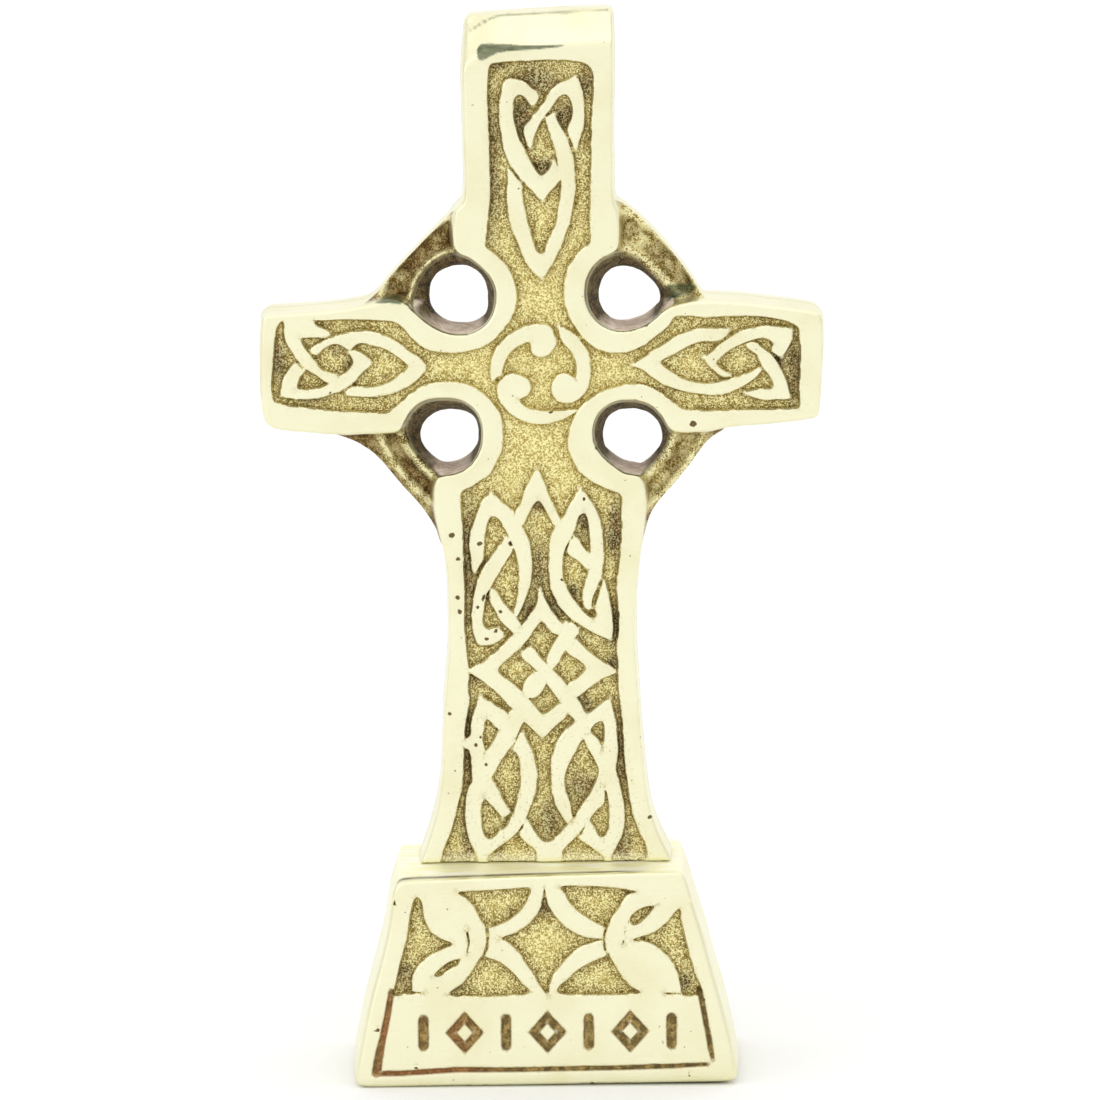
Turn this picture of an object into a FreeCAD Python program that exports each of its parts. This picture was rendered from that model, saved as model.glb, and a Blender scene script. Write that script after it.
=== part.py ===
# Cast brass Celtic altar cross on a wedge pedestal, as separate pieces.
# Frame: millimetres, +Z up, front face towards -Y, origin on the table under the middle of the foot.
import FreeCAD, Part
import Sketcher
import math
import os

V = FreeCAD.Vector

# Sunk ground between the raised interlace, in (x, z): each group is an outer loop and the raised straps inside it.
CROSS_GROUND = [
    [
        [(12.34, 28.07), (10.37, 27.94), (8.64, 27.91), (8.53, 27.99), (8.49, 28.81), (8.59, 29.37), (9.83, 31.81),
         (10.19, 33.18), (10.27, 34.43), (9.98, 37.39), (9.18, 40.81), (9.19, 41.46), (9.50, 43.18), (9.48, 43.98),
         (9.20, 46.84), (8.63, 49.90), (8.43, 50.10), (8.15, 50.03), (5.87, 48.26), (5.48, 48.17), (5.19, 48.42),
         (4.64, 49.45), (4.01, 50.42), (4.54, 50.60), (5.39, 51.35), (7.34, 52.81), (9.06, 53.49), (9.18, 53.58),
         (9.22, 53.76), (8.85, 54.20), (7.42, 55.16), (5.70, 56.49), (4.35, 57.90), (4.06, 57.98), (3.58, 57.80),
         (4.48, 58.94), (4.57, 59.24), (4.47, 59.47), (4.18, 59.78), (3.62, 60.16), (3.03, 60.31), (2.75, 60.14),
         (2.33, 59.46), (2.37, 59.88), (2.29, 60.10), (1.48, 61.07), (1.00, 61.81), (-0.42, 64.51), (-0.53, 64.49),
         (-0.61, 64.33), (-0.82, 63.03), (-1.14, 62.26), (-1.79, 61.26), (-2.96, 59.81), (-3.75, 61.06),
         (-5.23, 62.85), (-6.21, 64.53), (-6.62, 64.87), (-6.75, 64.85), (-6.86, 64.71), (-6.99, 64.06),
         (-6.97, 63.42), (-6.63, 62.60), (-5.34, 60.36), (-3.86, 58.83), (-5.12, 57.48), (-7.34, 55.55),
         (-8.22, 54.92), (-9.50, 54.28), (-9.68, 53.99), (-9.41, 53.61), (-8.18, 52.83), (-6.53, 51.47),
         (-3.98, 48.77), (-4.37, 48.67), (-4.81, 48.04), (-5.00, 48.31), (-5.39, 48.66), (-7.01, 49.75),
         (-8.07, 50.31), (-8.44, 50.32), (-8.68, 49.98), (-9.32, 47.82), (-9.71, 45.41), (-9.86, 45.15),
         (-10.04, 45.02), (-10.46, 44.90), (-10.58, 44.93), (-10.47, 46.64), (-9.94, 49.62), (-10.02, 52.03),
         (-9.89, 53.97), (-10.42, 59.64), (-10.36, 65.25), (-10.46, 67.36), (-10.49, 71.00), (-10.78, 76.46),
         (-10.74, 77.16), (-10.57, 77.66), (-10.19, 77.99), (-9.40, 78.28), (-6.96, 79.94), (-6.64, 80.36),
         (-5.78, 82.03), (-5.42, 83.07), (-5.24, 83.92), (-5.17, 85.58), (-5.33, 86.95), (-5.49, 87.56),
         (-5.74, 88.17), (-6.08, 88.68), (-7.70, 90.42), (-8.56, 91.05), (-9.87, 91.61), (-11.44, 91.89),
         (-13.51, 91.89), (-14.63, 91.67), (-15.39, 91.39), (-16.52, 90.75), (-17.16, 90.30), (-18.35, 89.15),
         (-19.48, 88.44), (-19.77, 88.04), (-20.31, 87.93), (-21.95, 87.96), (-24.15, 88.17), (-27.21, 88.23),
         (-32.66, 88.93), (-34.55, 89.45), (-34.80, 89.72), (-34.98, 90.22), (-35.06, 90.89), (-35.06, 92.37),
         (-34.53, 98.23), (-34.29, 99.21), (-34.05, 99.69), (-33.88, 99.92), (-33.42, 100.24), (-33.33, 100.20),
         (-33.18, 99.69), (-33.18, 98.07), (-33.04, 97.50), (-32.02, 95.78), (-31.14, 94.53), (-30.71, 94.07),
         (-29.24, 93.15), (-28.11, 92.24), (-27.72, 92.13), (-27.09, 92.15), (-28.27, 91.47), (-29.36, 91.15),
         (-30.86, 91.09), (-31.55, 91.19), (-31.72, 91.33), (-31.77, 91.56), (-31.43, 92.62), (-31.18, 93.08),
         (-30.76, 93.41), (-30.69, 93.57), (-30.80, 93.73), (-31.34, 94.05), (-31.76, 94.57), (-32.04, 94.55),
         (-32.76, 93.70), (-33.29, 92.77), (-33.51, 92.16), (-33.85, 90.62), (-33.66, 90.35), (-33.18, 90.20),
         (-31.78, 90.01), (-30.77, 89.97), (-29.45, 90.06), (-28.44, 90.25), (-26.81, 90.75), (-25.75, 91.20),
         (-25.14, 91.55), (-24.18, 92.31), (-23.43, 93.22), (-22.95, 93.69), (-22.25, 94.19), (-22.08, 94.50),
         (-22.26, 94.98), (-22.93, 95.62), (-23.76, 96.10), (-24.45, 96.16), (-24.79, 96.06), (-24.87, 95.91),
         (-24.36, 94.97), (-24.31, 94.63), (-24.39, 94.37), (-25.17, 93.44), (-26.68, 92.39), (-26.75, 92.39),
         (-26.52, 92.89), (-26.61, 93.07), (-27.70, 93.34), (-28.58, 93.77), (-30.52, 96.34), (-30.92, 96.99),
         (-31.18, 97.73), (-31.08, 97.96), (-30.80, 98.03), (-28.13, 97.99), (-27.55, 98.16), (-27.27, 98.36),
         (-27.32, 98.54), (-27.65, 98.78), (-29.17, 99.55), (-29.46, 99.97), (-29.48, 100.16), (-29.41, 100.29),
         (-27.97, 100.22), (-25.77, 100.33), (-23.49, 100.31), (-19.73, 100.11), (-19.17, 100.01), (-18.52, 99.72),
         (-17.93, 99.27), (-16.02, 97.16), (-15.41, 96.70), (-14.56, 96.30), (-13.94, 96.10), (-12.93, 95.93),
         (-12.00, 95.88), (-10.94, 95.87), (-9.41, 96.10), (-7.62, 96.65), (-6.23, 97.52), (-5.22, 98.54),
         (-4.18, 99.94), (-3.44, 101.45), (-3.20, 102.66), (-3.21, 103.61), (-3.56, 105.22), (-4.02, 106.35),
         (-4.62, 107.19), (-5.81, 108.44), (-6.52, 109.03), (-7.02, 109.33), (-7.15, 109.55), (-7.21, 109.85),
         (-6.55, 115.39), (-6.48, 116.57), (-6.56, 123.22), (-6.77, 127.66), (-6.70, 130.64), (-6.52, 132.55),
         (-6.30, 133.10), (-5.97, 133.27), (-4.60, 133.44), (-1.56, 133.60), (1.56, 133.65), (3.83, 133.58),
         (4.96, 133.43), (5.79, 133.21), (6.48, 132.80), (6.88, 132.11), (7.03, 131.38), (7.06, 130.20),
         (6.77, 125.12), (6.50, 114.72), (6.52, 110.23), (6.33, 109.73), (5.17, 108.89), (4.62, 108.28),
         (3.71, 106.91), (3.27, 105.59), (3.03, 103.75), (3.03, 103.02), (3.14, 102.15), (3.64, 100.56),
         (4.12, 99.56), (4.83, 98.41), (5.48, 97.58), (6.23, 96.85), (6.86, 96.42), (7.66, 96.04), (9.03, 95.74),
         (10.35, 95.68), (11.84, 96.01), (12.66, 96.35), (13.39, 96.76), (15.78, 98.54), (16.53, 99.25),
         (16.91, 100.04), (17.12, 100.24), (17.42, 100.38), (18.00, 100.47), (19.73, 100.37), (20.80, 100.21),
         (25.54, 100.36), (27.50, 100.32), (29.20, 100.15), (31.72, 99.64), (32.66, 99.27), (32.99, 99.08),
         (33.27, 98.77), (33.44, 98.16), (33.59, 96.25), (33.57, 93.44), (33.43, 90.90), (33.47, 88.66),
         (33.40, 88.31), (33.22, 88.12), (31.77, 88.01), (25.90, 88.00), (22.71, 87.85), (20.94, 87.87),
         (18.82, 88.02), (18.26, 88.16), (17.70, 88.45), (15.62, 90.08), (14.20, 90.92), (12.89, 91.39),
         (11.53, 91.45), (10.56, 91.35), (8.81, 90.89), (7.53, 90.36), (6.27, 89.62), (5.26, 88.75), (4.55, 87.87),
         (4.01, 86.90), (3.79, 86.31), (3.44, 84.72), (3.43, 83.30), (3.65, 82.43), (3.90, 81.83), (4.73, 80.36),
         (5.50, 79.56), (6.79, 78.67), (8.07, 78.02), (9.95, 77.35), (10.26, 77.08), (10.42, 76.66), (10.28, 75.02),
         (10.34, 73.14), (10.28, 71.74), (9.59, 65.31), (9.62, 63.82), (9.89, 61.18), (9.81, 59.37), (9.58, 57.24),
         (9.69, 54.77), (9.67, 51.92), (10.08, 48.76), (10.66, 40.13), (11.08, 36.91), (11.35, 35.51),
         (11.71, 34.19), (12.20, 32.77), (13.17, 30.58), (13.38, 29.57), (13.30, 29.04), (13.08, 28.48),
         (12.89, 28.30)],
        [(-1.25, 122.23), (-1.18, 122.21), (-1.10, 122.33), (-0.89, 123.32), (-0.58, 124.18), (0.28, 125.91),
         (2.28, 128.64), (2.80, 129.04), (3.36, 129.19), (3.64, 129.06), (3.91, 128.73), (4.27, 127.72),
         (4.34, 127.12), (4.29, 126.52), (4.12, 125.83), (3.75, 125.08), (3.68, 124.61), (3.82, 123.94),
         (4.42, 122.19), (4.55, 121.94), (4.71, 121.96), (5.25, 124.02), (5.58, 124.81), (5.75, 126.05),
         (5.71, 127.51), (5.48, 129.31), (5.30, 130.09), (4.95, 131.05), (4.79, 131.29), (4.38, 131.31),
         (3.14, 130.76), (2.26, 130.24), (1.76, 129.85), (1.41, 129.46), (0.81, 128.35), (-0.19, 127.03),
         (-1.29, 125.70), (-1.90, 125.11), (-2.00, 124.66), (-1.89, 123.97), (-1.55, 122.83)],
        [(-3.94, 131.13), (-4.31, 130.93), (-4.55, 130.56), (-4.91, 128.96), (-5.10, 127.35), (-5.05, 125.78),
         (-4.77, 123.31), (-4.43, 121.59), (-4.11, 120.79), (-3.61, 119.89), (-3.04, 119.08), (-0.02, 115.68),
         (0.24, 115.51), (0.46, 115.56), (1.04, 116.44), (2.69, 118.31), (2.73, 118.25), (2.76, 117.01),
         (2.68, 116.21), (2.32, 113.63), (2.09, 112.60), (1.79, 111.78), (1.01, 110.13), (0.64, 108.87),
         (0.31, 108.54), (-0.12, 108.51), (-0.45, 108.71), (-0.74, 109.21), (-1.72, 112.76), (-2.25, 115.37),
         (-2.42, 117.53), (-3.81, 119.41), (-3.97, 119.53), (-4.08, 119.39), (-4.17, 115.09), (-3.87, 112.67),
         (-3.11, 110.55), (-1.78, 107.45), (-1.49, 106.97), (-0.73, 106.06), (-0.21, 105.58), (0.11, 105.46),
         (0.48, 105.72), (1.93, 108.20), (2.78, 110.13), (3.70, 112.52), (4.22, 114.93), (4.43, 116.87),
         (4.43, 119.30), (4.30, 120.40), (3.99, 121.92), (3.54, 123.26), (1.94, 126.43), (1.75, 126.60),
         (1.58, 126.60), (1.22, 126.38), (0.90, 126.29), (0.86, 125.84), (2.11, 121.68), (2.67, 118.71),
         (2.39, 119.23), (2.08, 120.11), (1.81, 120.49), (1.60, 120.31), (1.20, 119.44), (0.79, 119.00),
         (0.21, 118.62), (0.01, 118.65), (-0.18, 118.80), (-1.04, 120.12), (-2.67, 123.38), (-3.25, 125.34),
         (-3.46, 127.21), (-3.45, 127.96), (-3.32, 128.56), (-3.07, 128.94), (-2.85, 129.11), (-2.42, 129.20),
         (-1.93, 128.95), (-1.13, 127.79), (-0.93, 127.67), (-0.71, 127.83), (-0.37, 128.36), (-0.15, 128.83),
         (-0.13, 129.16), (-1.47, 130.37), (-2.19, 130.85), (-2.92, 131.11), (-3.56, 131.18)],
        [(-6.43, 92.11), (-6.30, 92.12), (-5.83, 92.62), (-5.26, 93.00), (-4.75, 94.72), (-4.03, 95.90),
         (-3.52, 96.35), (-2.40, 96.98), (-1.81, 97.19), (-1.49, 97.16), (-1.37, 96.94), (-1.31, 96.25),
         (-1.17, 95.90), (-0.92, 95.54), (-0.45, 95.27), (0.21, 95.23), (0.69, 95.41), (1.04, 95.65), (1.71, 96.70),
         (1.92, 97.24), (1.55, 98.07), (1.39, 98.68), (1.11, 99.09), (0.53, 99.36), (-0.05, 99.39), (-1.00, 99.31),
         (-2.06, 99.10), (-3.31, 98.59), (-4.24, 97.97), (-4.85, 97.44), (-5.94, 96.18), (-6.18, 95.64),
         (-6.60, 93.45), (-6.56, 92.56)],
        [(32.40, 98.25), (32.25, 98.45), (31.97, 98.58), (29.65, 98.90), (28.03, 98.77), (26.16, 98.36),
         (25.16, 97.95), (24.10, 97.28), (22.25, 95.76), (21.18, 95.01), (21.08, 94.68), (21.76, 93.82),
         (23.07, 92.66), (23.61, 92.42), (24.41, 92.46), (24.47, 92.52), (24.41, 92.62), (22.93, 93.58),
         (22.52, 94.08), (22.53, 94.28), (22.74, 94.65), (23.58, 95.44), (24.75, 96.18), (26.30, 96.88),
         (28.07, 97.45), (28.65, 97.49), (29.34, 97.30), (29.93, 96.84), (30.08, 96.56), (29.75, 95.89),
         (29.77, 95.67), (30.78, 94.97), (31.04, 94.92), (31.18, 95.03), (31.77, 95.96), (32.12, 96.67),
         (32.41, 97.77)],
        [(2.42, 99.06), (2.33, 98.84), (2.39, 98.43), (2.79, 97.12), (3.91, 95.83), (4.36, 94.87), (4.57, 93.87),
         (4.54, 93.03), (4.42, 92.35), (4.31, 92.20), (3.66, 92.62), (3.13, 92.85), (2.63, 92.90), (2.07, 92.69),
         (1.76, 92.38), (1.53, 91.99), (1.34, 91.31), (1.33, 90.81), (1.51, 90.18), (1.98, 89.59), (2.49, 89.30),
         (3.33, 89.18), (4.31, 89.41), (4.85, 89.76), (5.31, 90.19), (5.83, 90.99), (6.05, 91.60), (6.22, 92.64),
         (6.17, 94.62), (6.02, 95.42), (5.77, 96.14), (4.89, 97.37), (3.88, 98.25), (2.70, 98.98)],
        [(28.43, 93.38), (28.36, 93.48), (28.10, 93.43), (26.74, 92.79), (25.49, 92.33), (23.76, 91.85),
         (22.34, 91.54), (20.91, 91.48), (19.92, 91.61), (18.30, 92.08), (17.59, 92.43), (15.92, 93.61),
         (15.32, 94.23), (15.31, 94.39), (15.43, 94.58), (18.97, 96.50), (20.44, 97.01), (20.96, 97.10),
         (23.11, 97.18), (23.52, 97.43), (24.22, 98.17), (24.28, 98.32), (24.24, 98.44), (23.89, 98.55),
         (22.17, 98.68), (20.75, 98.62), (19.80, 98.50), (18.38, 98.08), (16.39, 97.00), (14.81, 96.03),
         (12.02, 94.20), (11.82, 93.96), (11.92, 93.85), (12.92, 93.54), (14.92, 92.02), (15.93, 91.44),
         (16.75, 91.10), (17.95, 90.71), (19.18, 90.42), (21.03, 90.15), (22.00, 90.10), (23.02, 90.14),
         (23.80, 90.28), (24.27, 90.40), (25.68, 90.99), (26.56, 91.48), (27.63, 92.28), (28.14, 92.82)],
        [(-29.86, 96.27), (-29.82, 96.11), (-29.61, 95.86), (-29.14, 95.64), (-28.96, 95.73), (-28.47, 96.31),
         (-28.00, 96.71), (-27.13, 97.09), (-26.51, 97.15), (-26.05, 97.03), (-24.86, 96.30), (-23.77, 97.15),
         (-22.95, 97.22), (-21.23, 96.81), (-19.88, 96.28), (-18.87, 95.62), (-17.29, 94.33), (-17.21, 94.02),
         (-17.43, 93.69), (-18.83, 92.55), (-19.51, 92.13), (-20.67, 91.64), (-21.60, 91.42), (-22.64, 91.34),
         (-24.11, 91.42), (-24.52, 91.34), (-24.91, 91.17), (-25.37, 90.77), (-25.46, 90.51), (-25.22, 90.39),
         (-22.35, 90.19), (-21.55, 90.22), (-19.89, 90.52), (-18.96, 90.82), (-17.87, 91.26), (-16.39, 92.14),
         (-15.56, 92.98), (-15.22, 93.42), (-15.01, 93.83), (-15.19, 94.33), (-15.93, 95.15), (-18.18, 96.81),
         (-20.25, 98.03), (-21.07, 98.35), (-22.11, 98.61), (-22.80, 98.68), (-23.84, 98.67), (-25.20, 98.44),
         (-26.25, 98.13), (-28.29, 97.37), (-29.57, 96.61)],
        [(26.60, 96.66), (26.45, 96.46), (26.59, 96.22), (27.99, 95.17), (28.60, 93.70), (29.28, 92.85),
         (29.80, 91.98), (30.04, 91.19), (29.95, 90.84), (29.67, 90.67), (28.24, 90.67), (27.59, 90.59),
         (26.49, 90.30), (26.38, 90.14), (27.89, 89.55), (28.63, 89.37), (31.56, 89.41), (32.06, 89.53),
         (32.14, 89.80), (31.75, 91.42), (31.48, 92.16), (30.84, 93.42), (29.83, 94.95), (29.14, 95.62),
         (27.89, 96.58), (27.23, 96.84)],
        [(4.46, 88.11), (4.19, 88.21), (1.71, 88.06), (0.07, 88.07), (-1.36, 88.29), (-2.09, 88.60), (-2.74, 89.13),
         (-2.96, 89.42), (-3.01, 89.61), (-2.90, 89.76), (-2.35, 89.99), (-1.78, 90.36), (-1.48, 90.98),
         (-1.48, 91.45), (-1.83, 92.17), (-2.25, 92.50), (-2.89, 92.81), (-3.77, 92.93), (-4.51, 92.71),
         (-5.30, 92.16), (-5.71, 91.55), (-5.79, 91.14), (-5.73, 90.53), (-5.52, 89.76), (-5.13, 89.09),
         (-3.91, 87.72), (-3.18, 87.21), (-2.15, 86.76), (-1.11, 86.50), (-0.40, 86.42), (0.59, 86.48),
         (1.26, 86.61), (3.17, 87.29), (4.17, 87.86)],
        [(8.71, 58.06), (8.82, 58.30), (8.89, 58.92), (8.84, 61.14), (8.57, 63.06), (7.89, 65.94), (7.80, 65.97),
         (7.73, 65.81), (7.45, 64.45), (6.80, 62.61), (6.75, 62.15), (6.97, 61.45), (6.96, 61.23), (6.67, 60.81),
         (6.40, 60.67), (6.18, 60.76), (5.17, 61.63), (4.16, 62.83), (3.21, 64.40), (2.67, 65.53), (2.49, 66.15),
         (2.42, 66.61), (2.42, 68.30), (2.49, 69.02), (2.67, 69.70), (4.15, 72.86), (4.57, 74.22), (4.79, 74.50),
         (5.32, 74.79), (5.45, 74.75), (5.62, 74.52), (5.90, 73.59), (6.22, 70.00), (6.21, 69.01), (6.04, 67.48),
         (5.14, 64.19), (5.11, 63.68), (5.26, 62.67), (5.39, 62.34), (5.69, 62.00), (5.93, 61.90), (6.07, 61.98),
         (6.36, 63.63), (6.90, 64.90), (7.47, 66.58), (7.74, 68.10), (7.80, 69.26), (7.74, 71.28), (7.45, 73.30),
         (7.15, 74.37), (6.62, 75.49), (6.30, 76.06), (5.34, 77.36), (4.95, 77.67), (4.80, 77.67), (4.68, 77.57),
         (3.47, 75.59), (2.89, 74.47), (2.23, 73.64), (2.10, 74.18), (1.34, 75.67), (-0.49, 80.17), (-0.69, 80.44),
         (-0.82, 80.43), (-0.97, 80.28), (-1.46, 79.41), (-1.97, 78.35), (-2.81, 76.12), (-3.65, 74.60),
         (-4.33, 75.34), (-5.36, 76.14), (-6.28, 77.05), (-6.76, 77.27), (-7.17, 77.09), (-7.81, 76.36),
         (-8.11, 75.80), (-8.80, 74.01), (-9.35, 72.17), (-9.50, 70.60), (-9.46, 69.76), (-9.20, 67.52),
         (-9.05, 66.93), (-8.96, 66.89), (-8.84, 66.99), (-7.89, 68.85), (-7.66, 71.72), (-7.45, 72.92),
         (-7.12, 73.93), (-6.88, 74.32), (-6.63, 74.44), (-6.18, 74.36), (-5.68, 74.01), (-5.23, 73.39),
         (-3.90, 70.48), (-3.33, 68.64), (-3.12, 67.03), (-3.13, 65.62), (-3.28, 64.11), (-3.80, 61.89),
         (-3.74, 61.15), (-3.67, 61.05), (-3.56, 61.08), (-2.88, 62.37), (-2.19, 64.23), (-1.75, 65.92),
         (-1.63, 67.04), (-1.59, 68.84), (-1.84, 70.92), (-2.09, 71.65), (-2.86, 73.19), (-2.64, 73.26),
         (-2.49, 73.43), (-1.25, 75.92), (-0.75, 76.41), (-0.47, 76.44), (0.09, 75.73), (1.32, 73.33), (1.70, 73.00),
         (1.22, 72.08), (0.97, 71.10), (0.82, 69.28), (0.78, 67.13), (0.94, 65.19), (1.24, 64.16), (1.69, 63.21),
         (2.17, 62.37), (2.63, 61.77), (3.80, 60.66), (6.43, 58.96), (8.44, 58.03)],
        [(5.74, 67.31), (5.81, 67.44), (5.87, 68.16), (6.08, 68.86), (6.07, 69.08), (5.36, 69.94), (4.34, 71.42),
         (4.19, 71.56), (4.04, 71.57), (3.79, 71.33), (3.25, 70.31), (3.11, 69.87), (3.12, 69.52), (3.28, 69.32),
         (4.44, 68.55), (5.54, 67.41)],
        [(-4.76, 71.61), (-4.98, 71.48), (-7.35, 68.21), (-8.49, 65.94), (-8.88, 64.73), (-9.26, 62.29),
         (-9.26, 60.14), (-9.08, 58.88), (-8.83, 57.97), (-8.63, 57.60), (-8.32, 57.42), (-7.41, 57.43),
         (-6.74, 57.60), (-5.75, 58.15), (-5.28, 58.60), (-5.36, 58.96), (-5.85, 59.51), (-6.17, 59.57),
         (-7.07, 59.40), (-7.67, 59.64), (-7.99, 60.24), (-8.04, 60.83), (-7.73, 63.20), (-7.47, 64.21),
         (-6.97, 64.93), (-5.82, 67.03), (-4.17, 69.56), (-4.01, 69.91), (-4.03, 70.33), (-4.15, 70.68),
         (-4.50, 71.36)],
    ],
    [
        [(-6.08, 53.96), (-6.03, 54.35), (-5.68, 54.82), (-4.99, 55.52), (-2.89, 57.28), (-0.59, 60.39),
         (-0.31, 60.57), (-0.08, 60.47), (0.73, 59.47), (1.48, 58.80), (1.83, 58.72), (2.15, 59.05), (2.02, 58.69),
         (1.19, 57.41), (0.45, 55.91), (0.38, 55.14), (0.73, 54.43), (1.07, 54.28), (1.33, 54.48), (2.88, 56.84),
         (2.88, 56.61), (3.00, 56.39), (4.41, 55.45), (5.12, 54.86), (5.42, 54.48), (5.49, 54.23), (5.37, 53.95),
         (5.03, 53.53), (4.14, 52.73), (3.26, 52.22), (3.13, 52.07), (3.03, 51.77), (1.80, 53.28), (0.03, 55.01),
         (-1.32, 56.66), (-1.62, 56.94), (-1.86, 57.02), (-2.34, 56.88), (-2.78, 56.55), (-2.95, 56.27),
         (-2.94, 55.98), (-2.50, 55.42), (-0.98, 54.02), (-0.67, 53.58), (-1.06, 53.74), (-1.30, 53.75),
         (-1.72, 53.49), (-2.31, 52.71), (-2.62, 52.12), (-2.82, 51.63), (-2.87, 51.11), (-5.56, 53.28)],
    ],
    [
        [(0.19, 52.37), (1.67, 50.40), (2.95, 48.42), (3.83, 47.62), (3.99, 47.28), (3.85, 46.95), (2.90, 46.17),
         (2.49, 45.73), (1.72, 44.60), (1.22, 43.39), (0.96, 42.33), (0.84, 41.40), (0.81, 39.65), (0.86, 38.56),
         (1.27, 36.51), (1.71, 35.42), (2.25, 34.50), (2.74, 33.81), (3.06, 33.67), (1.31, 31.63), (0.66, 31.22),
         (-0.02, 31.11), (-0.50, 31.30), (-0.79, 31.57), (-1.69, 32.87), (-2.26, 34.01), (-2.46, 34.12),
         (-2.93, 33.12), (-3.37, 32.48), (-3.42, 32.13), (-3.18, 31.76), (-1.70, 30.51), (-1.23, 29.97),
         (-1.07, 29.32), (-1.28, 27.85), (-7.67, 27.73), (-7.82, 28.82), (-7.61, 29.49), (-4.19, 32.09),
         (-3.52, 32.88), (-2.75, 34.12), (-1.40, 37.67), (-1.24, 38.42), (-1.14, 39.60), (-1.27, 41.48),
         (-1.54, 42.64), (-2.78, 45.68), (-2.96, 45.90), (-3.13, 45.84), (-4.12, 43.64), (-4.09, 43.37),
         (-3.64, 43.08), (-3.41, 42.57), (-3.25, 41.88), (-3.15, 40.70), (-3.17, 39.21), (-3.26, 38.37),
         (-3.68, 36.66), (-4.08, 35.45), (-4.08, 35.13), (-4.58, 34.12), (-5.19, 33.14), (-5.68, 32.76),
         (-5.81, 32.77), (-5.92, 32.96), (-6.56, 31.96), (-7.02, 31.61), (-7.35, 31.52), (-7.74, 31.69),
         (-8.07, 32.06), (-8.45, 33.37), (-8.53, 34.26), (-8.52, 35.55), (-8.38, 36.37), (-8.12, 37.12),
         (-7.92, 37.17), (-7.66, 36.95), (-5.60, 34.40), (-4.63, 35.18), (-6.94, 39.36), (-7.11, 39.69),
         (-7.09, 39.80), (-5.78, 42.15), (-4.17, 44.46), (-3.10, 46.73), (-2.71, 47.30), (-2.58, 47.26),
         (-0.64, 45.26), (-0.42, 45.12), (-0.23, 45.09), (0.04, 45.25), (1.51, 46.83), (2.49, 47.62), (2.84, 48.09),
         (2.80, 48.40), (2.51, 48.91), (2.01, 49.41), (1.77, 49.53), (1.59, 49.43), (1.16, 48.94), (0.35, 48.35),
         (-0.05, 48.14), (-0.35, 48.13), (-0.63, 48.34), (-1.14, 49.05), (-2.38, 50.52), (-1.68, 50.35),
         (-1.38, 50.36), (-1.09, 50.53), (-0.24, 51.48)],
    ],
    [
        [(-7.86, 43.23), (-7.98, 43.96), (-8.24, 44.87), (-8.26, 45.40), (-7.83, 47.50), (-7.73, 47.66),
         (-7.60, 47.68), (-7.21, 47.46), (-6.28, 46.50), (-5.92, 46.24), (-6.79, 44.46), (-7.49, 43.55)],
    ],
    [
        [(7.49, 43.67), (7.32, 43.82), (6.79, 44.91), (6.04, 45.56), (5.89, 45.87), (6.02, 46.29), (6.47, 46.85),
         (6.88, 47.13), (7.26, 47.24), (7.50, 47.21), (7.63, 47.10), (7.80, 46.50), (7.77, 44.70), (7.61, 43.86)],
    ],
    [
        [(3.65, 34.17), (3.45, 34.53), (3.15, 36.09), (2.63, 37.92), (2.48, 38.85), (2.47, 39.76), (2.64, 40.58),
         (3.07, 41.69), (4.57, 44.49), (4.80, 44.80), (5.04, 44.92), (5.22, 44.75), (5.57, 43.77), (6.17, 42.77),
         (6.90, 41.28), (7.04, 40.70), (7.01, 40.37), (6.90, 39.84), (6.56, 38.95), (5.63, 37.13), (4.73, 35.86),
         (3.94, 34.42)],
    ],
    [
        [(-10.64, 43.89), (-9.97, 43.62), (-9.73, 43.27), (-9.55, 41.67), (-9.58, 40.51), (-9.47, 39.40),
         (-9.89, 38.50), (-10.31, 37.03), (-10.49, 35.01), (-10.39, 33.41), (-10.03, 31.74), (-8.84, 29.03),
         (-8.82, 28.28), (-8.92, 27.74), (-9.01, 27.67), (-10.88, 27.61), (-12.96, 27.73), (-13.59, 27.88),
         (-13.82, 28.01), (-13.97, 28.23), (-13.98, 28.50), (-13.55, 30.10), (-12.31, 33.12), (-11.05, 38.04),
         (-10.75, 40.72), (-10.75, 42.85)],
    ],
    [
        [(7.74, 38.54), (7.93, 38.16), (8.25, 36.69), (8.39, 34.60), (8.38, 33.47), (8.27, 32.71), (8.04, 32.18),
         (7.60, 31.77), (7.23, 31.66), (6.92, 31.83), (6.40, 32.93), (5.83, 33.65), (5.69, 34.05), (5.81, 34.36),
         (6.13, 34.82), (6.93, 35.69), (7.42, 36.08), (7.64, 36.41), (7.71, 36.79), (7.68, 38.32)],
    ],
    [
        [(7.74, 27.93), (2.88, 27.83), (2.18, 27.89), (2.01, 29.43), (2.18, 30.14), (4.20, 32.16), (5.52, 33.93),
         (5.37, 33.36), (4.93, 32.41), (4.37, 31.86), (4.32, 31.63), (4.44, 31.48), (5.37, 30.93), (6.50, 30.03),
         (7.47, 29.37), (7.71, 28.86)],
    ],
]
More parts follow.
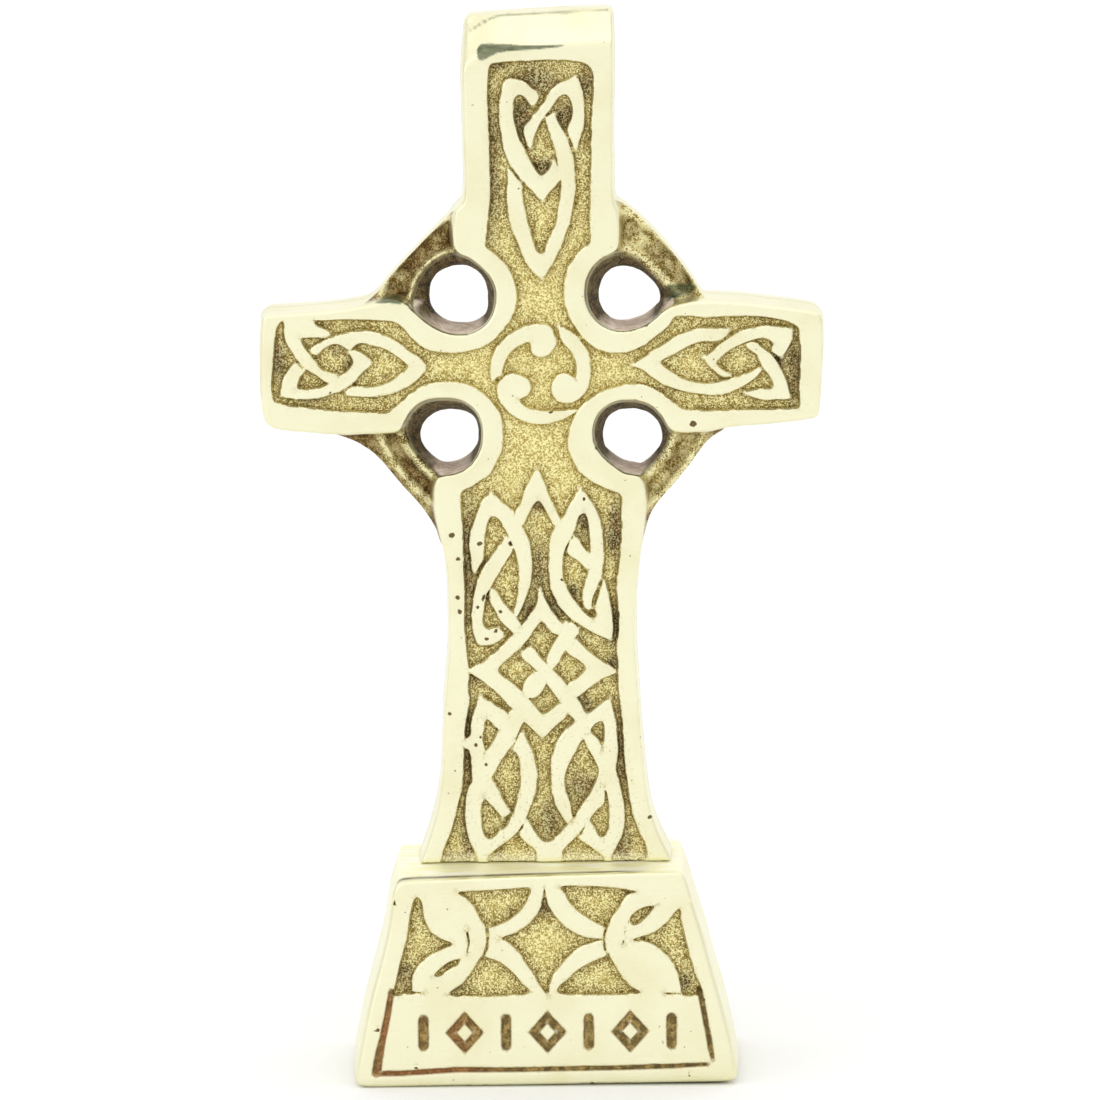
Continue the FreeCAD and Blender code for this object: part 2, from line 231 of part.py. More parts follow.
# Sunk patches of the pedestal's sloping face, in (x, distance up the slope from the foot).
PEDESTAL_GROUND = [
    [
        [(12.21, 11.88), (11.71, 11.72), (10.46, 11.64), (4.61, 11.56), (2.79, 11.64), (1.66, 11.81), (1.20, 12.11),
         (1.27, 12.52), (1.66, 13.00), (3.88, 14.97), (5.72, 16.01), (7.74, 16.80), (7.37, 17.66), (7.26, 18.69),
         (7.20, 18.77), (4.71, 18.01), (3.81, 17.49), (3.14, 16.92), (2.08, 15.82), (0.96, 14.36), (0.61, 13.62),
         (0.22, 11.91), (0.11, 11.71), (-0.06, 11.70), (-0.35, 11.94), (-1.09, 12.98), (-2.09, 14.68),
         (-3.74, 17.21), (-4.79, 18.27), (-5.84, 18.97), (-5.95, 19.09), (-5.95, 19.24), (-5.75, 19.41),
         (-4.31, 19.93), (-3.55, 20.31), (-2.61, 20.95), (-1.90, 21.61), (-1.25, 22.52), (-0.79, 23.48),
         (-0.42, 25.42), (-0.24, 25.90), (-0.12, 25.73), (0.18, 23.98), (0.45, 23.21), (1.01, 22.32), (2.15, 21.00),
         (3.17, 20.23), (4.74, 19.41), (5.70, 19.18), (6.87, 19.07), (7.22, 19.10), (7.49, 20.45), (4.94, 21.95),
         (3.69, 22.97), (2.85, 23.95), (2.34, 24.85), (1.75, 25.64), (1.75, 25.86), (2.30, 26.06), (2.98, 26.08),
         (6.84, 25.96), (9.68, 25.67), (11.64, 25.29), (11.81, 25.18), (11.79, 25.07), (10.83, 24.73),
         (10.49, 24.48), (8.64, 21.84), (8.01, 20.58), (7.67, 19.08), (7.82, 17.72), (8.33, 16.53), (8.68, 16.05),
         (9.42, 14.66), (10.80, 12.93), (11.26, 12.58), (12.06, 12.16), (12.23, 12.01)],
    ],
    [
        [(-2.05, 25.77), (-1.93, 25.50), (-2.04, 25.00), (-2.69, 23.67), (-3.39, 22.72), (-4.73, 21.61),
         (-5.45, 21.20), (-6.48, 20.80), (-7.59, 20.52), (-7.41, 19.69), (-7.54, 18.11), (-7.97, 16.85),
         (-6.50, 16.34), (-5.27, 15.52), (-4.25, 14.57), (-3.15, 13.26), (-2.25, 12.54), (-2.04, 12.27),
         (-2.10, 12.00), (-2.58, 11.78), (-3.78, 11.66), (-7.70, 11.47), (-11.37, 11.51), (-12.52, 11.61),
         (-12.93, 11.79), (-12.87, 12.12), (-11.11, 13.37), (-9.73, 15.09), (-8.98, 16.40), (-8.71, 16.77),
         (-8.47, 16.94), (-8.01, 18.38), (-7.92, 19.67), (-8.24, 20.94), (-9.37, 23.07), (-9.82, 23.74),
         (-10.49, 24.40), (-11.50, 25.05), (-11.61, 25.19), (-11.59, 25.30), (-10.76, 25.48), (-8.61, 25.51),
         (-2.85, 25.89), (-2.33, 25.88)],
    ],
    [
        [(-16.91, 24.77), (-16.52, 24.59), (-16.24, 24.14), (-15.75, 21.59), (-15.52, 20.95), (-15.18, 20.37),
         (-14.77, 19.94), (-14.10, 19.46), (-13.54, 19.14), (-12.45, 18.71), (-12.23, 18.57), (-12.16, 18.44),
         (-12.35, 18.26), (-13.24, 17.92), (-15.54, 16.71), (-16.47, 15.87), (-17.14, 15.00), (-17.44, 14.13),
         (-17.55, 12.84), (-17.67, 12.36), (-16.32, 12.26), (-16.14, 12.11), (-16.20, 11.89), (-16.33, 11.84),
         (-18.57, 11.89), (-19.89, 11.68), (-20.18, 11.81), (-20.22, 12.16), (-19.87, 13.23), (-19.23, 16.03),
         (-18.34, 19.30), (-17.90, 22.17), (-17.51, 23.82), (-17.24, 24.48)],
    ],
    [
        [(14.14, 23.28), (14.13, 23.13), (13.88, 22.76), (12.43, 21.18), (11.60, 20.72), (11.25, 20.70),
         (11.04, 20.84), (10.85, 21.13), (10.83, 21.74), (11.13, 22.20), (11.48, 22.51), (12.10, 22.91),
         (12.81, 23.20), (13.73, 23.38)],
    ],
    [
        [(17.35, 22.96), (17.48, 22.87), (17.54, 22.71), (17.66, 21.44), (17.94, 20.08), (19.19, 15.12),
         (20.32, 12.07), (20.25, 11.70), (20.01, 11.52), (19.60, 11.39), (19.01, 11.33), (18.12, 11.36),
         (17.73, 11.41), (17.42, 11.55), (15.86, 11.57), (15.38, 11.65), (15.35, 11.83), (15.49, 11.92),
         (17.32, 11.89), (17.43, 11.94), (17.41, 12.49), (17.09, 13.98), (16.89, 14.62), (16.45, 15.50),
         (15.47, 16.84), (14.84, 17.45), (13.95, 18.10), (13.19, 18.44), (11.48, 18.66), (11.09, 18.80),
         (11.28, 18.99), (13.55, 19.72), (14.42, 20.16), (15.81, 21.37), (17.09, 22.85)],
    ],
    [
        [(9.95, 18.31), (9.84, 18.47), (10.02, 19.84), (10.52, 21.04), (10.72, 21.19), (10.84, 21.13),
         (10.83, 21.04), (10.30, 19.77), (10.12, 18.44)],
    ],
    [
        [(-10.38, 17.15), (-10.54, 17.33), (-10.34, 18.62), (-10.56, 20.05), (-10.52, 20.18), (-10.39, 20.25),
         (-10.20, 20.06), (-9.97, 18.64), (-10.19, 17.31)],
    ],
    [
        [(-11.23, 16.53), (-11.27, 16.22), (-11.46, 15.85), (-11.92, 15.45), (-14.04, 14.20), (-14.54, 14.16),
         (-14.78, 14.28), (-14.75, 14.52), (-14.41, 14.94), (-13.04, 16.05), (-12.02, 16.51), (-11.50, 16.61)],
    ],
]
# Incised frame line round the plain plate, same coordinates.
PEDESTAL_FRAME = [
    [
        [(21.60, 2.76), (21.45, 2.81), (21.35, 2.96), (21.04, 3.97), (19.58, 12.12), (19.62, 12.36), (19.86, 12.52),
         (20.08, 12.47), (20.23, 12.27), (20.72, 9.68), (21.68, 3.97), (21.78, 2.96)],
    ],
    [
        [(21.13, 2.37), (20.95, 2.17), (15.48, 1.86), (9.23, 1.72), (-4.46, 1.58), (-11.55, 1.63), (-18.91, 1.20),
         (-21.92, 1.18), (-22.36, 1.03), (-22.77, 1.19), (-22.97, 1.62), (-22.54, 4.05), (-21.66, 7.44),
         (-20.68, 12.34), (-20.54, 12.57), (-20.32, 12.65), (-20.03, 12.51), (-19.95, 12.23), (-20.42, 9.36),
         (-21.41, 4.33), (-21.72, 2.09), (-21.67, 1.86), (-18.82, 1.88), (-12.13, 2.28), (-4.58, 2.18), (9.11, 2.32),
         (20.23, 2.59), (20.97, 2.57)],
    ],
]

# Half outline of the cross on its parting plane, (name, half width, height), from the head down to the foot.
OUTLINE = [
    ("head_top", 9.75, None), ("head_low", 9.85, 113.9), ("head_flare", 11.0, 111.6), ("head_end", 11.0, 109.2),
    ("upper_armpit", 11.55, 103.4), ("arm_neck_top", 17.3, 103.2), ("arm_bump", 18.8, 103.0),
    ("arm_root_top", 21.8, 102.8), ("arm_shoulder", 35.9, 101.2), ("arm_tip_top", 36.45, 100.5),
    ("arm_tip_low", 36.45, 87.3), ("arm_corner", 35.8, 86.7), ("arm_root_low", 25.8, 85.3),
    ("arm_neck_low", 18.2, 85.1), ("arm_neck_end", 17.3, 85.6), ("lower_armpit", 11.55, 84.9),
    ("yoke_inner", 11.0, 80.2), ("yoke_corner", 13.2, 79.8), ("yoke_side", 13.85, 78.9), ("shaft_a", 13.8, 73.9),
    ("shaft_b", 13.2, 71.2), ("shaft_c", 12.75, 68.6), ("shaft_d", 12.4, 66.0), ("shaft_e", 12.25, 63.3),
    ("shaft_f", 12.25, 58.0), ("shaft_g", 12.6, 52.8), ("shaft_k", 12.8, 50.1), ("shaft_n", 13.1, 44.8),
    ("shaft_p", 13.55, 39.5), ("shaft_q", 13.9, 36.8), ("shaft_u", 14.5, 34.1), ("shaft_v", 15.4, 31.5),
    ("foot_corner", 16.8, None),
]

SIZES = [
    ("overall_height", 140.0), ("cross_thick", 13.0),
    ("ground_depth", 0.9), ("top_bevel_rise", 3.3), ("top_bevel_run", 3.0),
    ("ring_level", 93.5), ("ring_radius", 23.1), ("ring_thick", 7.0), ("ring_groove_radius", 21.4),
    ("ring_groove_round", 1.0), ("opening_offset", 11.55), ("opening_level_top", 103.4), ("opening_level_low", 84.9),
    ("opening_waist", 3.75), ("opening_mouth", 5.1),
    ("deck_level", 28.4), ("deck_half_width", 19.4), ("deck_half_depth", 11.0), ("foot_half_width", 25.0),
    ("foot_half_depth", 13.5), ("side_bulge", 0.9), ("foot_level", 0.4),
    ("cavity_top", 19.4), ("cavity_half_width", 18.0), ("cavity_half_depth", 8.0),
    ("cavity_foot_half_width", 20.5), ("cavity_foot_half_depth", 9.2), ("deck_cut_half_length", 10.1),
    ("deck_cut_half_width", 4.1), ("deck_cut_floor", 23.4), ("pad_seat_half_width", 23.4),
    ("pad_seat_half_depth", 11.9), ("pad_seat_level", 1.2),
    ("peg_half_length", 10.0), ("peg_half_width", 4.0), ("peg_drop", 4.8),
    ("tap_radius", 2.5), ("tap_depth", 11.0), ("screw_pass_radius", 2.75),
    ("screw_radius", 2.44), ("screw_length", 14.6), ("screw_head_radius", 4.25), ("screw_head_high", 3.3),
    ("screw_slot_wide", 1.2), ("screw_slot_deep", 1.5),
    ("washer_radius", 5.0), ("washer_hole_radius", 2.65), ("washer_thick", 1.0),
    ("lock_radius", 4.6), ("lock_hole_radius", 2.6), ("lock_thick", 1.3), ("lock_gap", 0.8),
    ("pad_half_width", 23.3), ("pad_half_depth", 11.8), ("pad_thick", 1.2), ("pad_corner", 1.5),
    ("plate_mark_depth", 0.45), ("plate_mark_width", 1.3),
]

doc = FreeCAD.newDocument("altar_cross")
sheet = doc.addObject("Spreadsheet::Sheet", "sizes")
size = {}
row = 1
for name, value in SIZES:
    sheet.set("A%d" % row, name)
    sheet.set("B%d" % row, repr(value))
    sheet.setAlias("B%d" % row, name)
    size[name] = value
    row += 1
for name, half, level in OUTLINE:
    for key, value in ((name + "_half", half), (name + "_level", level)):
        if value is None:
            continue
        sheet.set("A%d" % row, key)
        sheet.set("B%d" % row, repr(value))
        sheet.setAlias("B%d" % row, key)
        size[key] = value
        row += 1
doc.recompute()


def q(name):
    """A size read back from the sheet."""
    return float(getattr(sheet, name))


def plane(body, role):
    for feature in body.Origin.OriginFeatures:
        if feature.Role == role:
            return feature
    raise ValueError(role)


def new_body(name):
    body = doc.addObject("PartDesign::Body", name)
    return body


def new_sketch(body, name, role, lift=None):
    sketch = body.newObject("Sketcher::SketchObject", name)
    sketch.AttachmentSupport = [(plane(body, role), "")]
    sketch.MapMode = "FlatFace"
    if lift:
        sketch.setExpression("AttachmentOffset.Base.z", lift)
    return sketch


def polygon(sketch, corners):
    """Closed run of lines; each corner is (x, y, x expression, y expression), signs kept outside the expressions."""
    n = len(corners)
    for i in range(n):
        a, b = corners[i], corners[(i + 1) % n]
        sketch.addGeometry(Part.LineSegment(V(a[0], a[1], 0), V(b[0], b[1], 0)), False)
    for i in range(n):
        sketch.addConstraint(Sketcher.Constraint("Coincident", i, 2, (i + 1) % n, 1))
    for i, (x, y, ex, ey) in enumerate(corners):
        for kind, value, expr in (("DistanceX", x, ex), ("DistanceY", y, ey)):
            if abs(value) < 1e-9:
                sketch.addConstraint(Sketcher.Constraint("PointOnObject", i, 1, -2 if kind == "DistanceX" else -1))
                continue
            if value > 0:
                c = Sketcher.Constraint(kind, -1, 1, i, 1, value)
            else:
                c = Sketcher.Constraint(kind, i, 1, -1, 1, -value)
            k = sketch.addConstraint(c)
            if expr:
                sketch.setExpression("Constraints[%d]" % k, expr)


def rectangle(sketch, half_x, half_y):
    hx, hy = q(half_x), q(half_y)
    ex, ey = "sizes." + half_x, "sizes." + half_y
    polygon(sketch, [(-hx, -hy, ex, ey), (hx, -hy, ex, ey), (hx, hy, ex, ey), (-hx, hy, ex, ey)])


def circle(sketch, x, y, radius, ex, ey, expr):
    g = sketch.addGeometry(Part.Circle(V(x, y, 0), V(0, 0, 1), radius), False)
    for kind, value, e in (("DistanceX", x, ex), ("DistanceY", y, ey)):
        if abs(value) < 1e-9:
            sketch.addConstraint(Sketcher.Constraint("PointOnObject", g, 3, -2 if kind == "DistanceX" else -1))
        else:
            k = sketch.addConstraint(Sketcher.Constraint(kind, -1, 1, g, 3, value))
            if e:
                sketch.setExpression("Constraints[%d]" % k, e)
    k = sketch.addConstraint(Sketcher.Constraint("Radius", g, radius))
    sketch.setExpression("Constraints[%d]" % k, expr)


def boolean(kind, name, base, tool):
    made = doc.addObject("Part::" + kind, name)
    made.Base = base
    made.Tool = tool
    return made


def fuse_all(name, shapes):
    made = doc.addObject("Part::MultiFuse", name)
    made.Shapes = shapes
    return made


def mirrored_through_parting_plane(name, source):
    made = doc.addObject("Part::Mirroring", name)
    made.Source = source
    made.Base = V(0, 0, 0)
    made.Normal = V(0, 1, 0)
    return made


def lathe_cylinder(name, radius, height):
    c = doc.addObject("Part::Cylinder", name)
    c.setExpression("Radius", radius)
    c.setExpression("Height", height)
    return c


def ground_solids(groups, to_space, depth_vector):
    """Prisms that sink the ground between the straps: loops lie on the face, swept along depth_vector."""
    solids = []
    for group in groups:
        wires = []
        for loop in group:
            pts = [to_space(a, b) for a, b in loop]
            wires.append(Part.makePolygon(pts + [pts[0]]))
        face = Part.Face(wires, "Part::FaceMakerBullseye") if len(wires) > 1 else Part.Face(wires[0])
        solids.append(face.extrude(depth_vector))
    return solids


# ---------------------------------------------------------------- cross casting
# Blank: the outline padded both ways from the parting plane.
blank_body = new_body("cross_blank")
blank_sketch = new_sketch(blank_body, "cross_outline", "XZ_Plane")
right = []
for name, half, level in OUTLINE:
    if name == "head_top":
        z, ez = q("overall_height"), "sizes.overall_height"
    elif name == "foot_corner":
        z, ez = q("deck_level"), "sizes.deck_level"
    else:
        z, ez = level, "sizes." + name + "_level"
    right.append((half, z, "sizes." + name + "_half", ez))
left = [(-x, z, ex, ez) for x, z, ex, ez in reversed(right)]
polygon(blank_sketch, right + left)
blank_pad = blank_body.newObject("PartDesign::Pad", "cross_pad")
blank_pad.Profile = blank_sketch
blank_pad.SideType = "Two sides"
blank_pad.setExpression("Length", "sizes.cross_thick / 2")
blank_pad.setExpression("Length2", "sizes.cross_thick / 2")
doc.recompute()

# Ring: a disc thinner than the arms, grooved on both faces.
ring = lathe_cylinder("ring_disc", "sizes.ring_radius", "sizes.ring_thick")
ring.Placement = FreeCAD.Placement(V(0, q("ring_thick") / 2, q("ring_level")), FreeCAD.Rotation(V(1, 0, 0), 90))
ring.setExpression("Placement.Base.y", "sizes.ring_thick / 2")
ring.setExpression("Placement.Base.z", "sizes.ring_level")
groove = doc.addObject("Part::Torus", "ring_groove")
groove.setExpression("Radius1", "sizes.ring_groove_radius")
groove.setExpression("Radius2", "sizes.ring_groove_round")
groove.Placement = FreeCAD.Placement(V(0, -3.9, 93.5), FreeCAD.Rotation(V(1, 0, 0), 90))
groove.setExpression("Placement.Base.y", "-sizes.ring_thick / 2 - 0.4")
groove.setExpression("Placement.Base.z", "sizes.ring_level")
groove_back = mirrored_through_parting_plane("ring_groove_back", groove)
grooves = fuse_all("ring_grooves", [groove, groove_back])
ring_cut = boolean("Cut", "ring_grooved", ring, grooves)

# Peg under the foot, with its tapped hole.
peg = doc.addObject("Part::Box", "foot_peg")
peg.setExpression("Length", "2 * sizes.peg_half_length")
peg.setExpression("Width", "2 * sizes.peg_half_width")
peg.setExpression("Height", "sizes.peg_drop + 1")
peg.Placement = FreeCAD.Placement(V(-10, -4, 20), FreeCAD.Rotation())
peg.setExpression("Placement.Base.x", "-sizes.peg_half_length")
peg.setExpression("Placement.Base.y", "-sizes.peg_half_width")
peg.setExpression("Placement.Base.z", "sizes.deck_level - sizes.peg_drop")
tap = lathe_cylinder("tapped_hole", "sizes.tap_radius", "sizes.tap_depth")
tap.Placement = FreeCAD.Placement(V(0, 0, 20), FreeCAD.Rotation())
tap.setExpression("Placement.Base.z", "sizes.deck_level - sizes.peg_drop")

# Four openings of the ring: double cones, narrowest on the parting plane.
tools = [tap]
for label, sx, level in (("upper_left", -1, "opening_level_top"), ("upper_right", 1, "opening_level_top"),
                         ("lower_left", -1, "opening_level_low"), ("lower_right", 1, "opening_level_low")):
    for side, angle in (("front", 90), ("back", -90)):
        cone = doc.addObject("Part::Cone", "opening_%s_%s" % (label, side))
        cone.setExpression("Radius1", "sizes.opening_waist")
        cone.setExpression("Radius2", "sizes.opening_mouth")
        cone.setExpression("Height", "sizes.cross_thick / 2")
        cone.Placement = FreeCAD.Placement(V(sx * 11.55, 0, 90), FreeCAD.Rotation(V(1, 0, 0), angle))
        cone.setExpression("Placement.Base.x", ("-" if sx < 0 else "") + "sizes.opening_offset")
        cone.setExpression("Placement.Base.z", "sizes." + level)
        tools.append(cone)

# Bevel ground on the front and back of the head's top edge.
bevel = doc.addObject("Part::Feature", "top_bevel")
half_t, top = q("cross_thick") / 2, q("overall_height")
run, rise = q("top_bevel_run"), q("top_bevel_rise")
prism = Part.Face(Part.makePolygon([
    V(-12, -half_t - 1, top + 1), V(-12, -half_t + run, top + 1), V(-12, -half_t + run, top),
    V(-12, -half_t, top - rise), V(-12, -half_t - 1, top - rise), V(-12, -half_t - 1, top + 1)]))
bevel.Shape = prism.extrude(V(24, 0, 0))
bevel_back = mirrored_through_parting_plane("top_bevel_back", bevel)

# Sunk ground that leaves the interlace standing, front and back alike.
front_ground = doc.addObject("Part::Feature", "front_ground")
depth = q("ground_depth")
front_ground.Shape = Part.makeCompound(ground_solids(
    CROSS_GROUND, lambda a, b: V(a, -half_t - 0.2, b), V(0, depth + 0.2, 0)))
back_ground = mirrored_through_parting_plane("back_ground", front_ground)
tools += [bevel, bevel_back, front_ground, back_ground]

solid_parts = fuse_all("cross_solid", [blank_body, ring_cut, peg])
cutters = fuse_all("cross_cutters", tools)
cross = boolean("Cut", "cross_casting", solid_parts, cutters)
cross.Label = "cross_casting"

# ---------------------------------------------------------------- pedestal casting
ped = new_body("pedestal_blank")


def ring_of_six(sketch, half_w, half_d, bulge):
    hw, hd, bu = q(half_w), q(half_d), q(bulge)
    ew, ed, eb = "sizes." + half_w, "sizes." + half_d, "sizes.%s + sizes.%s" % (half_w, bulge)
    polygon(sketch, [(-hw, -hd, ew, ed), (hw, -hd, ew, ed), (hw + bu, 0, eb, None), (hw, hd, ew, ed),
                     (-hw, hd, ew, ed), (-hw - bu, 0, eb, None)])


foot_sketch = new_sketch(ped, "foot_outline", "XY_Plane", "sizes.foot_level")
ring_of_six(foot_sketch, "foot_half_width", "foot_half_depth", "side_bulge")
deck_sketch = new_sketch(ped, "deck_outline", "XY_Plane", "sizes.deck_level")
ring_of_six(deck_sketch, "deck_half_width", "deck_half_depth", "side_bulge")
doc.recompute()
loft = ped.newObject("PartDesign::AdditiveLoft", "pedestal_loft")
loft.Profile = foot_sketch
loft.Sections = [deck_sketch]
loft.Ruled = True
doc.recompute()
cav_low = new_sketch(ped, "cavity_mouth", "XY_Plane", "sizes.foot_level")
rectangle(cav_low, "cavity_foot_half_width", "cavity_foot_half_depth")
cav_top = new_sketch(ped, "cavity_roof", "XY_Plane", "sizes.cavity_top")
rectangle(cav_top, "cavity_half_width", "cavity_half_depth")
doc.recompute()
before = ped.Shape.Volume
cavity = ped.newObject("PartDesign::SubtractiveLoft", "core_cavity")
cavity.Profile = cav_low
cavity.Sections = [cav_top]
cavity.Ruled = True
doc.recompute()
assert ped.Shape.Volume < before - 1000, "the core cavity cut nothing"
before = ped.Shape.Volume
mort_sketch = new_sketch(ped, "deck_cut_outline", "XY_Plane", "sizes.deck_level")
rectangle(mort_sketch, "deck_cut_half_length", "deck_cut_half_width")
mort = ped.newObject("PartDesign::Pocket", "deck_cut")
mort.Profile = mort_sketch
mort.setExpression("Length", "sizes.deck_level - sizes.deck_cut_floor")
doc.recompute()
assert ped.Shape.Volume < before - 100, "the deck cut removed nothing"
before = ped.Shape.Volume
seat_sketch = new_sketch(ped, "pad_seat_outline", "XY_Plane", "sizes.pad_seat_level")
rectangle(seat_sketch, "pad_seat_half_width", "pad_seat_half_depth")
seat = ped.newObject("PartDesign::Pocket", "pad_seat")
seat.Profile = seat_sketch
seat.setExpression("Length", "sizes.pad_seat_level")
doc.recompute()
assert ped.Shape.Volume < before - 50, "the pad seat removed nothing"
before = ped.Shape.Volume
pass_sketch = new_sketch(ped, "screw_pass_outline", "XY_Plane", "sizes.deck_cut_floor")
circle(pass_sketch, 0, 0, q("screw_pass_radius"), None, None, "sizes.screw_pass_radius")
screw_pass = ped.newObject("PartDesign::Pocket", "screw_pass")
screw_pass.Profile = pass_sketch
screw_pass.setExpression("Length", "sizes.deck_cut_floor - sizes.cavity_top + 1")
doc.recompute()
assert ped.Shape.Volume < before - 50, "the screw hole removed nothing"

# Sunk patches, frame line and plate ornament on the sloping front; back alike.
foot_y, deck_y = -q("foot_half_depth"), -q("deck_half_depth")
foot_z, deck_z = q("foot_level"), q("deck_level")
slope = V(0, deck_y - foot_y, deck_z - foot_z)
slope.normalize()
inward = V(0, slope.z, -slope.y)
base_point = V(0, foot_y, foot_z)


def on_slope(a, b, lift=0.2):
    return base_point + V(a, 0, 0) + slope * b - inward * lift


marks = ground_solids(PEDESTAL_GROUND, on_slope, inward * (q("ground_depth") + 0.2))
marks += ground_solids(PEDESTAL_FRAME, on_slope, inward * (q("plate_mark_depth") + 0.2))
# Plain incised ornament on the plate: upright bars with open lozenges between them.
mark_w = q("plate_mark_width")
mark_cut = inward * (q("plate_mark_depth") + 0.2)


def slope_wire(corners):
    pts = [on_slope(a, b) for a, b in corners]
    return Part.makePolygon(pts + [pts[0]])


def lozenge(cx, cb, half_a, half_b):
    return slope_wire([(cx - half_a, cb), (cx, cb - half_b), (cx + half_a, cb), (cx, cb + half_b)])


mark_level, mark_pitch = 6.8, 5.4
for i in range(7):
    cx = mark_pitch * (i - 3)
    if i % 2 == 0:
        face = Part.Face(slope_wire([(cx - mark_w / 2, mark_level - 2.4), (cx + mark_w / 2, mark_level - 2.4),
                                     (cx + mark_w / 2, mark_level + 2.4), (cx - mark_w / 2, mark_level + 2.4)]))
    else:
        outer, inner = lozenge(cx, mark_level, 2.5, 2.8), lozenge(cx, mark_level, 1.05, 1.15)
        face = Part.Face([outer, inner], "Part::FaceMakerBullseye")
    marks.append(face.extrude(mark_cut))
ped_marks = doc.addObject("Part::Feature", "pedestal_marks")
ped_marks.Shape = Part.makeCompound(marks)
ped_marks_back = mirrored_through_parting_plane("pedestal_marks_back", ped_marks)
ped_cutters = fuse_all("pedestal_cutters", [ped_marks, ped_marks_back])
pedestal = boolean("Cut", "pedestal_casting", ped, ped_cutters)
pedestal.Label = "pedestal_casting"

# ---------------------------------------------------------------- fixing screw, washers, felt
screw = new_body("fixing_screw")
head_sketch = new_sketch(screw, "screw_head_outline", "XY_Plane")
circle(head_sketch, 0, 0, q("screw_head_radius"), None, None, "sizes.screw_head_radius")
head_pad = screw.newObject("PartDesign::Pad", "screw_head")
head_pad.Profile = head_sketch
head_pad.setExpression("Length", "sizes.screw_head_high")
shank_sketch = new_sketch(screw, "screw_shank_outline", "XY_Plane", "sizes.screw_head_high")
circle(shank_sketch, 0, 0, q("screw_radius"), None, None, "sizes.screw_radius")
shank_pad = screw.newObject("PartDesign::Pad", "screw_shank")
shank_pad.Profile = shank_sketch
shank_pad.setExpression("Length", "sizes.screw_length")
doc.recompute()
before = screw.Shape.Volume
slot_sketch = new_sketch(screw, "screw_slot_outline", "XY_Plane")
sr, sw = q("screw_head_radius") + 1, q("screw_slot_wide") / 2
polygon(slot_sketch, [(-sr, -sw, "sizes.screw_head_radius + 1", "sizes.screw_slot_wide / 2"),
                      (sr, -sw, "sizes.screw_head_radius + 1", "sizes.screw_slot_wide / 2"),
                      (sr, sw, "sizes.screw_head_radius + 1", "sizes.screw_slot_wide / 2"),
                      (-sr, sw, "sizes.screw_head_radius + 1", "sizes.screw_slot_wide / 2")])
slot = screw.newObject("PartDesign::Pocket", "screw_slot")
slot.Profile = slot_sketch
slot.Reversed = True
slot.setExpression("Length", "sizes.screw_slot_deep")
doc.recompute()
assert screw.Shape.Volume < before - 5, "the screw slot removed nothing"
head_low = "sizes.cavity_top - sizes.washer_thick - sizes.lock_thick - sizes.screw_head_high"
screw.setExpression("Placement.Base.z", head_low)
screw.Label = "fixing_screw"

washer = new_body("plain_washer")
w_sketch = new_sketch(washer, "washer_outline", "XY_Plane")
circle(w_sketch, 0, 0, q("washer_radius"), None, None, "sizes.washer_radius")
circle(w_sketch, 0, 0, q("washer_hole_radius"), None, None, "sizes.washer_hole_radius")
w_pad = washer.newObject("PartDesign::Pad", "washer_pad")
w_pad.Profile = w_sketch
w_pad.setExpression("Length", "sizes.washer_thick")
washer.setExpression("Placement.Base.z", "sizes.cavity_top - sizes.washer_thick")
washer.Label = "plain_washer"

lock_disc = lathe_cylinder("lock_disc", "sizes.lock_radius", "sizes.lock_thick")
lock_bore = lathe_cylinder("lock_bore", "sizes.lock_hole_radius", "sizes.lock_thick")
lock_split = doc.addObject("Part::Box", "lock_split")
lock_split.setExpression("Length", "sizes.lock_radius + 1")
lock_split.setExpression("Width", "sizes.lock_gap")
lock_split.setExpression("Height", "sizes.lock_thick")
lock_split.setExpression("Placement.Base.y", "-sizes.lock_gap / 2")
lock_tools = fuse_all("lock_tools", [lock_bore, lock_split])
lock = boolean("Cut", "lock_washer", lock_disc, lock_tools)
lock.setExpression("Placement.Base.z", "sizes.cavity_top - sizes.washer_thick - sizes.lock_thick")
lock.Label = "lock_washer"

felt = new_body("felt_pad")
f_sketch = new_sketch(felt, "felt_outline", "XY_Plane")
rectangle(f_sketch, "pad_half_width", "pad_half_depth")
f_pad = felt.newObject("PartDesign::Pad", "felt_sheet")
f_pad.Profile = f_sketch
f_pad.setExpression("Length", "sizes.pad_thick")
doc.recompute()
f_edges = []
for i, e in enumerate(f_pad.Shape.Edges):
    a, b = e.Vertexes[0].Point, e.Vertexes[-1].Point
    if abs(a.x - b.x) < 1e-6 and abs(a.y - b.y) < 1e-6:
        f_edges.append("Edge%d" % (i + 1))
f_round = felt.newObject("PartDesign::Fillet", "felt_corners")
f_round.Base = (f_pad, f_edges)
f_round.setExpression("Radius", "sizes.pad_corner")
felt.Label = "felt_pad"
doc.recompute()

# ---------------------------------------------------------------- checks and export
NODES = [cross, pedestal, screw, washer, lock, felt]
for obj in doc.Objects:
    bad = [s for s in obj.State if s in ("Invalid", "Error")]
    if bad:
        raise RuntimeError("%s is %s" % (obj.Name, bad))
for obj in NODES:
    shape = obj.Shape
    if shape.isNull() or not shape.isValid():
        raise RuntimeError("%s has no valid shape" % obj.Label)
    b = shape.BoundBox
    print("%-18s solids %d  volume %.1f  x %.2f..%.2f  y %.2f..%.2f  z %.2f..%.2f" % (
        obj.Label, len(shape.Solids), shape.Volume, b.XMin, b.XMax, b.YMin, b.YMax, b.ZMin, b.ZMax))
for i, a in enumerate(NODES):
    for b in NODES[i + 1:]:
        common = a.Shape.common(b.Shape)
        if not common.isNull() and common.Volume > 1e-6:
            print("overlap %s %s %.4f" % (a.Label, b.Label, common.Volume))
os.makedirs("parts", exist_ok=True)
for obj in NODES:
    obj.Shape.exportStep("parts/%s.step" % obj.Label)
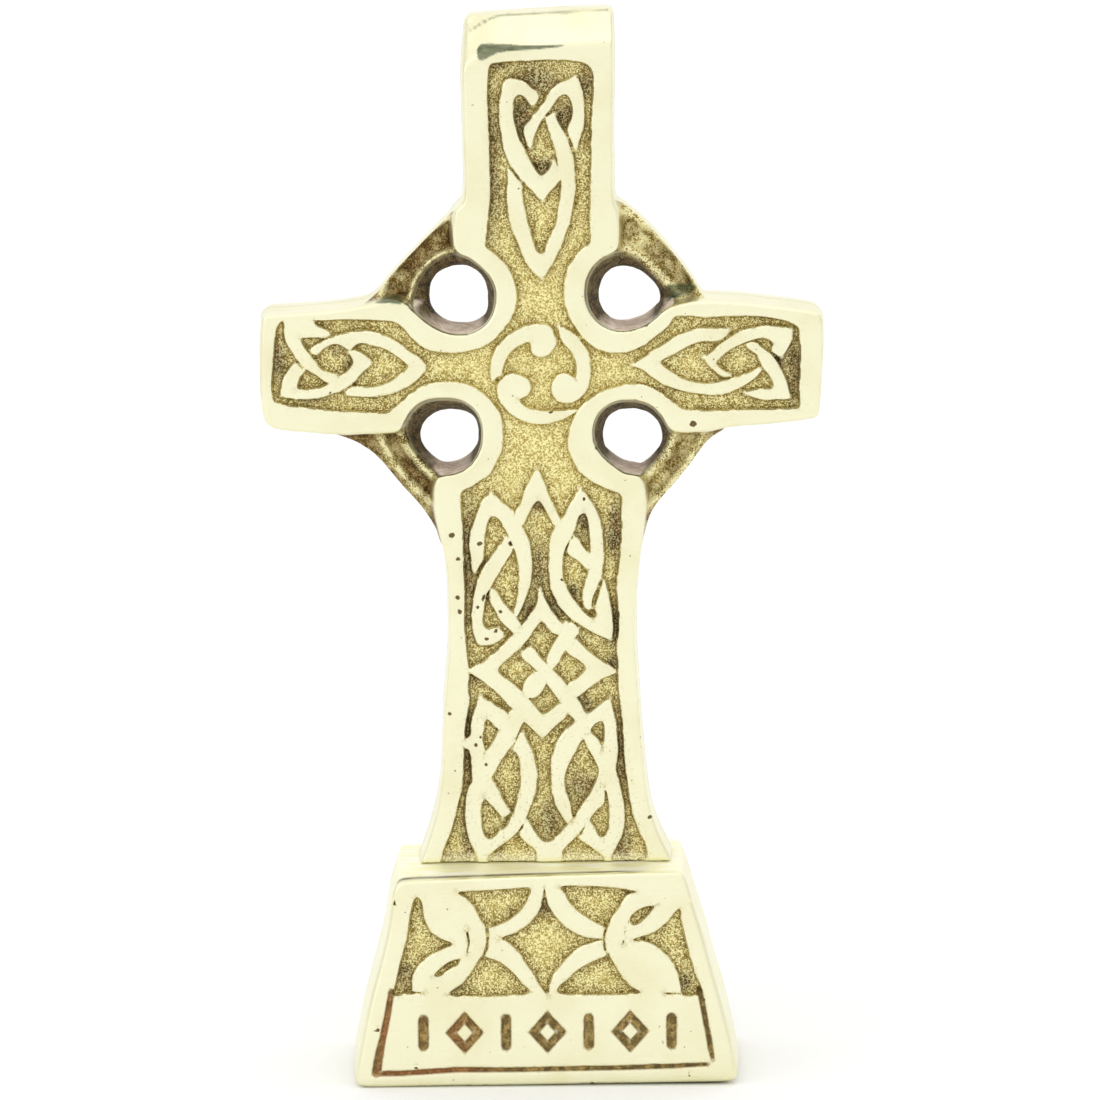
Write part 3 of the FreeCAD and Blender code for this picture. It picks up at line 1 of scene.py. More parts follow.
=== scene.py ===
import bpy
import math
import numpy as np
from mathutils import Vector, Matrix, geometry
from mathutils.kdtree import KDTree


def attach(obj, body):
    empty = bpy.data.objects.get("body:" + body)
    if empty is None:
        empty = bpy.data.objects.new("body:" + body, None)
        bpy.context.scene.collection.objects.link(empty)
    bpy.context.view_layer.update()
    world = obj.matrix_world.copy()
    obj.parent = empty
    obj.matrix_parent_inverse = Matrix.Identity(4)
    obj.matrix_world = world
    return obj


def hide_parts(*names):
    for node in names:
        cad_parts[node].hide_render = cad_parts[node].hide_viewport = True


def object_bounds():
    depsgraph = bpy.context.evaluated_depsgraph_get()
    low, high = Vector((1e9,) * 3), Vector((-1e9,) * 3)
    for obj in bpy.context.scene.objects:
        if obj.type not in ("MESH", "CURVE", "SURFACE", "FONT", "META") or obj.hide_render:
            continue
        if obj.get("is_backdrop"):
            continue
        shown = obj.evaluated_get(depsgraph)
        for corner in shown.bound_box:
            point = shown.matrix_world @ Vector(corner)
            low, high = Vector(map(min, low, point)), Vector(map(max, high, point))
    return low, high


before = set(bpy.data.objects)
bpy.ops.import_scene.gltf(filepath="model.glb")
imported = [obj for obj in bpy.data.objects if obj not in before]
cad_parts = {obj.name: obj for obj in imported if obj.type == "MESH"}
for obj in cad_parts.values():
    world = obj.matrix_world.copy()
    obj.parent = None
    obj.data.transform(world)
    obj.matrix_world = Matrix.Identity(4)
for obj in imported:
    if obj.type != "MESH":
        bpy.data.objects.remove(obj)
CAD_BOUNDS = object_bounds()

MM = 0.001
rng = np.random.default_rng(7)

# Loops in millimetres. CROSS loops are (x, z) on the cross's front; PED loops are (x, distance up the sloping face).
CROSS_GROUND = [
    [
     (12.34,28.07),(11.74,28),(11.11,27.95),(10.56,27.96),(10.37,27.94),(9.78,27.94),(9.6,27.92),(8.95,27.93),(8.64,27.91),(8.56,27.93),(8.53,27.99),
     (8.49,28.81),(8.59,29.37),(8.7,29.64),(8.98,30.08),(9.36,30.81),(9.72,31.54),(9.83,31.81),(9.99,32.34),(10.19,33.18),(10.27,34.05),(10.27,34.43),
     (10.21,35.48),(10.13,36.39),(9.98,37.39),(9.77,38.39),(9.52,39.46),(9.37,39.97),(9.18,40.81),(9.16,41.15),(9.19,41.46),(9.26,41.88),(9.4,42.45),
     (9.5,43.18),(9.48,43.98),(9.45,44.27),(9.34,45.64),(9.2,46.84),(8.99,48.15),(8.76,49.21),(8.69,49.67),(8.63,49.9),(8.54,50.05),(8.43,50.1),
     (8.34,50.11),(8.15,50.03),(7.8,49.8),(6.68,48.89),(5.87,48.26),(5.67,48.17),(5.48,48.17),(5.41,48.19),(5.31,48.27),(5.19,48.42),(4.97,48.8),
     (4.64,49.45),(4.45,49.76),(4.09,50.27),(4.01,50.42),(4.02,50.45),(4.15,50.45),(4.3,50.49),(4.54,50.6),(5.01,50.99),(5.39,51.35),(5.9,51.73),
     (6.47,52.19),(7.34,52.81),(7.62,52.95),(8.08,53.13),(8.58,53.29),(9.06,53.49),(9.13,53.53),(9.18,53.58),(9.22,53.69),(9.22,53.76),(9.11,53.96),
     (8.85,54.2),(8.09,54.73),(7.42,55.16),(6.64,55.73),(5.7,56.49),(5.29,56.87),(4.61,57.68),(4.35,57.9),(4.17,57.97),(4.06,57.98),(3.84,57.93),
     (3.62,57.79),(3.58,57.8),(3.82,58.15),(4.26,58.63),(4.48,58.94),(4.54,59.07),(4.57,59.24),(4.55,59.33),(4.47,59.47),(4.18,59.78),(3.62,60.16),
     (3.25,60.29),(3.03,60.31),(2.88,60.24),(2.75,60.14),(2.62,59.97),(2.38,59.51),(2.33,59.46),(2.37,59.88),(2.29,60.1),(2.06,60.41),(1.79,60.7),
     (1.48,61.07),(1,61.81),(0.47,62.76),(-0.3,64.35),(-0.42,64.51),(-0.47,64.52),(-0.53,64.49),(-0.61,64.33),(-0.65,64.13),(-0.71,63.58),(-0.82,63.03),
     (-0.87,62.84),(-0.96,62.62),(-1.14,62.26),(-1.79,61.26),(-2.6,60.19),(-2.86,59.88),(-2.96,59.81),(-3.01,59.84),(-3.22,60.26),(-3.38,60.48),
     (-3.47,60.66),(-3.65,60.88),(-3.75,61.06),(-3.98,61.3),(-4.25,61.64),(-4.45,61.85),(-5.23,62.85),(-5.52,63.32),(-5.93,64.11),(-6.1,64.4),
     (-6.21,64.53),(-6.4,64.73),(-6.54,64.83),(-6.62,64.87),(-6.69,64.88),(-6.75,64.85),(-6.86,64.71),(-6.94,64.41),(-6.99,64.06),(-6.99,63.66),
     (-6.97,63.42),(-6.91,63.2),(-6.63,62.6),(-5.9,61.25),(-5.54,60.63),(-5.34,60.36),(-5.09,60.05),(-4.22,59.27),(-4.1,59.11),(-3.88,58.9),(-3.86,58.83),
     (-4.77,57.83),(-5.12,57.48),(-6.38,56.38),(-6.8,56.04),(-7.34,55.55),(-7.83,55.19),(-8.22,54.92),(-9.07,54.53),(-9.5,54.28),(-9.62,54.17),
     (-9.68,54.06),(-9.68,53.99),(-9.61,53.81),(-9.41,53.61),(-9.15,53.43),(-8.44,53.01),(-8.18,52.83),(-7.29,52.12),(-6.53,51.47),(-6.19,51.14),
     (-5.61,50.54),(-5.25,50.12),(-5.01,49.9),(-4.72,49.57),(-4.1,48.95),(-3.98,48.81),(-3.98,48.77),(-4.17,48.76),(-4.3,48.72),(-4.37,48.67),
     (-4.55,48.47),(-4.75,48.11),(-4.81,48.04),(-5,48.31),(-5.39,48.66),(-7.01,49.75),(-7.73,50.16),(-8.07,50.31),(-8.29,50.35),(-8.44,50.32),(-8.57,50.2),
     (-8.68,49.98),(-9.05,48.81),(-9.32,47.82),(-9.51,47.01),(-9.61,45.79),(-9.71,45.41),(-9.77,45.28),(-9.86,45.15),(-10.04,45.02),(-10.17,44.97),
     (-10.46,44.9),(-10.54,44.9),(-10.58,44.93),(-10.54,46),(-10.47,46.64),(-10.33,47.45),(-10.2,48.07),(-9.94,49.62),(-9.93,50.39),(-10.03,51.28),
     (-10.02,52.03),(-9.97,52.8),(-9.92,53.11),(-9.89,53.97),(-9.91,54.3),(-10.14,56.31),(-10.17,56.77),(-10.28,57.77),(-10.36,58.67),(-10.42,59.64),
     (-10.41,60.23),(-10.43,60.5),(-10.4,60.92),(-10.39,61.8),(-10.37,62.02),(-10.34,64.48),(-10.36,64.7),(-10.36,65.25),(-10.41,66.57),(-10.46,67.36),
     (-10.46,68.17),(-10.47,68.35),(-10.47,69.09),(-10.49,69.29),(-10.49,71),(-10.53,71.46),(-10.54,72.27),(-10.58,72.78),(-10.59,73.63),(-10.63,74.09),
     (-10.64,74.77),(-10.72,75.62),(-10.74,76.15),(-10.78,76.46),(-10.77,76.87),(-10.74,77.16),(-10.71,77.38),(-10.57,77.66),(-10.49,77.75),(-10.19,77.99),
     (-10.04,78.07),(-9.75,78.14),(-9.4,78.28),(-7.92,79.28),(-7.42,79.58),(-6.96,79.94),(-6.64,80.36),(-6.36,80.92),(-6.22,81.14),(-5.78,82.03),
     (-5.67,82.33),(-5.58,82.53),(-5.42,83.07),(-5.3,83.55),(-5.24,83.92),(-5.16,84.79),(-5.17,85.58),(-5.21,86.12),(-5.33,86.95),(-5.49,87.56),
     (-5.62,87.92),(-5.74,88.17),(-6.08,88.68),(-6.35,89.03),(-6.63,89.35),(-7.7,90.42),(-8.04,90.7),(-8.56,91.05),(-8.77,91.17),(-9.07,91.3),
     (-9.87,91.61),(-10.62,91.8),(-10.9,91.84),(-11.44,91.89),(-11.83,91.9),(-12,91.92),(-12.75,91.93),(-13.51,91.89),(-14.07,91.8),(-14.63,91.67),
     (-15.39,91.39),(-15.89,91.13),(-16.52,90.75),(-17.16,90.3),(-17.61,89.92),(-18.05,89.45),(-18.35,89.15),(-18.75,88.9),(-19.27,88.6),(-19.48,88.44),
     (-19.68,88.13),(-19.77,88.04),(-19.9,87.97),(-20.31,87.93),(-21.41,87.93),(-21.58,87.96),(-21.95,87.96),(-24.15,88.17),(-26.22,88.19),(-26.44,88.22),
     (-27.21,88.23),(-27.71,88.29),(-27.95,88.3),(-29.22,88.5),(-29.45,88.51),(-30.57,88.71),(-32.66,88.93),(-33.44,89.1),(-34.06,89.28),(-34.55,89.45),
     (-34.7,89.58),(-34.8,89.72),(-34.9,89.94),(-34.98,90.22),(-35.04,90.61),(-35.06,90.89),(-35.06,92.37),(-35.04,92.53),(-35,93.42),(-34.92,94.2),
     (-34.89,94.78),(-34.65,96.87),(-34.53,98.23),(-34.48,98.49),(-34.29,99.21),(-34.05,99.69),(-33.88,99.92),(-33.61,100.14),(-33.42,100.24),
     (-33.37,100.25),(-33.33,100.2),(-33.22,99.87),(-33.18,99.69),(-33.16,99.48),(-33.18,98.07),(-33.04,97.5),(-32.92,97.24),(-32.72,96.89),(-32.02,95.78),
     (-31.58,95.12),(-31.14,94.53),(-30.71,94.07),(-30.41,93.87),(-30.07,93.72),(-29.24,93.15),(-28.68,92.72),(-28.34,92.42),(-28.11,92.24),(-27.93,92.16),
     (-27.72,92.13),(-27.42,92.12),(-27.11,92.17),(-27.09,92.15),(-27.21,92.06),(-27.73,91.76),(-28.27,91.47),(-28.68,91.32),(-29.36,91.15),(-29.93,91.08),
     (-30.86,91.09),(-31.23,91.12),(-31.55,91.19),(-31.66,91.26),(-31.72,91.33),(-31.76,91.45),(-31.77,91.56),(-31.73,91.73),(-31.61,92.06),(-31.43,92.62),
     (-31.33,92.86),(-31.18,93.08),(-30.76,93.41),(-30.7,93.51),(-30.69,93.57),(-30.73,93.66),(-30.8,93.73),(-31.1,93.88),(-31.34,94.05),(-31.67,94.5),
     (-31.76,94.57),(-31.87,94.61),(-32.04,94.55),(-32.2,94.44),(-32.76,93.7),(-33.09,93.18),(-33.29,92.77),(-33.51,92.16),(-33.65,91.56),(-33.83,90.93),
     (-33.85,90.78),(-33.85,90.62),(-33.76,90.45),(-33.66,90.35),(-33.18,90.2),(-31.78,90.01),(-31.48,89.98),(-30.77,89.97),(-30.27,89.97),(-29.45,90.06),
     (-28.89,90.14),(-28.44,90.25),(-27.77,90.43),(-26.81,90.75),(-25.75,91.2),(-25.14,91.55),(-24.64,91.93),(-24.18,92.31),(-23.43,93.22),(-22.95,93.69),
     (-22.25,94.19),(-22.13,94.33),(-22.08,94.5),(-22.12,94.72),(-22.26,94.98),(-22.48,95.25),(-22.93,95.62),(-23.44,95.96),(-23.76,96.1),(-24.09,96.16),
     (-24.45,96.16),(-24.79,96.06),(-24.85,96),(-24.87,95.91),(-24.82,95.78),(-24.62,95.54),(-24.47,95.28),(-24.36,94.97),(-24.31,94.8),(-24.31,94.63),
     (-24.34,94.45),(-24.39,94.37),(-24.57,94.08),(-24.67,93.96),(-25.17,93.44),(-25.92,92.88),(-26.38,92.57),(-26.68,92.39),(-26.72,92.37),(-26.75,92.39),
     (-26.59,92.65),(-26.52,92.89),(-26.54,92.99),(-26.61,93.07),(-26.84,93.17),(-27.14,93.22),(-27.7,93.34),(-28.15,93.53),(-28.58,93.77),(-28.76,93.95),
     (-28.91,94.14),(-29.13,94.5),(-29.77,95.39),(-29.86,95.54),(-30.23,95.95),(-30.52,96.34),(-30.83,96.81),(-30.92,96.99),(-31.12,97.51),(-31.18,97.73),
     (-31.15,97.86),(-31.08,97.96),(-30.8,98.03),(-30.31,98.03),(-30.11,98.01),(-29.23,98),(-29.06,97.98),(-28.56,97.97),(-28.13,97.99),(-27.87,98.05),
     (-27.55,98.16),(-27.39,98.26),(-27.27,98.36),(-27.26,98.45),(-27.32,98.54),(-27.65,98.78),(-28.09,99.02),(-28.72,99.27),(-28.99,99.42),(-29.17,99.55),
     (-29.36,99.77),(-29.46,99.97),(-29.48,100.16),(-29.45,100.25),(-29.41,100.29),(-29.35,100.29),(-28.98,100.23),(-27.97,100.22),(-27.8,100.24),
     (-27.43,100.24),(-26.81,100.3),(-26.44,100.3),(-25.77,100.33),(-23.49,100.31),(-23.3,100.29),(-22.63,100.28),(-21.06,100.16),(-20.59,100.16),
     (-20.13,100.11),(-19.73,100.11),(-19.17,100.01),(-18.76,99.84),(-18.52,99.72),(-18.31,99.57),(-17.93,99.27),(-17.75,99.08),(-17.12,98.33),
     (-16.55,97.71),(-16.02,97.16),(-15.61,96.83),(-15.41,96.7),(-15.09,96.54),(-14.56,96.3),(-13.94,96.1),(-13.61,96.03),(-13.27,95.99),(-12.93,95.93),
     (-12,95.88),(-10.94,95.87),(-10.01,95.99),(-9.41,96.1),(-8.35,96.38),(-7.62,96.65),(-7.23,96.85),(-6.75,97.13),(-6.42,97.35),(-6.23,97.52),
     (-5.22,98.54),(-4.83,99.01),(-4.18,99.94),(-3.65,100.95),(-3.44,101.45),(-3.3,102.03),(-3.2,102.66),(-3.17,103.05),(-3.21,103.61),(-3.3,104.19),
     (-3.44,104.78),(-3.56,105.22),(-3.81,105.91),(-4.02,106.35),(-4.24,106.69),(-4.62,107.19),(-4.89,107.52),(-5.81,108.44),(-6.52,109.03),(-7.02,109.33),
     (-7.15,109.55),(-7.21,109.85),(-7.21,110.11),(-7.03,111.36),(-6.99,111.84),(-6.88,112.91),(-6.77,113.65),(-6.55,115.39),(-6.48,116.57),(-6.47,116.9),
     (-6.49,117.07),(-6.49,117.89),(-6.54,119.16),(-6.53,120.28),(-6.54,120.45),(-6.55,121.76),(-6.57,121.95),(-6.56,123.22),(-6.6,124.02),(-6.65,124.68),
     (-6.67,125.33),(-6.7,125.71),(-6.74,126.96),(-6.75,127.11),(-6.75,127.49),(-6.77,127.66),(-6.76,129.06),(-6.71,129.76),(-6.7,130.64),(-6.59,132.1),
     (-6.52,132.55),(-6.41,132.89),(-6.3,133.1),(-6.15,133.22),(-5.97,133.27),(-5.74,133.3),(-5.44,133.3),(-5.14,133.37),(-4.95,133.38),(-4.6,133.44),
     (-3.77,133.48),(-3.28,133.53),(-1.56,133.6),(-0.73,133.6),(-0.58,133.62),(0.38,133.63),(0.55,133.65),(1.56,133.65),(2.93,133.63),(3.83,133.58),
     (4.96,133.43),(5.58,133.28),(5.79,133.21),(6.22,132.99),(6.48,132.8),(6.7,132.52),(6.88,132.11),(6.94,131.89),(7.03,131.38),(7.05,131.12),
     (7.06,130.2),(7.01,129.28),(6.85,127.31),(6.84,126.9),(6.8,126.19),(6.79,125.31),(6.77,125.12),(6.76,123.73),(6.73,123.53),(6.73,122.65),
     (6.71,122.48),(6.7,121.62),(6.67,121.43),(6.67,120.46),(6.64,120.27),(6.64,119.17),(6.61,118.98),(6.57,116.59),(6.53,115.86),(6.52,114.93),
     (6.5,114.72),(6.48,112.45),(6.51,111.83),(6.51,111.22),(6.53,111.03),(6.52,110.23),(6.45,109.95),(6.4,109.82),(6.33,109.73),(6.08,109.52),
     (5.56,109.2),(5.17,108.89),(4.62,108.28),(4.02,107.46),(3.71,106.91),(3.6,106.69),(3.43,106.22),(3.27,105.59),(3.16,104.98),(3.03,103.75),
     (3.03,103.02),(3.07,102.54),(3.14,102.15),(3.25,101.72),(3.46,101.02),(3.64,100.56),(4.12,99.56),(4.83,98.41),(5.19,97.93),(5.48,97.58),(5.88,97.17),
     (6.23,96.85),(6.45,96.68),(6.86,96.42),(7.16,96.25),(7.66,96.04),(8.15,95.9),(8.58,95.81),(9.03,95.74),(9.49,95.69),(10.35,95.68),(11,95.79),
     (11.84,96.01),(12.66,96.35),(13.39,96.76),(14.54,97.64),(14.78,97.84),(15.78,98.54),(16.53,99.25),(16.61,99.37),(16.71,99.56),(16.79,99.8),
     (16.91,100.04),(17,100.14),(17.12,100.24),(17.42,100.38),(17.77,100.45),(18,100.47),(18.67,100.46),(19.73,100.37),(20.8,100.21),(21.27,100.2),
     (22.31,100.26),(22.83,100.32),(23.58,100.31),(24.31,100.35),(25.3,100.34),(25.54,100.36),(26.77,100.35),(26.96,100.33),(27.5,100.32),(28.49,100.25),
     (29.2,100.15),(30.17,99.99),(31.72,99.64),(32.28,99.45),(32.66,99.27),(32.99,99.08),(33.15,98.92),(33.27,98.77),(33.35,98.57),(33.44,98.16),
     (33.51,97.57),(33.59,96.25),(33.59,94.42),(33.57,94.2),(33.57,93.44),(33.52,92.81),(33.52,92.16),(33.43,90.9),(33.43,89.97),(33.47,89.4),
     (33.47,88.66),(33.44,88.44),(33.4,88.31),(33.33,88.2),(33.22,88.12),(33.07,88.09),(32.4,88.07),(32.14,88.03),(31.77,88.01),(30.15,88),(29.94,87.98),
     (27.15,88.01),(26.94,87.99),(25.9,88),(25.1,87.94),(24.63,87.94),(23.85,87.89),(23.42,87.89),(22.71,87.85),(20.94,87.87),(19.99,87.94),(19.45,87.94),
     (19.02,88.01),(18.82,88.02),(18.26,88.16),(17.98,88.29),(17.7,88.45),(16.86,89.07),(15.62,90.08),(15.19,90.36),(14.71,90.66),(14.2,90.92),
     (13.36,91.27),(12.89,91.39),(12.5,91.44),(11.53,91.45),(10.82,91.39),(10.56,91.35),(9.87,91.17),(9.65,91.13),(8.81,90.89),(8.2,90.67),(7.53,90.36),
     (7.27,90.21),(7.01,90.09),(6.27,89.62),(5.59,89.08),(5.26,88.75),(4.55,87.87),(4.23,87.35),(4.01,86.9),(3.79,86.31),(3.54,85.31),(3.44,84.72),
     (3.39,83.96),(3.43,83.3),(3.65,82.43),(3.9,81.83),(4.2,81.22),(4.73,80.36),(4.98,80.06),(5.22,79.8),(5.5,79.56),(5.98,79.21),(6.79,78.67),
     (7.55,78.26),(8.07,78.02),(8.86,77.71),(9.25,77.59),(9.45,77.56),(9.75,77.46),(9.95,77.35),(10.2,77.15),(10.26,77.08),(10.37,76.86),(10.42,76.66),
     (10.42,76.36),(10.4,75.98),(10.28,75.02),(10.28,73.97),(10.34,73.14),(10.33,72.57),(10.28,71.74),(10.05,69.11),(9.95,68.25),(9.87,67.75),(9.84,67.31),
     (9.76,66.78),(9.59,65.31),(9.59,64.5),(9.62,63.82),(9.77,62.32),(9.84,61.77),(9.89,61.18),(9.86,60.06),(9.81,59.37),(9.71,58.47),(9.63,57.88),
     (9.58,57.24),(9.57,56.64),(9.63,55.47),(9.69,54.77),(9.67,51.92),(9.73,51.1),(9.86,50.26),(9.96,49.75),(10.08,48.76),(10.22,46.96),(10.24,46.28),
     (10.36,44.59),(10.38,43.75),(10.44,42.73),(10.66,40.13),(10.89,38.16),(11.08,36.91),(11.22,36.09),(11.35,35.51),(11.44,35.13),(11.71,34.19),
     (12.2,32.77),(12.38,32.33),(12.88,31.29),(13.17,30.58),(13.33,29.91),(13.38,29.57),(13.35,29.26),(13.3,29.04),(13.17,28.66),(13.08,28.48),
     (12.97,28.36),(12.89,28.3),(12.69,28.2),],
    [
     (-1.25,122.23),(-1.22,122.21),(-1.18,122.21),(-1.1,122.33),(-0.89,123.32),(-0.77,123.71),(-0.58,124.18),(-0.07,125.31),(0.28,125.91),(1.14,127.04),
     (1.63,127.78),(2.28,128.64),(2.43,128.78),(2.8,129.04),(3.08,129.17),(3.21,129.19),(3.36,129.19),(3.51,129.15),(3.64,129.06),(3.79,128.9),
     (3.91,128.73),(4.11,128.3),(4.27,127.72),(4.34,127.12),(4.34,126.86),(4.29,126.52),(4.12,125.83),(3.75,125.08),(3.68,124.76),(3.68,124.61),
     (3.71,124.4),(3.82,123.94),(4.12,123.17),(4.42,122.19),(4.48,122.04),(4.55,121.94),(4.59,121.92),(4.65,121.91),(4.71,121.96),(4.81,122.2),
     (5.09,123.45),(5.25,124.02),(5.31,124.17),(5.51,124.55),(5.58,124.81),(5.67,125.26),(5.75,126.05),(5.75,126.63),(5.71,127.06),(5.71,127.51),
     (5.63,128.35),(5.48,129.31),(5.3,130.09),(4.95,131.05),(4.88,131.21),(4.79,131.29),(4.68,131.34),(4.58,131.35),(4.38,131.31),(4.04,131.17),
     (3.78,131.03),(3.14,130.76),(2.75,130.56),(2.26,130.24),(1.76,129.85),(1.41,129.46),(1.02,128.7),(0.81,128.35),(-0.19,127.03),(-0.74,126.39),
     (-1.29,125.7),(-1.9,125.11),(-1.97,124.94),(-2,124.66),(-1.96,124.28),(-1.89,123.97),(-1.55,122.83),(-1.42,122.53),],
    [
     (-3.94,131.13),(-4.18,131.03),(-4.31,130.93),(-4.37,130.86),(-4.55,130.56),(-4.66,130.18),(-4.91,128.96),(-5,128.31),(-5.1,127.35),(-5.09,126.38),
     (-5.05,125.78),(-4.99,125.1),(-4.77,123.31),(-4.61,122.36),(-4.43,121.59),(-4.21,121.01),(-4.11,120.79),(-3.61,119.89),(-3.04,119.08),(-2.53,118.48),
     (-2.21,118.15),(-1.53,117.37),(-1.26,117.09),(-1.06,116.85),(-0.66,116.44),(-0.02,115.68),(0.14,115.56),(0.24,115.51),(0.35,115.5),(0.46,115.56),
     (0.66,115.84),(0.87,116.23),(1.04,116.44),(1.3,116.74),(2.13,117.63),(2.41,117.96),(2.59,118.13),(2.69,118.31),(2.71,118.31),(2.73,118.25),
     (2.77,118.02),(2.76,117.01),(2.68,116.21),(2.54,115.07),(2.32,113.63),(2.09,112.6),(1.97,112.21),(1.79,111.78),(1.18,110.56),(1.01,110.13),
     (0.77,109.46),(0.7,109.07),(0.64,108.87),(0.49,108.68),(0.31,108.54),(0.18,108.5),(-0.12,108.51),(-0.29,108.58),(-0.45,108.71),(-0.61,108.95),
     (-0.74,109.21),(-0.82,109.54),(-1.07,110.32),(-1.42,111.7),(-1.72,112.76),(-1.88,113.39),(-2.13,114.55),(-2.25,115.37),(-2.37,116.56),(-2.37,117.29),
     (-2.42,117.53),(-2.54,117.75),(-2.71,117.98),(-3.19,118.55),(-3.81,119.41),(-3.9,119.51),(-3.97,119.53),(-4.04,119.5),(-4.08,119.39),(-4.11,119.11),
     (-4.11,117.65),(-4.15,117.2),(-4.16,116.79),(-4.18,116.6),(-4.19,115.69),(-4.17,115.52),(-4.17,115.09),(-3.99,113.28),(-3.87,112.67),(-3.64,111.96),
     (-3.11,110.55),(-2.44,108.99),(-2.33,108.64),(-1.78,107.45),(-1.49,106.97),(-0.98,106.34),(-0.73,106.06),(-0.42,105.74),(-0.21,105.58),(0.03,105.47),
     (0.11,105.46),(0.31,105.54),(0.48,105.72),(0.76,106.17),(0.96,106.56),(1.63,107.61),(1.93,108.2),(2.46,109.38),(2.66,109.89),(2.78,110.13),
     (3.11,110.99),(3.21,111.29),(3.41,111.75),(3.7,112.52),(3.96,113.62),(4.22,114.93),(4.36,116),(4.43,116.87),(4.44,117.6),(4.46,117.86),(4.44,118.05),
     (4.43,119.3),(4.3,120.4),(4.16,121.24),(3.99,121.92),(3.68,122.92),(3.54,123.26),(3.06,124.26),(2.47,125.31),(1.94,126.43),(1.86,126.53),(1.75,126.6),
     (1.69,126.62),(1.58,126.6),(1.46,126.54),(1.22,126.38),(1,126.34),(0.9,126.29),(0.84,126.16),(0.86,125.84),(0.94,125.54),(1.41,124.16),(2.11,121.68),
     (2.33,120.61),(2.4,120.09),(2.66,118.84),(2.67,118.71),(2.65,118.69),(2.61,118.73),(2.39,119.23),(2.08,120.11),(1.92,120.42),(1.87,120.46),
     (1.81,120.49),(1.7,120.44),(1.6,120.31),(1.3,119.63),(1.2,119.44),(0.79,119),(0.38,118.71),(0.21,118.62),(0.1,118.62),(0.01,118.65),(-0.1,118.71),
     (-0.18,118.8),(-0.67,119.46),(-1.04,120.12),(-1.8,121.55),(-2.04,122.06),(-2.43,122.82),(-2.67,123.38),(-3.02,124.41),(-3.15,124.89),(-3.25,125.34),
     (-3.38,126.07),(-3.44,126.61),(-3.46,127.21),(-3.45,127.96),(-3.4,128.28),(-3.32,128.56),(-3.26,128.68),(-3.07,128.94),(-2.85,129.11),(-2.65,129.2),
     (-2.42,129.2),(-2.22,129.12),(-1.93,128.95),(-1.78,128.8),(-1.26,128.02),(-1.13,127.79),(-1.02,127.69),(-0.93,127.67),(-0.85,127.69),(-0.71,127.83),
     (-0.54,128.04),(-0.37,128.36),(-0.15,128.83),(-0.11,129.02),(-0.13,129.16),(-0.17,129.24),(-0.29,129.37),(-0.53,129.56),(-0.87,129.79),(-1.47,130.37),
     (-1.74,130.58),(-2.19,130.85),(-2.51,130.98),(-2.92,131.11),(-3.56,131.18),],
    [
     (-6.43,92.11),(-6.37,92.09),(-6.3,92.12),(-6.03,92.44),(-5.83,92.62),(-5.45,92.83),(-5.26,93),(-5.17,93.24),(-5.01,93.96),(-4.95,94.11),(-4.87,94.41),
     (-4.75,94.72),(-4.6,95.04),(-4.43,95.32),(-4.03,95.9),(-3.66,96.25),(-3.52,96.35),(-3.18,96.56),(-2.4,96.98),(-1.81,97.19),(-1.62,97.22),(-1.56,97.2),
     (-1.49,97.16),(-1.43,97.08),(-1.37,96.94),(-1.34,96.73),(-1.33,96.42),(-1.31,96.25),(-1.27,96.1),(-1.17,95.9),(-1.03,95.66),(-0.92,95.54),
     (-0.69,95.37),(-0.45,95.27),(-0.11,95.2),(0.21,95.23),(0.47,95.31),(0.69,95.41),(1.04,95.65),(1.21,95.86),(1.71,96.7),(1.87,97.02),(1.92,97.24),
     (1.89,97.39),(1.81,97.59),(1.55,98.07),(1.39,98.68),(1.28,98.89),(1.11,99.09),(0.92,99.22),(0.53,99.36),(-0.05,99.39),(-0.52,99.37),(-1,99.31),
     (-2.06,99.1),(-2.34,99.02),(-2.94,98.78),(-3.31,98.59),(-4.24,97.97),(-4.85,97.44),(-5.29,96.98),(-5.5,96.72),(-5.64,96.57),(-5.94,96.18),
     (-6.18,95.64),(-6.48,94.34),(-6.6,93.45),(-6.61,93.12),(-6.56,92.56),(-6.51,92.28),],
    [
     (32.4,98.25),(32.34,98.36),(32.25,98.45),(32.15,98.52),(31.97,98.58),(30.44,98.84),(29.65,98.9),(29.07,98.9),(28.03,98.77),(26.74,98.52),
     (26.16,98.36),(25.81,98.24),(25.16,97.95),(24.1,97.28),(23.54,96.86),(22.25,95.76),(21.79,95.44),(21.62,95.28),(21.18,95.01),(21.13,94.94),
     (21.08,94.86),(21.07,94.77),(21.08,94.68),(21.14,94.55),(21.43,94.16),(21.76,93.82),(22.39,93.27),(22.72,92.93),(23.07,92.66),(23.25,92.55),
     (23.61,92.42),(24.06,92.41),(24.41,92.46),(24.45,92.48),(24.47,92.52),(24.41,92.62),(24.2,92.77),(23.89,92.93),(23.55,93.14),(22.93,93.58),
     (22.64,93.87),(22.52,94.08),(22.51,94.19),(22.53,94.28),(22.61,94.47),(22.74,94.65),(22.88,94.82),(23.14,95.08),(23.58,95.44),(24.06,95.78),
     (24.75,96.18),(25.63,96.6),(26.3,96.88),(27.19,97.19),(27.51,97.27),(28.07,97.45),(28.35,97.49),(28.65,97.49),(28.95,97.44),(29.34,97.3),
     (29.75,97.02),(29.93,96.84),(30.05,96.67),(30.08,96.56),(30.01,96.32),(29.75,95.89),(29.74,95.78),(29.77,95.67),(29.87,95.57),(30.3,95.33),
     (30.78,94.97),(30.91,94.92),(31.04,94.92),(31.12,94.97),(31.18,95.03),(31.77,95.96),(31.96,96.3),(32.12,96.67),(32.26,97.06),(32.41,97.77),
     (32.43,98.08),],
    [
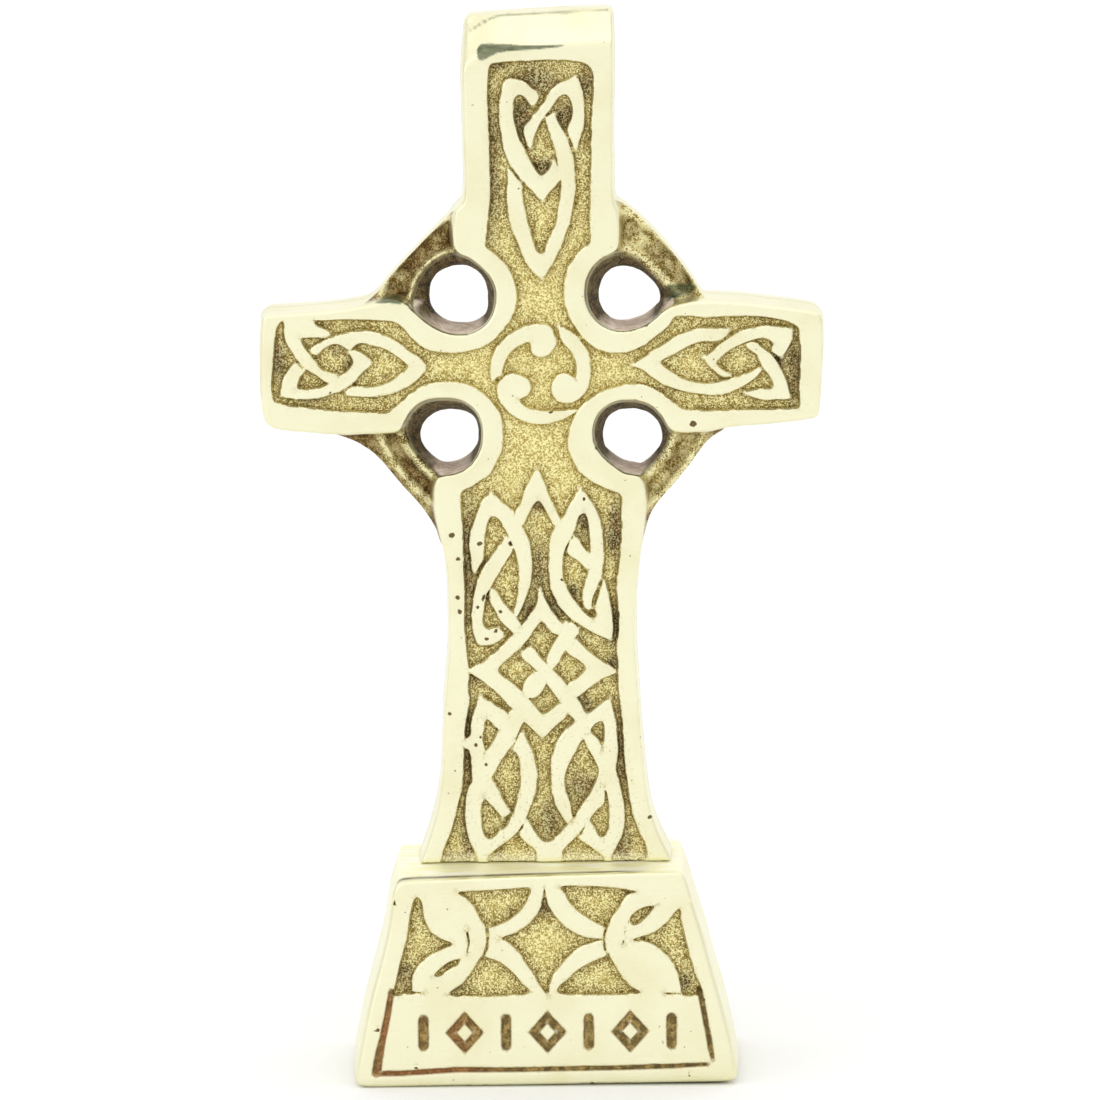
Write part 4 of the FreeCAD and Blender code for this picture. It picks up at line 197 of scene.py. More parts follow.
     (2.42,99.06),(2.36,98.99),(2.33,98.84),(2.39,98.43),(2.61,97.58),(2.79,97.12),(2.97,96.88),(3.21,96.62),(3.38,96.4),(3.64,96.16),(3.91,95.83),
     (4.08,95.56),(4.24,95.2),(4.36,94.87),(4.46,94.53),(4.57,93.87),(4.57,93.39),(4.54,93.03),(4.42,92.35),(4.37,92.25),(4.31,92.2),(4.24,92.2),
     (4.18,92.24),(3.99,92.4),(3.66,92.62),(3.38,92.77),(3.13,92.85),(2.85,92.9),(2.63,92.9),(2.35,92.84),(2.07,92.69),(1.96,92.6),(1.76,92.38),
     (1.53,91.99),(1.39,91.53),(1.34,91.31),(1.33,90.81),(1.4,90.49),(1.51,90.18),(1.72,89.85),(1.98,89.59),(2.3,89.37),(2.49,89.3),(2.84,89.21),
     (3.08,89.18),(3.33,89.18),(3.81,89.24),(4.31,89.41),(4.46,89.48),(4.85,89.76),(5.03,89.91),(5.31,90.19),(5.62,90.6),(5.83,90.99),(5.91,91.14),
     (6.05,91.6),(6.17,92.23),(6.22,92.64),(6.25,93.42),(6.23,93.58),(6.23,93.92),(6.17,94.62),(6.14,94.84),(6.02,95.42),(5.77,96.14),(5.59,96.45),
     (5.44,96.67),(4.89,97.37),(4.67,97.59),(4.35,97.88),(3.88,98.25),(3.56,98.46),(3.28,98.61),(2.7,98.98),(2.53,99.06),],
    [
     (28.43,93.38),(28.41,93.44),(28.36,93.48),(28.25,93.47),(28.1,93.43),(27.21,93),(26.74,92.79),(25.49,92.33),(23.76,91.85),(22.34,91.54),(21.8,91.47),
     (20.91,91.48),(19.92,91.61),(19.08,91.81),(18.3,92.08),(17.59,92.43),(16.76,92.99),(15.92,93.61),(15.43,94.09),(15.32,94.23),(15.29,94.32),
     (15.31,94.39),(15.43,94.58),(15.78,94.81),(16.49,95.15),(16.88,95.38),(17.95,95.91),(18.97,96.5),(19.58,96.75),(20.14,96.94),(20.44,97.01),
     (20.96,97.1),(21.54,97.1),(21.71,97.12),(22.57,97.11),(23.11,97.18),(23.2,97.21),(23.52,97.43),(23.63,97.54),(23.74,97.68),(24.22,98.17),
     (24.28,98.32),(24.27,98.39),(24.24,98.44),(24.13,98.5),(23.89,98.55),(23.05,98.63),(22.65,98.63),(22.17,98.68),(21.7,98.68),(20.75,98.62),(19.8,98.5),
     (19,98.31),(18.38,98.08),(17.84,97.81),(16.39,97),(14.81,96.03),(14.57,95.85),(14.27,95.67),(13.32,95.01),(12.61,94.58),(12.02,94.2),(11.86,94.05),
     (11.82,93.96),(11.85,93.89),(11.92,93.85),(12.15,93.78),(12.3,93.76),(12.62,93.68),(12.92,93.54),(13.17,93.38),(13.5,93.14),(14.27,92.48),
     (14.92,92.02),(15.48,91.67),(15.93,91.44),(16.75,91.1),(17.39,90.88),(17.95,90.71),(18.58,90.55),(19.18,90.42),(20.41,90.23),(20.62,90.22),
     (21.03,90.15),(21.51,90.15),(22,90.1),(23.02,90.14),(23.8,90.28),(24.27,90.4),(25.08,90.71),(25.68,90.99),(26.56,91.48),(27.02,91.8),(27.63,92.28),
     (27.95,92.57),(28.14,92.82),(28.29,93.06),(28.41,93.29),],
    [
     (-29.86,96.27),(-29.86,96.19),(-29.82,96.11),(-29.61,95.86),(-29.33,95.69),(-29.2,95.64),(-29.14,95.64),(-28.96,95.73),(-28.7,96.06),(-28.47,96.31),
     (-28,96.71),(-27.52,96.95),(-27.13,97.09),(-26.76,97.15),(-26.51,97.15),(-26.31,97.12),(-26.05,97.03),(-25.93,96.98),(-25.67,96.82),(-25.22,96.5),
     (-25.05,96.36),(-24.92,96.3),(-24.86,96.3),(-24.77,96.32),(-24.68,96.39),(-24.2,96.87),(-23.77,97.15),(-23.62,97.2),(-23.42,97.23),(-22.95,97.22),
     (-22.41,97.12),(-21.23,96.81),(-20.57,96.59),(-19.88,96.28),(-18.87,95.62),(-18.28,95.17),(-17.77,94.71),(-17.29,94.33),(-17.21,94.17),(-17.21,94.02),
     (-17.28,93.87),(-17.43,93.69),(-17.65,93.47),(-18.48,92.84),(-18.83,92.55),(-19.17,92.32),(-19.51,92.13),(-19.85,91.96),(-20.67,91.64),(-20.98,91.56),
     (-21.6,91.42),(-22.64,91.34),(-23.18,91.35),(-23.8,91.41),(-24.11,91.42),(-24.32,91.39),(-24.52,91.34),(-24.75,91.26),(-24.91,91.17),(-25.2,90.94),
     (-25.37,90.77),(-25.46,90.59),(-25.46,90.51),(-25.39,90.44),(-25.22,90.39),(-24.92,90.34),(-24.57,90.31),(-24.19,90.29),(-23.67,90.28),(-22.94,90.21),
     (-22.5,90.21),(-22.35,90.19),(-21.55,90.22),(-20.86,90.31),(-19.89,90.52),(-18.96,90.82),(-17.87,91.26),(-17.11,91.67),(-16.39,92.14),(-16.06,92.42),
     (-15.56,92.98),(-15.37,93.25),(-15.22,93.42),(-15.06,93.68),(-15.01,93.83),(-15.02,94),(-15.19,94.33),(-15.54,94.77),(-15.93,95.15),(-16.27,95.45),
     (-17.3,96.15),(-17.89,96.61),(-18.18,96.81),(-19.05,97.37),(-19.75,97.78),(-20.25,98.03),(-21.07,98.35),(-21.83,98.55),(-22.11,98.61),(-22.8,98.68),
     (-23.27,98.69),(-23.45,98.67),(-23.84,98.67),(-24.14,98.61),(-24.35,98.6),(-25.2,98.44),(-26.25,98.13),(-27.81,97.58),(-28.29,97.37),(-29.23,96.84),
     (-29.57,96.61),(-29.75,96.45),],
    [
     (26.6,96.66),(26.49,96.57),(26.45,96.46),(26.48,96.37),(26.59,96.22),(26.92,95.94),(27.33,95.63),(27.8,95.36),(27.99,95.17),(28.06,95.01),
     (28.32,94.29),(28.6,93.7),(28.91,93.29),(29.28,92.85),(29.64,92.28),(29.8,91.98),(29.98,91.56),(30.04,91.19),(30,90.95),(29.95,90.84),(29.82,90.74),
     (29.67,90.67),(29.45,90.64),(28.61,90.65),(28.24,90.67),(27.59,90.59),(27.25,90.52),(26.49,90.3),(26.38,90.22),(26.37,90.18),(26.38,90.14),
     (26.46,90.07),(26.66,89.98),(27.31,89.78),(27.89,89.55),(28.32,89.43),(28.63,89.37),(29.1,89.36),(29.88,89.42),(30.33,89.42),(30.5,89.44),
     (31.56,89.41),(31.89,89.46),(32.06,89.53),(32.13,89.65),(32.14,89.8),(31.99,90.28),(31.89,90.72),(31.75,91.42),(31.48,92.16),(31.08,93.01),
     (30.84,93.42),(30.2,94.45),(29.83,94.95),(29.7,95.08),(29.54,95.28),(29.14,95.62),(28.35,96.25),(27.89,96.58),(27.53,96.76),(27.23,96.84),
     (26.95,96.8),(26.71,96.72),],
    [
     (4.46,88.11),(4.44,88.15),(4.38,88.18),(4.19,88.21),(3.52,88.17),(3.07,88.11),(2.63,88.11),(2.25,88.08),(1.86,88.08),(1.71,88.06),(0.07,88.07),
     (-0.69,88.15),(-1.36,88.29),(-1.64,88.38),(-2.09,88.6),(-2.39,88.82),(-2.74,89.13),(-2.96,89.42),(-3,89.53),(-3.01,89.61),(-2.97,89.7),(-2.9,89.76),
     (-2.35,89.99),(-2,90.19),(-1.78,90.36),(-1.54,90.82),(-1.48,90.98),(-1.45,91.14),(-1.48,91.45),(-1.54,91.64),(-1.63,91.84),(-1.83,92.17),
     (-2.05,92.37),(-2.25,92.5),(-2.46,92.62),(-2.89,92.81),(-3.23,92.91),(-3.43,92.93),(-3.77,92.93),(-3.99,92.9),(-4.27,92.81),(-4.51,92.71),
     (-4.83,92.52),(-5.3,92.16),(-5.49,91.92),(-5.63,91.7),(-5.71,91.55),(-5.79,91.14),(-5.76,90.72),(-5.73,90.53),(-5.52,89.76),(-5.32,89.37),
     (-5.13,89.09),(-4.77,88.63),(-4.63,88.49),(-4.47,88.3),(-4.1,87.89),(-3.91,87.72),(-3.62,87.5),(-3.18,87.21),(-2.15,86.76),(-1.76,86.64),(-1.11,86.5),
     (-0.4,86.42),(-0.06,86.42),(0.59,86.48),(1.26,86.61),(1.91,86.79),(2.35,86.96),(2.58,87.03),(3.17,87.29),(4.17,87.86),(4.37,88),(4.44,88.07),],
    [
     (8.71,58.06),(8.77,58.15),(8.82,58.3),(8.89,58.92),(8.9,60.33),(8.84,61.14),(8.74,61.98),(8.57,63.06),(8.39,63.9),(8.16,64.8),(8.03,65.48),
     (7.95,65.79),(7.89,65.94),(7.85,65.98),(7.8,65.97),(7.73,65.81),(7.59,65.03),(7.45,64.45),(7.23,63.86),(7.1,63.58),(6.88,62.92),(6.8,62.61),
     (6.75,62.15),(6.8,61.91),(6.97,61.45),(6.98,61.34),(6.96,61.23),(6.86,61.03),(6.67,60.81),(6.53,60.7),(6.4,60.67),(6.31,60.69),(6.18,60.76),
     (5.45,61.36),(5.17,61.63),(4.68,62.16),(4.16,62.83),(3.62,63.67),(3.21,64.4),(2.67,65.53),(2.56,65.84),(2.49,66.15),(2.42,66.61),(2.43,66.96),
     (2.41,67.14),(2.42,68.3),(2.49,69.02),(2.67,69.7),(2.73,69.88),(3.06,70.6),(3.25,70.98),(3.4,71.21),(3.65,71.69),(4.15,72.86),(4.46,73.98),
     (4.57,74.22),(4.68,74.39),(4.79,74.5),(5.12,74.73),(5.32,74.79),(5.38,74.78),(5.45,74.75),(5.56,74.63),(5.62,74.52),(5.8,74.06),(5.9,73.59),(6,72.81),
     (6.12,71.34),(6.18,70.88),(6.22,70),(6.21,69.01),(6.14,68.18),(6.04,67.48),(5.66,66.07),(5.55,65.79),(5.3,64.96),(5.14,64.19),(5.11,63.68),
     (5.18,63.09),(5.26,62.67),(5.33,62.47),(5.39,62.34),(5.49,62.21),(5.69,62),(5.82,61.93),(5.93,61.9),(6.02,61.93),(6.07,61.98),(6.11,62.07),
     (6.16,62.27),(6.24,63.15),(6.36,63.63),(6.51,64.03),(6.9,64.9),(7.33,66.12),(7.47,66.58),(7.56,66.96),(7.74,68.1),(7.79,68.62),(7.8,69.26),
     (7.78,69.46),(7.78,70.25),(7.76,70.42),(7.76,70.95),(7.74,71.28),(7.64,72.31),(7.45,73.3),(7.24,74.13),(7.15,74.37),(6.98,74.79),(6.62,75.49),
     (6.3,76.06),(5.79,76.79),(5.34,77.36),(5.12,77.59),(4.95,77.67),(4.86,77.68),(4.8,77.67),(4.68,77.57),(4.59,77.44),(4.21,76.74),(3.76,76.07),
     (3.47,75.59),(2.89,74.47),(2.74,74.24),(2.39,73.78),(2.23,73.64),(2.18,73.96),(2.1,74.18),(1.91,74.51),(1.61,75.14),(1.34,75.67),(0.94,76.55),
     (0.32,78.13),(0.2,78.37),(0.1,78.7),(-0.1,79.23),(-0.49,80.17),(-0.63,80.39),(-0.69,80.44),(-0.76,80.45),(-0.82,80.43),(-0.97,80.28),(-1.17,79.98),
     (-1.46,79.41),(-1.97,78.35),(-2.41,77.24),(-2.81,76.12),(-2.97,75.82),(-3.47,75),(-3.65,74.6),(-3.71,74.63),(-3.96,74.95),(-4.33,75.34),(-4.61,75.57),
     (-5.36,76.14),(-5.99,76.81),(-6.28,77.05),(-6.49,77.19),(-6.76,77.27),(-6.93,77.24),(-7.17,77.09),(-7.5,76.76),(-7.81,76.36),(-8.11,75.8),
     (-8.56,74.71),(-8.8,74.01),(-8.89,73.73),(-9.14,73.03),(-9.35,72.17),(-9.47,71.19),(-9.48,70.75),(-9.5,70.6),(-9.46,69.76),(-9.2,67.52),(-9.12,67.11),
     (-9.05,66.93),(-9.01,66.89),(-8.96,66.89),(-8.9,66.93),(-8.84,66.99),(-8.57,67.54),(-8.12,68.34),(-7.89,68.85),(-7.83,69.2),(-7.79,70.41),
     (-7.66,71.72),(-7.45,72.92),(-7.33,73.36),(-7.12,73.93),(-7,74.17),(-6.88,74.32),(-6.76,74.41),(-6.63,74.44),(-6.46,74.43),(-6.18,74.36),(-5.9,74.2),
     (-5.68,74.01),(-5.45,73.74),(-5.23,73.39),(-4.74,72.38),(-3.9,70.48),(-3.62,69.73),(-3.44,69.1),(-3.33,68.64),(-3.19,67.67),(-3.12,67.03),
     (-3.13,65.62),(-3.19,64.94),(-3.28,64.11),(-3.45,63.25),(-3.71,62.29),(-3.8,61.89),(-3.8,61.5),(-3.74,61.15),(-3.71,61.08),(-3.67,61.05),(-3.6,61.05),
     (-3.56,61.08),(-3.4,61.32),(-2.88,62.37),(-2.48,63.35),(-2.19,64.23),(-1.95,65.02),(-1.75,65.92),(-1.63,67.04),(-1.62,67.5),(-1.6,67.68),
     (-1.59,68.84),(-1.65,69.74),(-1.75,70.48),(-1.84,70.92),(-2.09,71.65),(-2.73,72.91),(-2.86,73.19),(-2.83,73.22),(-2.73,73.22),(-2.64,73.26),
     (-2.49,73.43),(-2.29,73.89),(-1.49,75.54),(-1.25,75.92),(-0.97,76.23),(-0.75,76.41),(-0.62,76.46),(-0.47,76.44),(-0.29,76.28),(-0.02,75.9),
     (0.09,75.73),(1.32,73.33),(1.54,73.08),(1.7,73),(1.69,72.93),(1.51,72.66),(1.22,72.08),(1.08,71.6),(0.97,71.1),(0.82,69.28),(0.82,68.73),(0.79,68.53),
     (0.78,67.13),(0.82,66.16),(0.94,65.19),(1.06,64.71),(1.24,64.16),(1.69,63.21),(1.95,62.72),(2.17,62.37),(2.63,61.77),(3.05,61.3),(3.37,61.01),
     (3.8,60.66),(4.36,60.26),(5.11,59.77),(6.43,58.96),(7.1,58.63),(7.95,58.28),(8.44,58.03),(8.57,58.01),],
    [
     (5.74,67.31),(5.78,67.35),(5.81,67.44),(5.83,67.63),(5.84,68),(5.87,68.16),(5.94,68.42),(6.03,68.64),(6.08,68.86),(6.08,68.99),(6.07,69.08),(6,69.21),
     (5.91,69.34),(5.36,69.94),(4.34,71.42),(4.19,71.56),(4.1,71.58),(4.04,71.57),(3.9,71.48),(3.79,71.33),(3.53,70.88),(3.25,70.31),(3.16,70.09),
     (3.11,69.87),(3.08,69.67),(3.12,69.52),(3.17,69.42),(3.28,69.32),(4.16,68.75),(4.44,68.55),(4.83,68.2),(5.17,67.85),(5.54,67.41),(5.65,67.33),],
    [
     (-4.76,71.61),(-4.84,71.6),(-4.98,71.48),(-5.34,70.89),(-5.94,70.1),(-6.08,69.95),(-6.56,69.34),(-7.35,68.21),(-7.65,67.71),(-7.84,67.34),
     (-8.49,65.94),(-8.65,65.52),(-8.88,64.73),(-9.11,63.48),(-9.15,63.11),(-9.26,62.29),(-9.29,61.94),(-9.3,60.73),(-9.26,60.14),(-9.18,59.45),
     (-9.08,58.88),(-8.83,57.97),(-8.73,57.73),(-8.63,57.6),(-8.48,57.48),(-8.32,57.42),(-7.96,57.38),(-7.41,57.43),(-7.02,57.51),(-6.74,57.6),
     (-6.43,57.74),(-5.75,58.15),(-5.44,58.38),(-5.33,58.49),(-5.28,58.6),(-5.3,58.8),(-5.36,58.96),(-5.65,59.33),(-5.76,59.45),(-5.85,59.51),
     (-6.04,59.56),(-6.17,59.57),(-6.41,59.54),(-6.89,59.41),(-7.07,59.4),(-7.26,59.44),(-7.43,59.49),(-7.67,59.64),(-7.74,59.7),(-7.84,59.86),
     (-7.99,60.24),(-8.04,60.57),(-8.04,60.83),(-7.99,61.27),(-7.84,62.08),(-7.73,63.2),(-7.64,63.69),(-7.47,64.21),(-7.34,64.47),(-7.1,64.76),
     (-6.97,64.93),(-6.53,65.82),(-5.82,67.03),(-5.49,67.53),(-5.25,67.95),(-4.71,68.8),(-4.17,69.56),(-4.01,69.91),(-4,70.15),(-4.03,70.33),(-4.15,70.68),
     (-4.5,71.36),(-4.62,71.52),],
    [
     (-6.08,53.96),(-6.08,54.18),(-6.03,54.35),(-5.94,54.49),(-5.68,54.82),(-5.47,55.01),(-4.99,55.52),(-4.61,55.82),(-4.37,55.99),(-3.84,56.42),
     (-3.21,56.97),(-2.89,57.28),(-2.72,57.48),(-2.15,58.24),(-1.67,58.9),(-1.36,59.38),(-0.59,60.39),(-0.44,60.52),(-0.31,60.57),(-0.18,60.54),
     (-0.08,60.47),(0.35,59.99),(0.52,59.72),(0.73,59.47),(0.98,59.2),(1.48,58.8),(1.67,58.72),(1.83,58.72),(1.94,58.8),(2.15,59.05),(2.13,58.93),
     (2.02,58.69),(1.31,57.62),(1.19,57.41),(0.55,56.17),(0.45,55.91),(0.39,55.67),(0.36,55.45),(0.38,55.14),(0.59,54.65),(0.73,54.43),(0.92,54.3),
     (1.07,54.28),(1.17,54.31),(1.33,54.48),(1.58,54.8),(1.86,55.26),(2.36,56.13),(2.77,56.74),(2.83,56.82),(2.88,56.84),(2.88,56.61),(2.94,56.47),
     (3,56.39),(3.46,56.05),(4.1,55.66),(4.41,55.45),(5.12,54.86),(5.32,54.63),(5.42,54.48),(5.46,54.37),(5.49,54.23),(5.45,54.1),(5.37,53.95),
     (5.03,53.53),(4.41,52.95),(4.14,52.73),(3.79,52.5),(3.49,52.37),(3.26,52.22),(3.13,52.07),(3.07,51.91),(3.06,51.78),(3.03,51.77),(2.15,52.87),
     (1.8,53.28),(1.2,53.9),(0.29,54.73),(0.03,55.01),(-0.7,55.87),(-1.32,56.66),(-1.48,56.83),(-1.62,56.94),(-1.77,57.01),(-1.86,57.02),(-2.08,56.98),
     (-2.34,56.88),(-2.6,56.71),(-2.78,56.55),(-2.85,56.47),(-2.95,56.27),(-2.96,56.09),(-2.94,55.98),(-2.81,55.74),(-2.5,55.42),(-1.59,54.62),
     (-0.98,54.02),(-0.74,53.71),(-0.67,53.58),(-1.06,53.74),(-1.3,53.75),(-1.41,53.71),(-1.72,53.49),(-2,53.15),(-2.31,52.71),(-2.62,52.12),(-2.82,51.63),
     (-2.87,51.33),(-2.85,51.15),(-2.87,51.11),(-3.04,51.23),(-3.32,51.52),(-3.58,51.73),(-4.29,52.24),(-5.56,53.28),(-5.82,53.55),(-5.94,53.69),],
    [
     (0.19,52.37),(0.29,52.26),(0.66,51.73),(1.11,51.16),(1.67,50.4),(2.09,49.8),(2.6,48.95),(2.95,48.42),(3.19,48.15),(3.63,47.8),(3.83,47.62),
     (3.94,47.46),(3.99,47.28),(3.99,47.22),(3.94,47.09),(3.85,46.95),(3.68,46.79),(2.9,46.17),(2.49,45.73),(2.06,45.18),(1.9,44.93),(1.72,44.6),
     (1.57,44.29),(1.35,43.79),(1.22,43.39),(1.04,42.73),(0.96,42.33),(0.87,41.73),(0.84,41.4),(0.82,40.98),(0.81,39.65),(0.86,38.56),(1.01,37.56),
     (1.27,36.51),(1.57,35.72),(1.71,35.42),(2.25,34.5),(2.6,33.99),(2.74,33.81),(2.86,33.72),(2.92,33.7),(3.03,33.71),(3.06,33.7),(3.06,33.67),
     (2.8,33.34),(2.39,32.88),(1.78,32.12),(1.31,31.63),(1.12,31.48),(0.66,31.22),(0.26,31.11),(-0.02,31.11),(-0.22,31.16),(-0.5,31.3),(-0.61,31.38),
     (-0.79,31.57),(-0.98,31.82),(-1.69,32.87),(-1.88,33.2),(-2.12,33.74),(-2.26,34.01),(-2.35,34.11),(-2.42,34.13),(-2.46,34.12),(-2.53,34.05),
     (-2.69,33.74),(-2.93,33.12),(-3.37,32.48),(-3.44,32.3),(-3.42,32.13),(-3.35,31.97),(-3.18,31.76),(-2.64,31.32),(-2.18,30.88),(-1.7,30.51),
     (-1.42,30.21),(-1.23,29.97),(-1.12,29.72),(-1.07,29.32),(-1.13,28.85),(-1.21,28.41),(-1.28,27.85),(-1.32,27.83),(-1.38,27.82),(-2.08,27.82),
     (-2.3,27.81),(-3.48,27.82),(-3.67,27.8),(-4.79,27.8),(-5.53,27.77),(-5.95,27.77),(-6.1,27.75),(-6.95,27.76),(-7.13,27.74),(-7.67,27.73),(-7.72,27.78),
     (-7.74,27.93),(-7.82,28.82),(-7.74,29.25),(-7.61,29.49),(-7.46,29.65),(-6.99,29.98),(-6.8,30.15),(-4.95,31.47),(-4.19,32.09),(-3.64,32.71),
     (-3.52,32.88),(-3.21,33.33),(-2.75,34.12),(-2.41,34.9),(-1.9,36.29),(-1.64,36.94),(-1.4,37.67),(-1.31,38.02),(-1.24,38.42),(-1.14,39.6),(-1.13,40.06),
     (-1.15,40.44),(-1.27,41.48),(-1.54,42.64),(-1.92,43.64),(-2.42,44.75),(-2.7,45.51),(-2.78,45.68),(-2.88,45.84),(-2.96,45.9),(-3.05,45.91),
     (-3.13,45.84),(-3.37,45.4),(-3.65,44.7),(-4.04,43.88),(-4.12,43.64),(-4.12,43.46),(-4.09,43.37),(-4.03,43.32),(-3.75,43.17),(-3.64,43.08),
     (-3.53,42.9),(-3.41,42.57),(-3.25,41.88),(-3.19,41.37),(-3.15,40.7),(-3.17,39.21),(-3.26,38.37),(-3.41,37.65),(-3.68,36.66),(-3.81,36.22),
     (-4.08,35.45),(-4.05,35.27),(-4.08,35.13),(-4.58,34.12),(-5.03,33.34),(-5.19,33.14),(-5.5,32.85),(-5.68,32.76),(-5.77,32.76),(-5.81,32.77),
     (-5.84,32.81),(-5.88,32.95),(-5.89,32.97),(-5.92,32.96),(-6.37,32.2),(-6.56,31.96),(-6.73,31.8),(-7.02,31.61),(-7.15,31.55),(-7.35,31.52),
     (-7.59,31.6),(-7.74,31.69),(-7.87,31.8),(-8.07,32.06),(-8.16,32.26),(-8.23,32.46),(-8.35,32.88),(-8.45,33.37),(-8.53,34.26),(-8.53,34.77),(-8.55,35),
     (-8.52,35.55),(-8.47,35.95),(-8.38,36.37),(-8.23,36.91),(-8.12,37.12),(-8.03,37.18),(-7.92,37.17),(-7.79,37.09),(-7.66,36.95),(-7.15,36.33),
     (-6.6,35.71),(-6.22,35.21),(-5.87,34.82),(-5.6,34.4),(-5.55,34.4),(-5.27,34.69),(-4.67,35.12),(-4.63,35.18),(-5.22,36.17),(-5.64,36.94),(-6.22,38.11),
     (-6.53,38.69),(-6.94,39.36),(-7.11,39.69),(-7.12,39.74),(-7.09,39.8),(-6.88,40.2),(-6.57,40.73),(-6.35,41.15),(-5.78,42.15),(-5.25,42.96),
     (-4.57,43.86),(-4.17,44.46),(-3.81,45.16),(-3.53,45.78),(-3.41,46.11),(-3.1,46.73),(-2.9,47.03),(-2.71,47.3),(-2.64,47.31),(-2.58,47.26),
     (-1.64,46.25),(-1.12,45.78),(-0.64,45.26),(-0.42,45.12),(-0.23,45.09),(-0.12,45.13),(0.04,45.25),(0.56,45.88),(1.51,46.83),(2.27,47.42),(2.49,47.62),
     (2.74,47.89),(2.84,48.09),(2.84,48.18),(2.8,48.4),(2.67,48.69),(2.51,48.91),(2.01,49.41),(1.88,49.51),(1.77,49.53),(1.68,49.5),(1.59,49.43),
     (1.33,49.11),(1.16,48.94),(0.35,48.35),(-0.05,48.14),(-0.22,48.11),(-0.35,48.13),(-0.63,48.34),(-1.14,49.05),(-1.92,50),(-2.21,50.3),(-2.38,50.52),
     (-2.4,50.57),(-2.37,50.57),(-2,50.41),(-1.68,50.35),(-1.38,50.36),(-1.09,50.53),(-0.71,50.89),(-0.42,51.21),(-0.24,51.48),(0.06,51.98),(0.16,52.35),],
    [
     (-7.86,43.23),(-7.89,43.27),(-7.9,43.54),(-7.98,43.96),(-8.24,44.87),(-8.27,45.07),(-8.26,45.4),(-8.19,45.84),(-8.05,46.4),(-7.83,47.5),(-7.73,47.66),
     (-7.69,47.68),(-7.6,47.68),(-7.53,47.67),(-7.43,47.62),(-7.21,47.46),(-6.88,47.16),(-6.55,46.78),(-6.28,46.5),(-6.11,46.36),(-5.94,46.27),
     (-5.92,46.24),(-6.32,45.37),(-6.79,44.46),(-7.13,43.97),(-7.49,43.55),(-7.75,43.28),(-7.82,43.24),],
    [
     (7.49,43.67),(7.4,43.7),(7.32,43.82),(6.92,44.69),(6.79,44.91),(6.61,45.1),(6.04,45.56),(5.93,45.72),(5.89,45.87),(5.92,46.07),(6.02,46.29),
     (6.16,46.49),(6.47,46.85),(6.64,46.99),(6.88,47.13),(7.04,47.2),(7.26,47.24),(7.39,47.24),(7.5,47.21),(7.63,47.1),(7.74,46.87),(7.8,46.5),
     (7.82,46.14),(7.82,45.39),(7.77,44.7),(7.72,44.33),(7.61,43.86),(7.56,43.73),],
    [
     (3.65,34.17),(3.6,34.2),(3.53,34.31),(3.45,34.53),(3.37,34.89),(3.15,36.09),(2.85,37.07),(2.63,37.92),(2.56,38.25),(2.48,38.85),(2.46,39.14),
     (2.47,39.76),(2.56,40.27),(2.64,40.58),(3.07,41.69),(3.59,42.68),(3.83,43.08),(4.57,44.49),(4.8,44.8),(4.93,44.9),(5.04,44.92),(5.13,44.88),
     (5.22,44.75),(5.33,44.51),(5.49,43.95),(5.57,43.77),(5.84,43.28),(6.03,43.01),(6.17,42.77),(6.64,41.83),(6.9,41.28),(6.99,40.97),(7.04,40.7),
     (7.01,40.37),(6.9,39.84),(6.56,38.95),(5.94,37.69),(5.63,37.13),(5.26,36.56),(4.73,35.86),(4.38,35.3),(3.94,34.42),(3.78,34.24),(3.69,34.18),],
    [
     (-10.64,43.89),(-10.19,43.74),(-9.97,43.62),(-9.82,43.47),(-9.73,43.27),(-9.65,42.78),(-9.6,42.09),(-9.55,41.67),(-9.57,41.36),(-9.58,40.51),
     (-9.47,39.4),(-9.49,39.34),(-9.72,38.92),(-9.89,38.5),(-10.21,37.48),(-10.31,37.03),(-10.41,36.28),(-10.49,35.01),(-10.45,34.03),(-10.39,33.41),
     (-10.24,32.56),(-10.03,31.74),(-9.29,29.95),(-8.99,29.39),(-8.84,29.03),(-8.79,28.77),(-8.79,28.5),(-8.82,28.28),(-8.92,27.74),(-8.96,27.68),
     (-9.01,27.67),(-9.62,27.63),(-10.88,27.61),(-12.5,27.67),(-12.96,27.73),(-13.35,27.8),(-13.59,27.88),(-13.82,28.01),(-13.9,28.1),(-13.97,28.23),
     (-13.99,28.34),(-13.98,28.5),(-13.78,29.46),(-13.55,30.1),(-13.13,31.17),(-12.49,32.61),(-12.31,33.12),(-11.99,34.38),(-11.77,35.4),(-11.23,37.33),
     (-11.05,38.04),(-10.9,39.13),(-10.75,40.72),(-10.73,42.48),(-10.75,42.85),(-10.73,43.03),(-10.72,43.63),(-10.69,43.85),],
    [
     (7.74,38.54),(7.78,38.51),(7.82,38.44),(7.93,38.16),(8.12,37.45),(8.25,36.69),(8.32,35.96),(8.39,34.6),(8.38,33.47),(8.36,33.2),(8.27,32.71),
     (8.21,32.51),(8.04,32.18),(7.89,31.99),(7.6,31.77),(7.4,31.67),(7.23,31.66),(7.08,31.71),(6.92,31.83),(6.8,32.03),(6.64,32.37),(6.4,32.93),
     (5.83,33.65),(5.72,33.87),(5.69,34.05),(5.81,34.36),(6.13,34.82),(6.93,35.69),(7.42,36.08),(7.56,36.25),(7.64,36.41),(7.68,36.54),(7.71,36.79),
     (7.72,37.72),(7.68,38.32),(7.69,38.49),],
    [
     (7.74,27.93),(7.66,27.9),(7.16,27.9),(6.98,27.88),(5.24,27.87),(5.04,27.85),(4.17,27.86),(3.97,27.84),(3.07,27.85),(2.88,27.83),(2.27,27.83),
     (2.2,27.85),(2.18,27.89),(2.12,28.45),(2.05,28.91),(2.01,29.43),(2.06,29.83),(2.18,30.14),(2.32,30.34),(2.48,30.5),(3.07,31),(3.47,31.43),
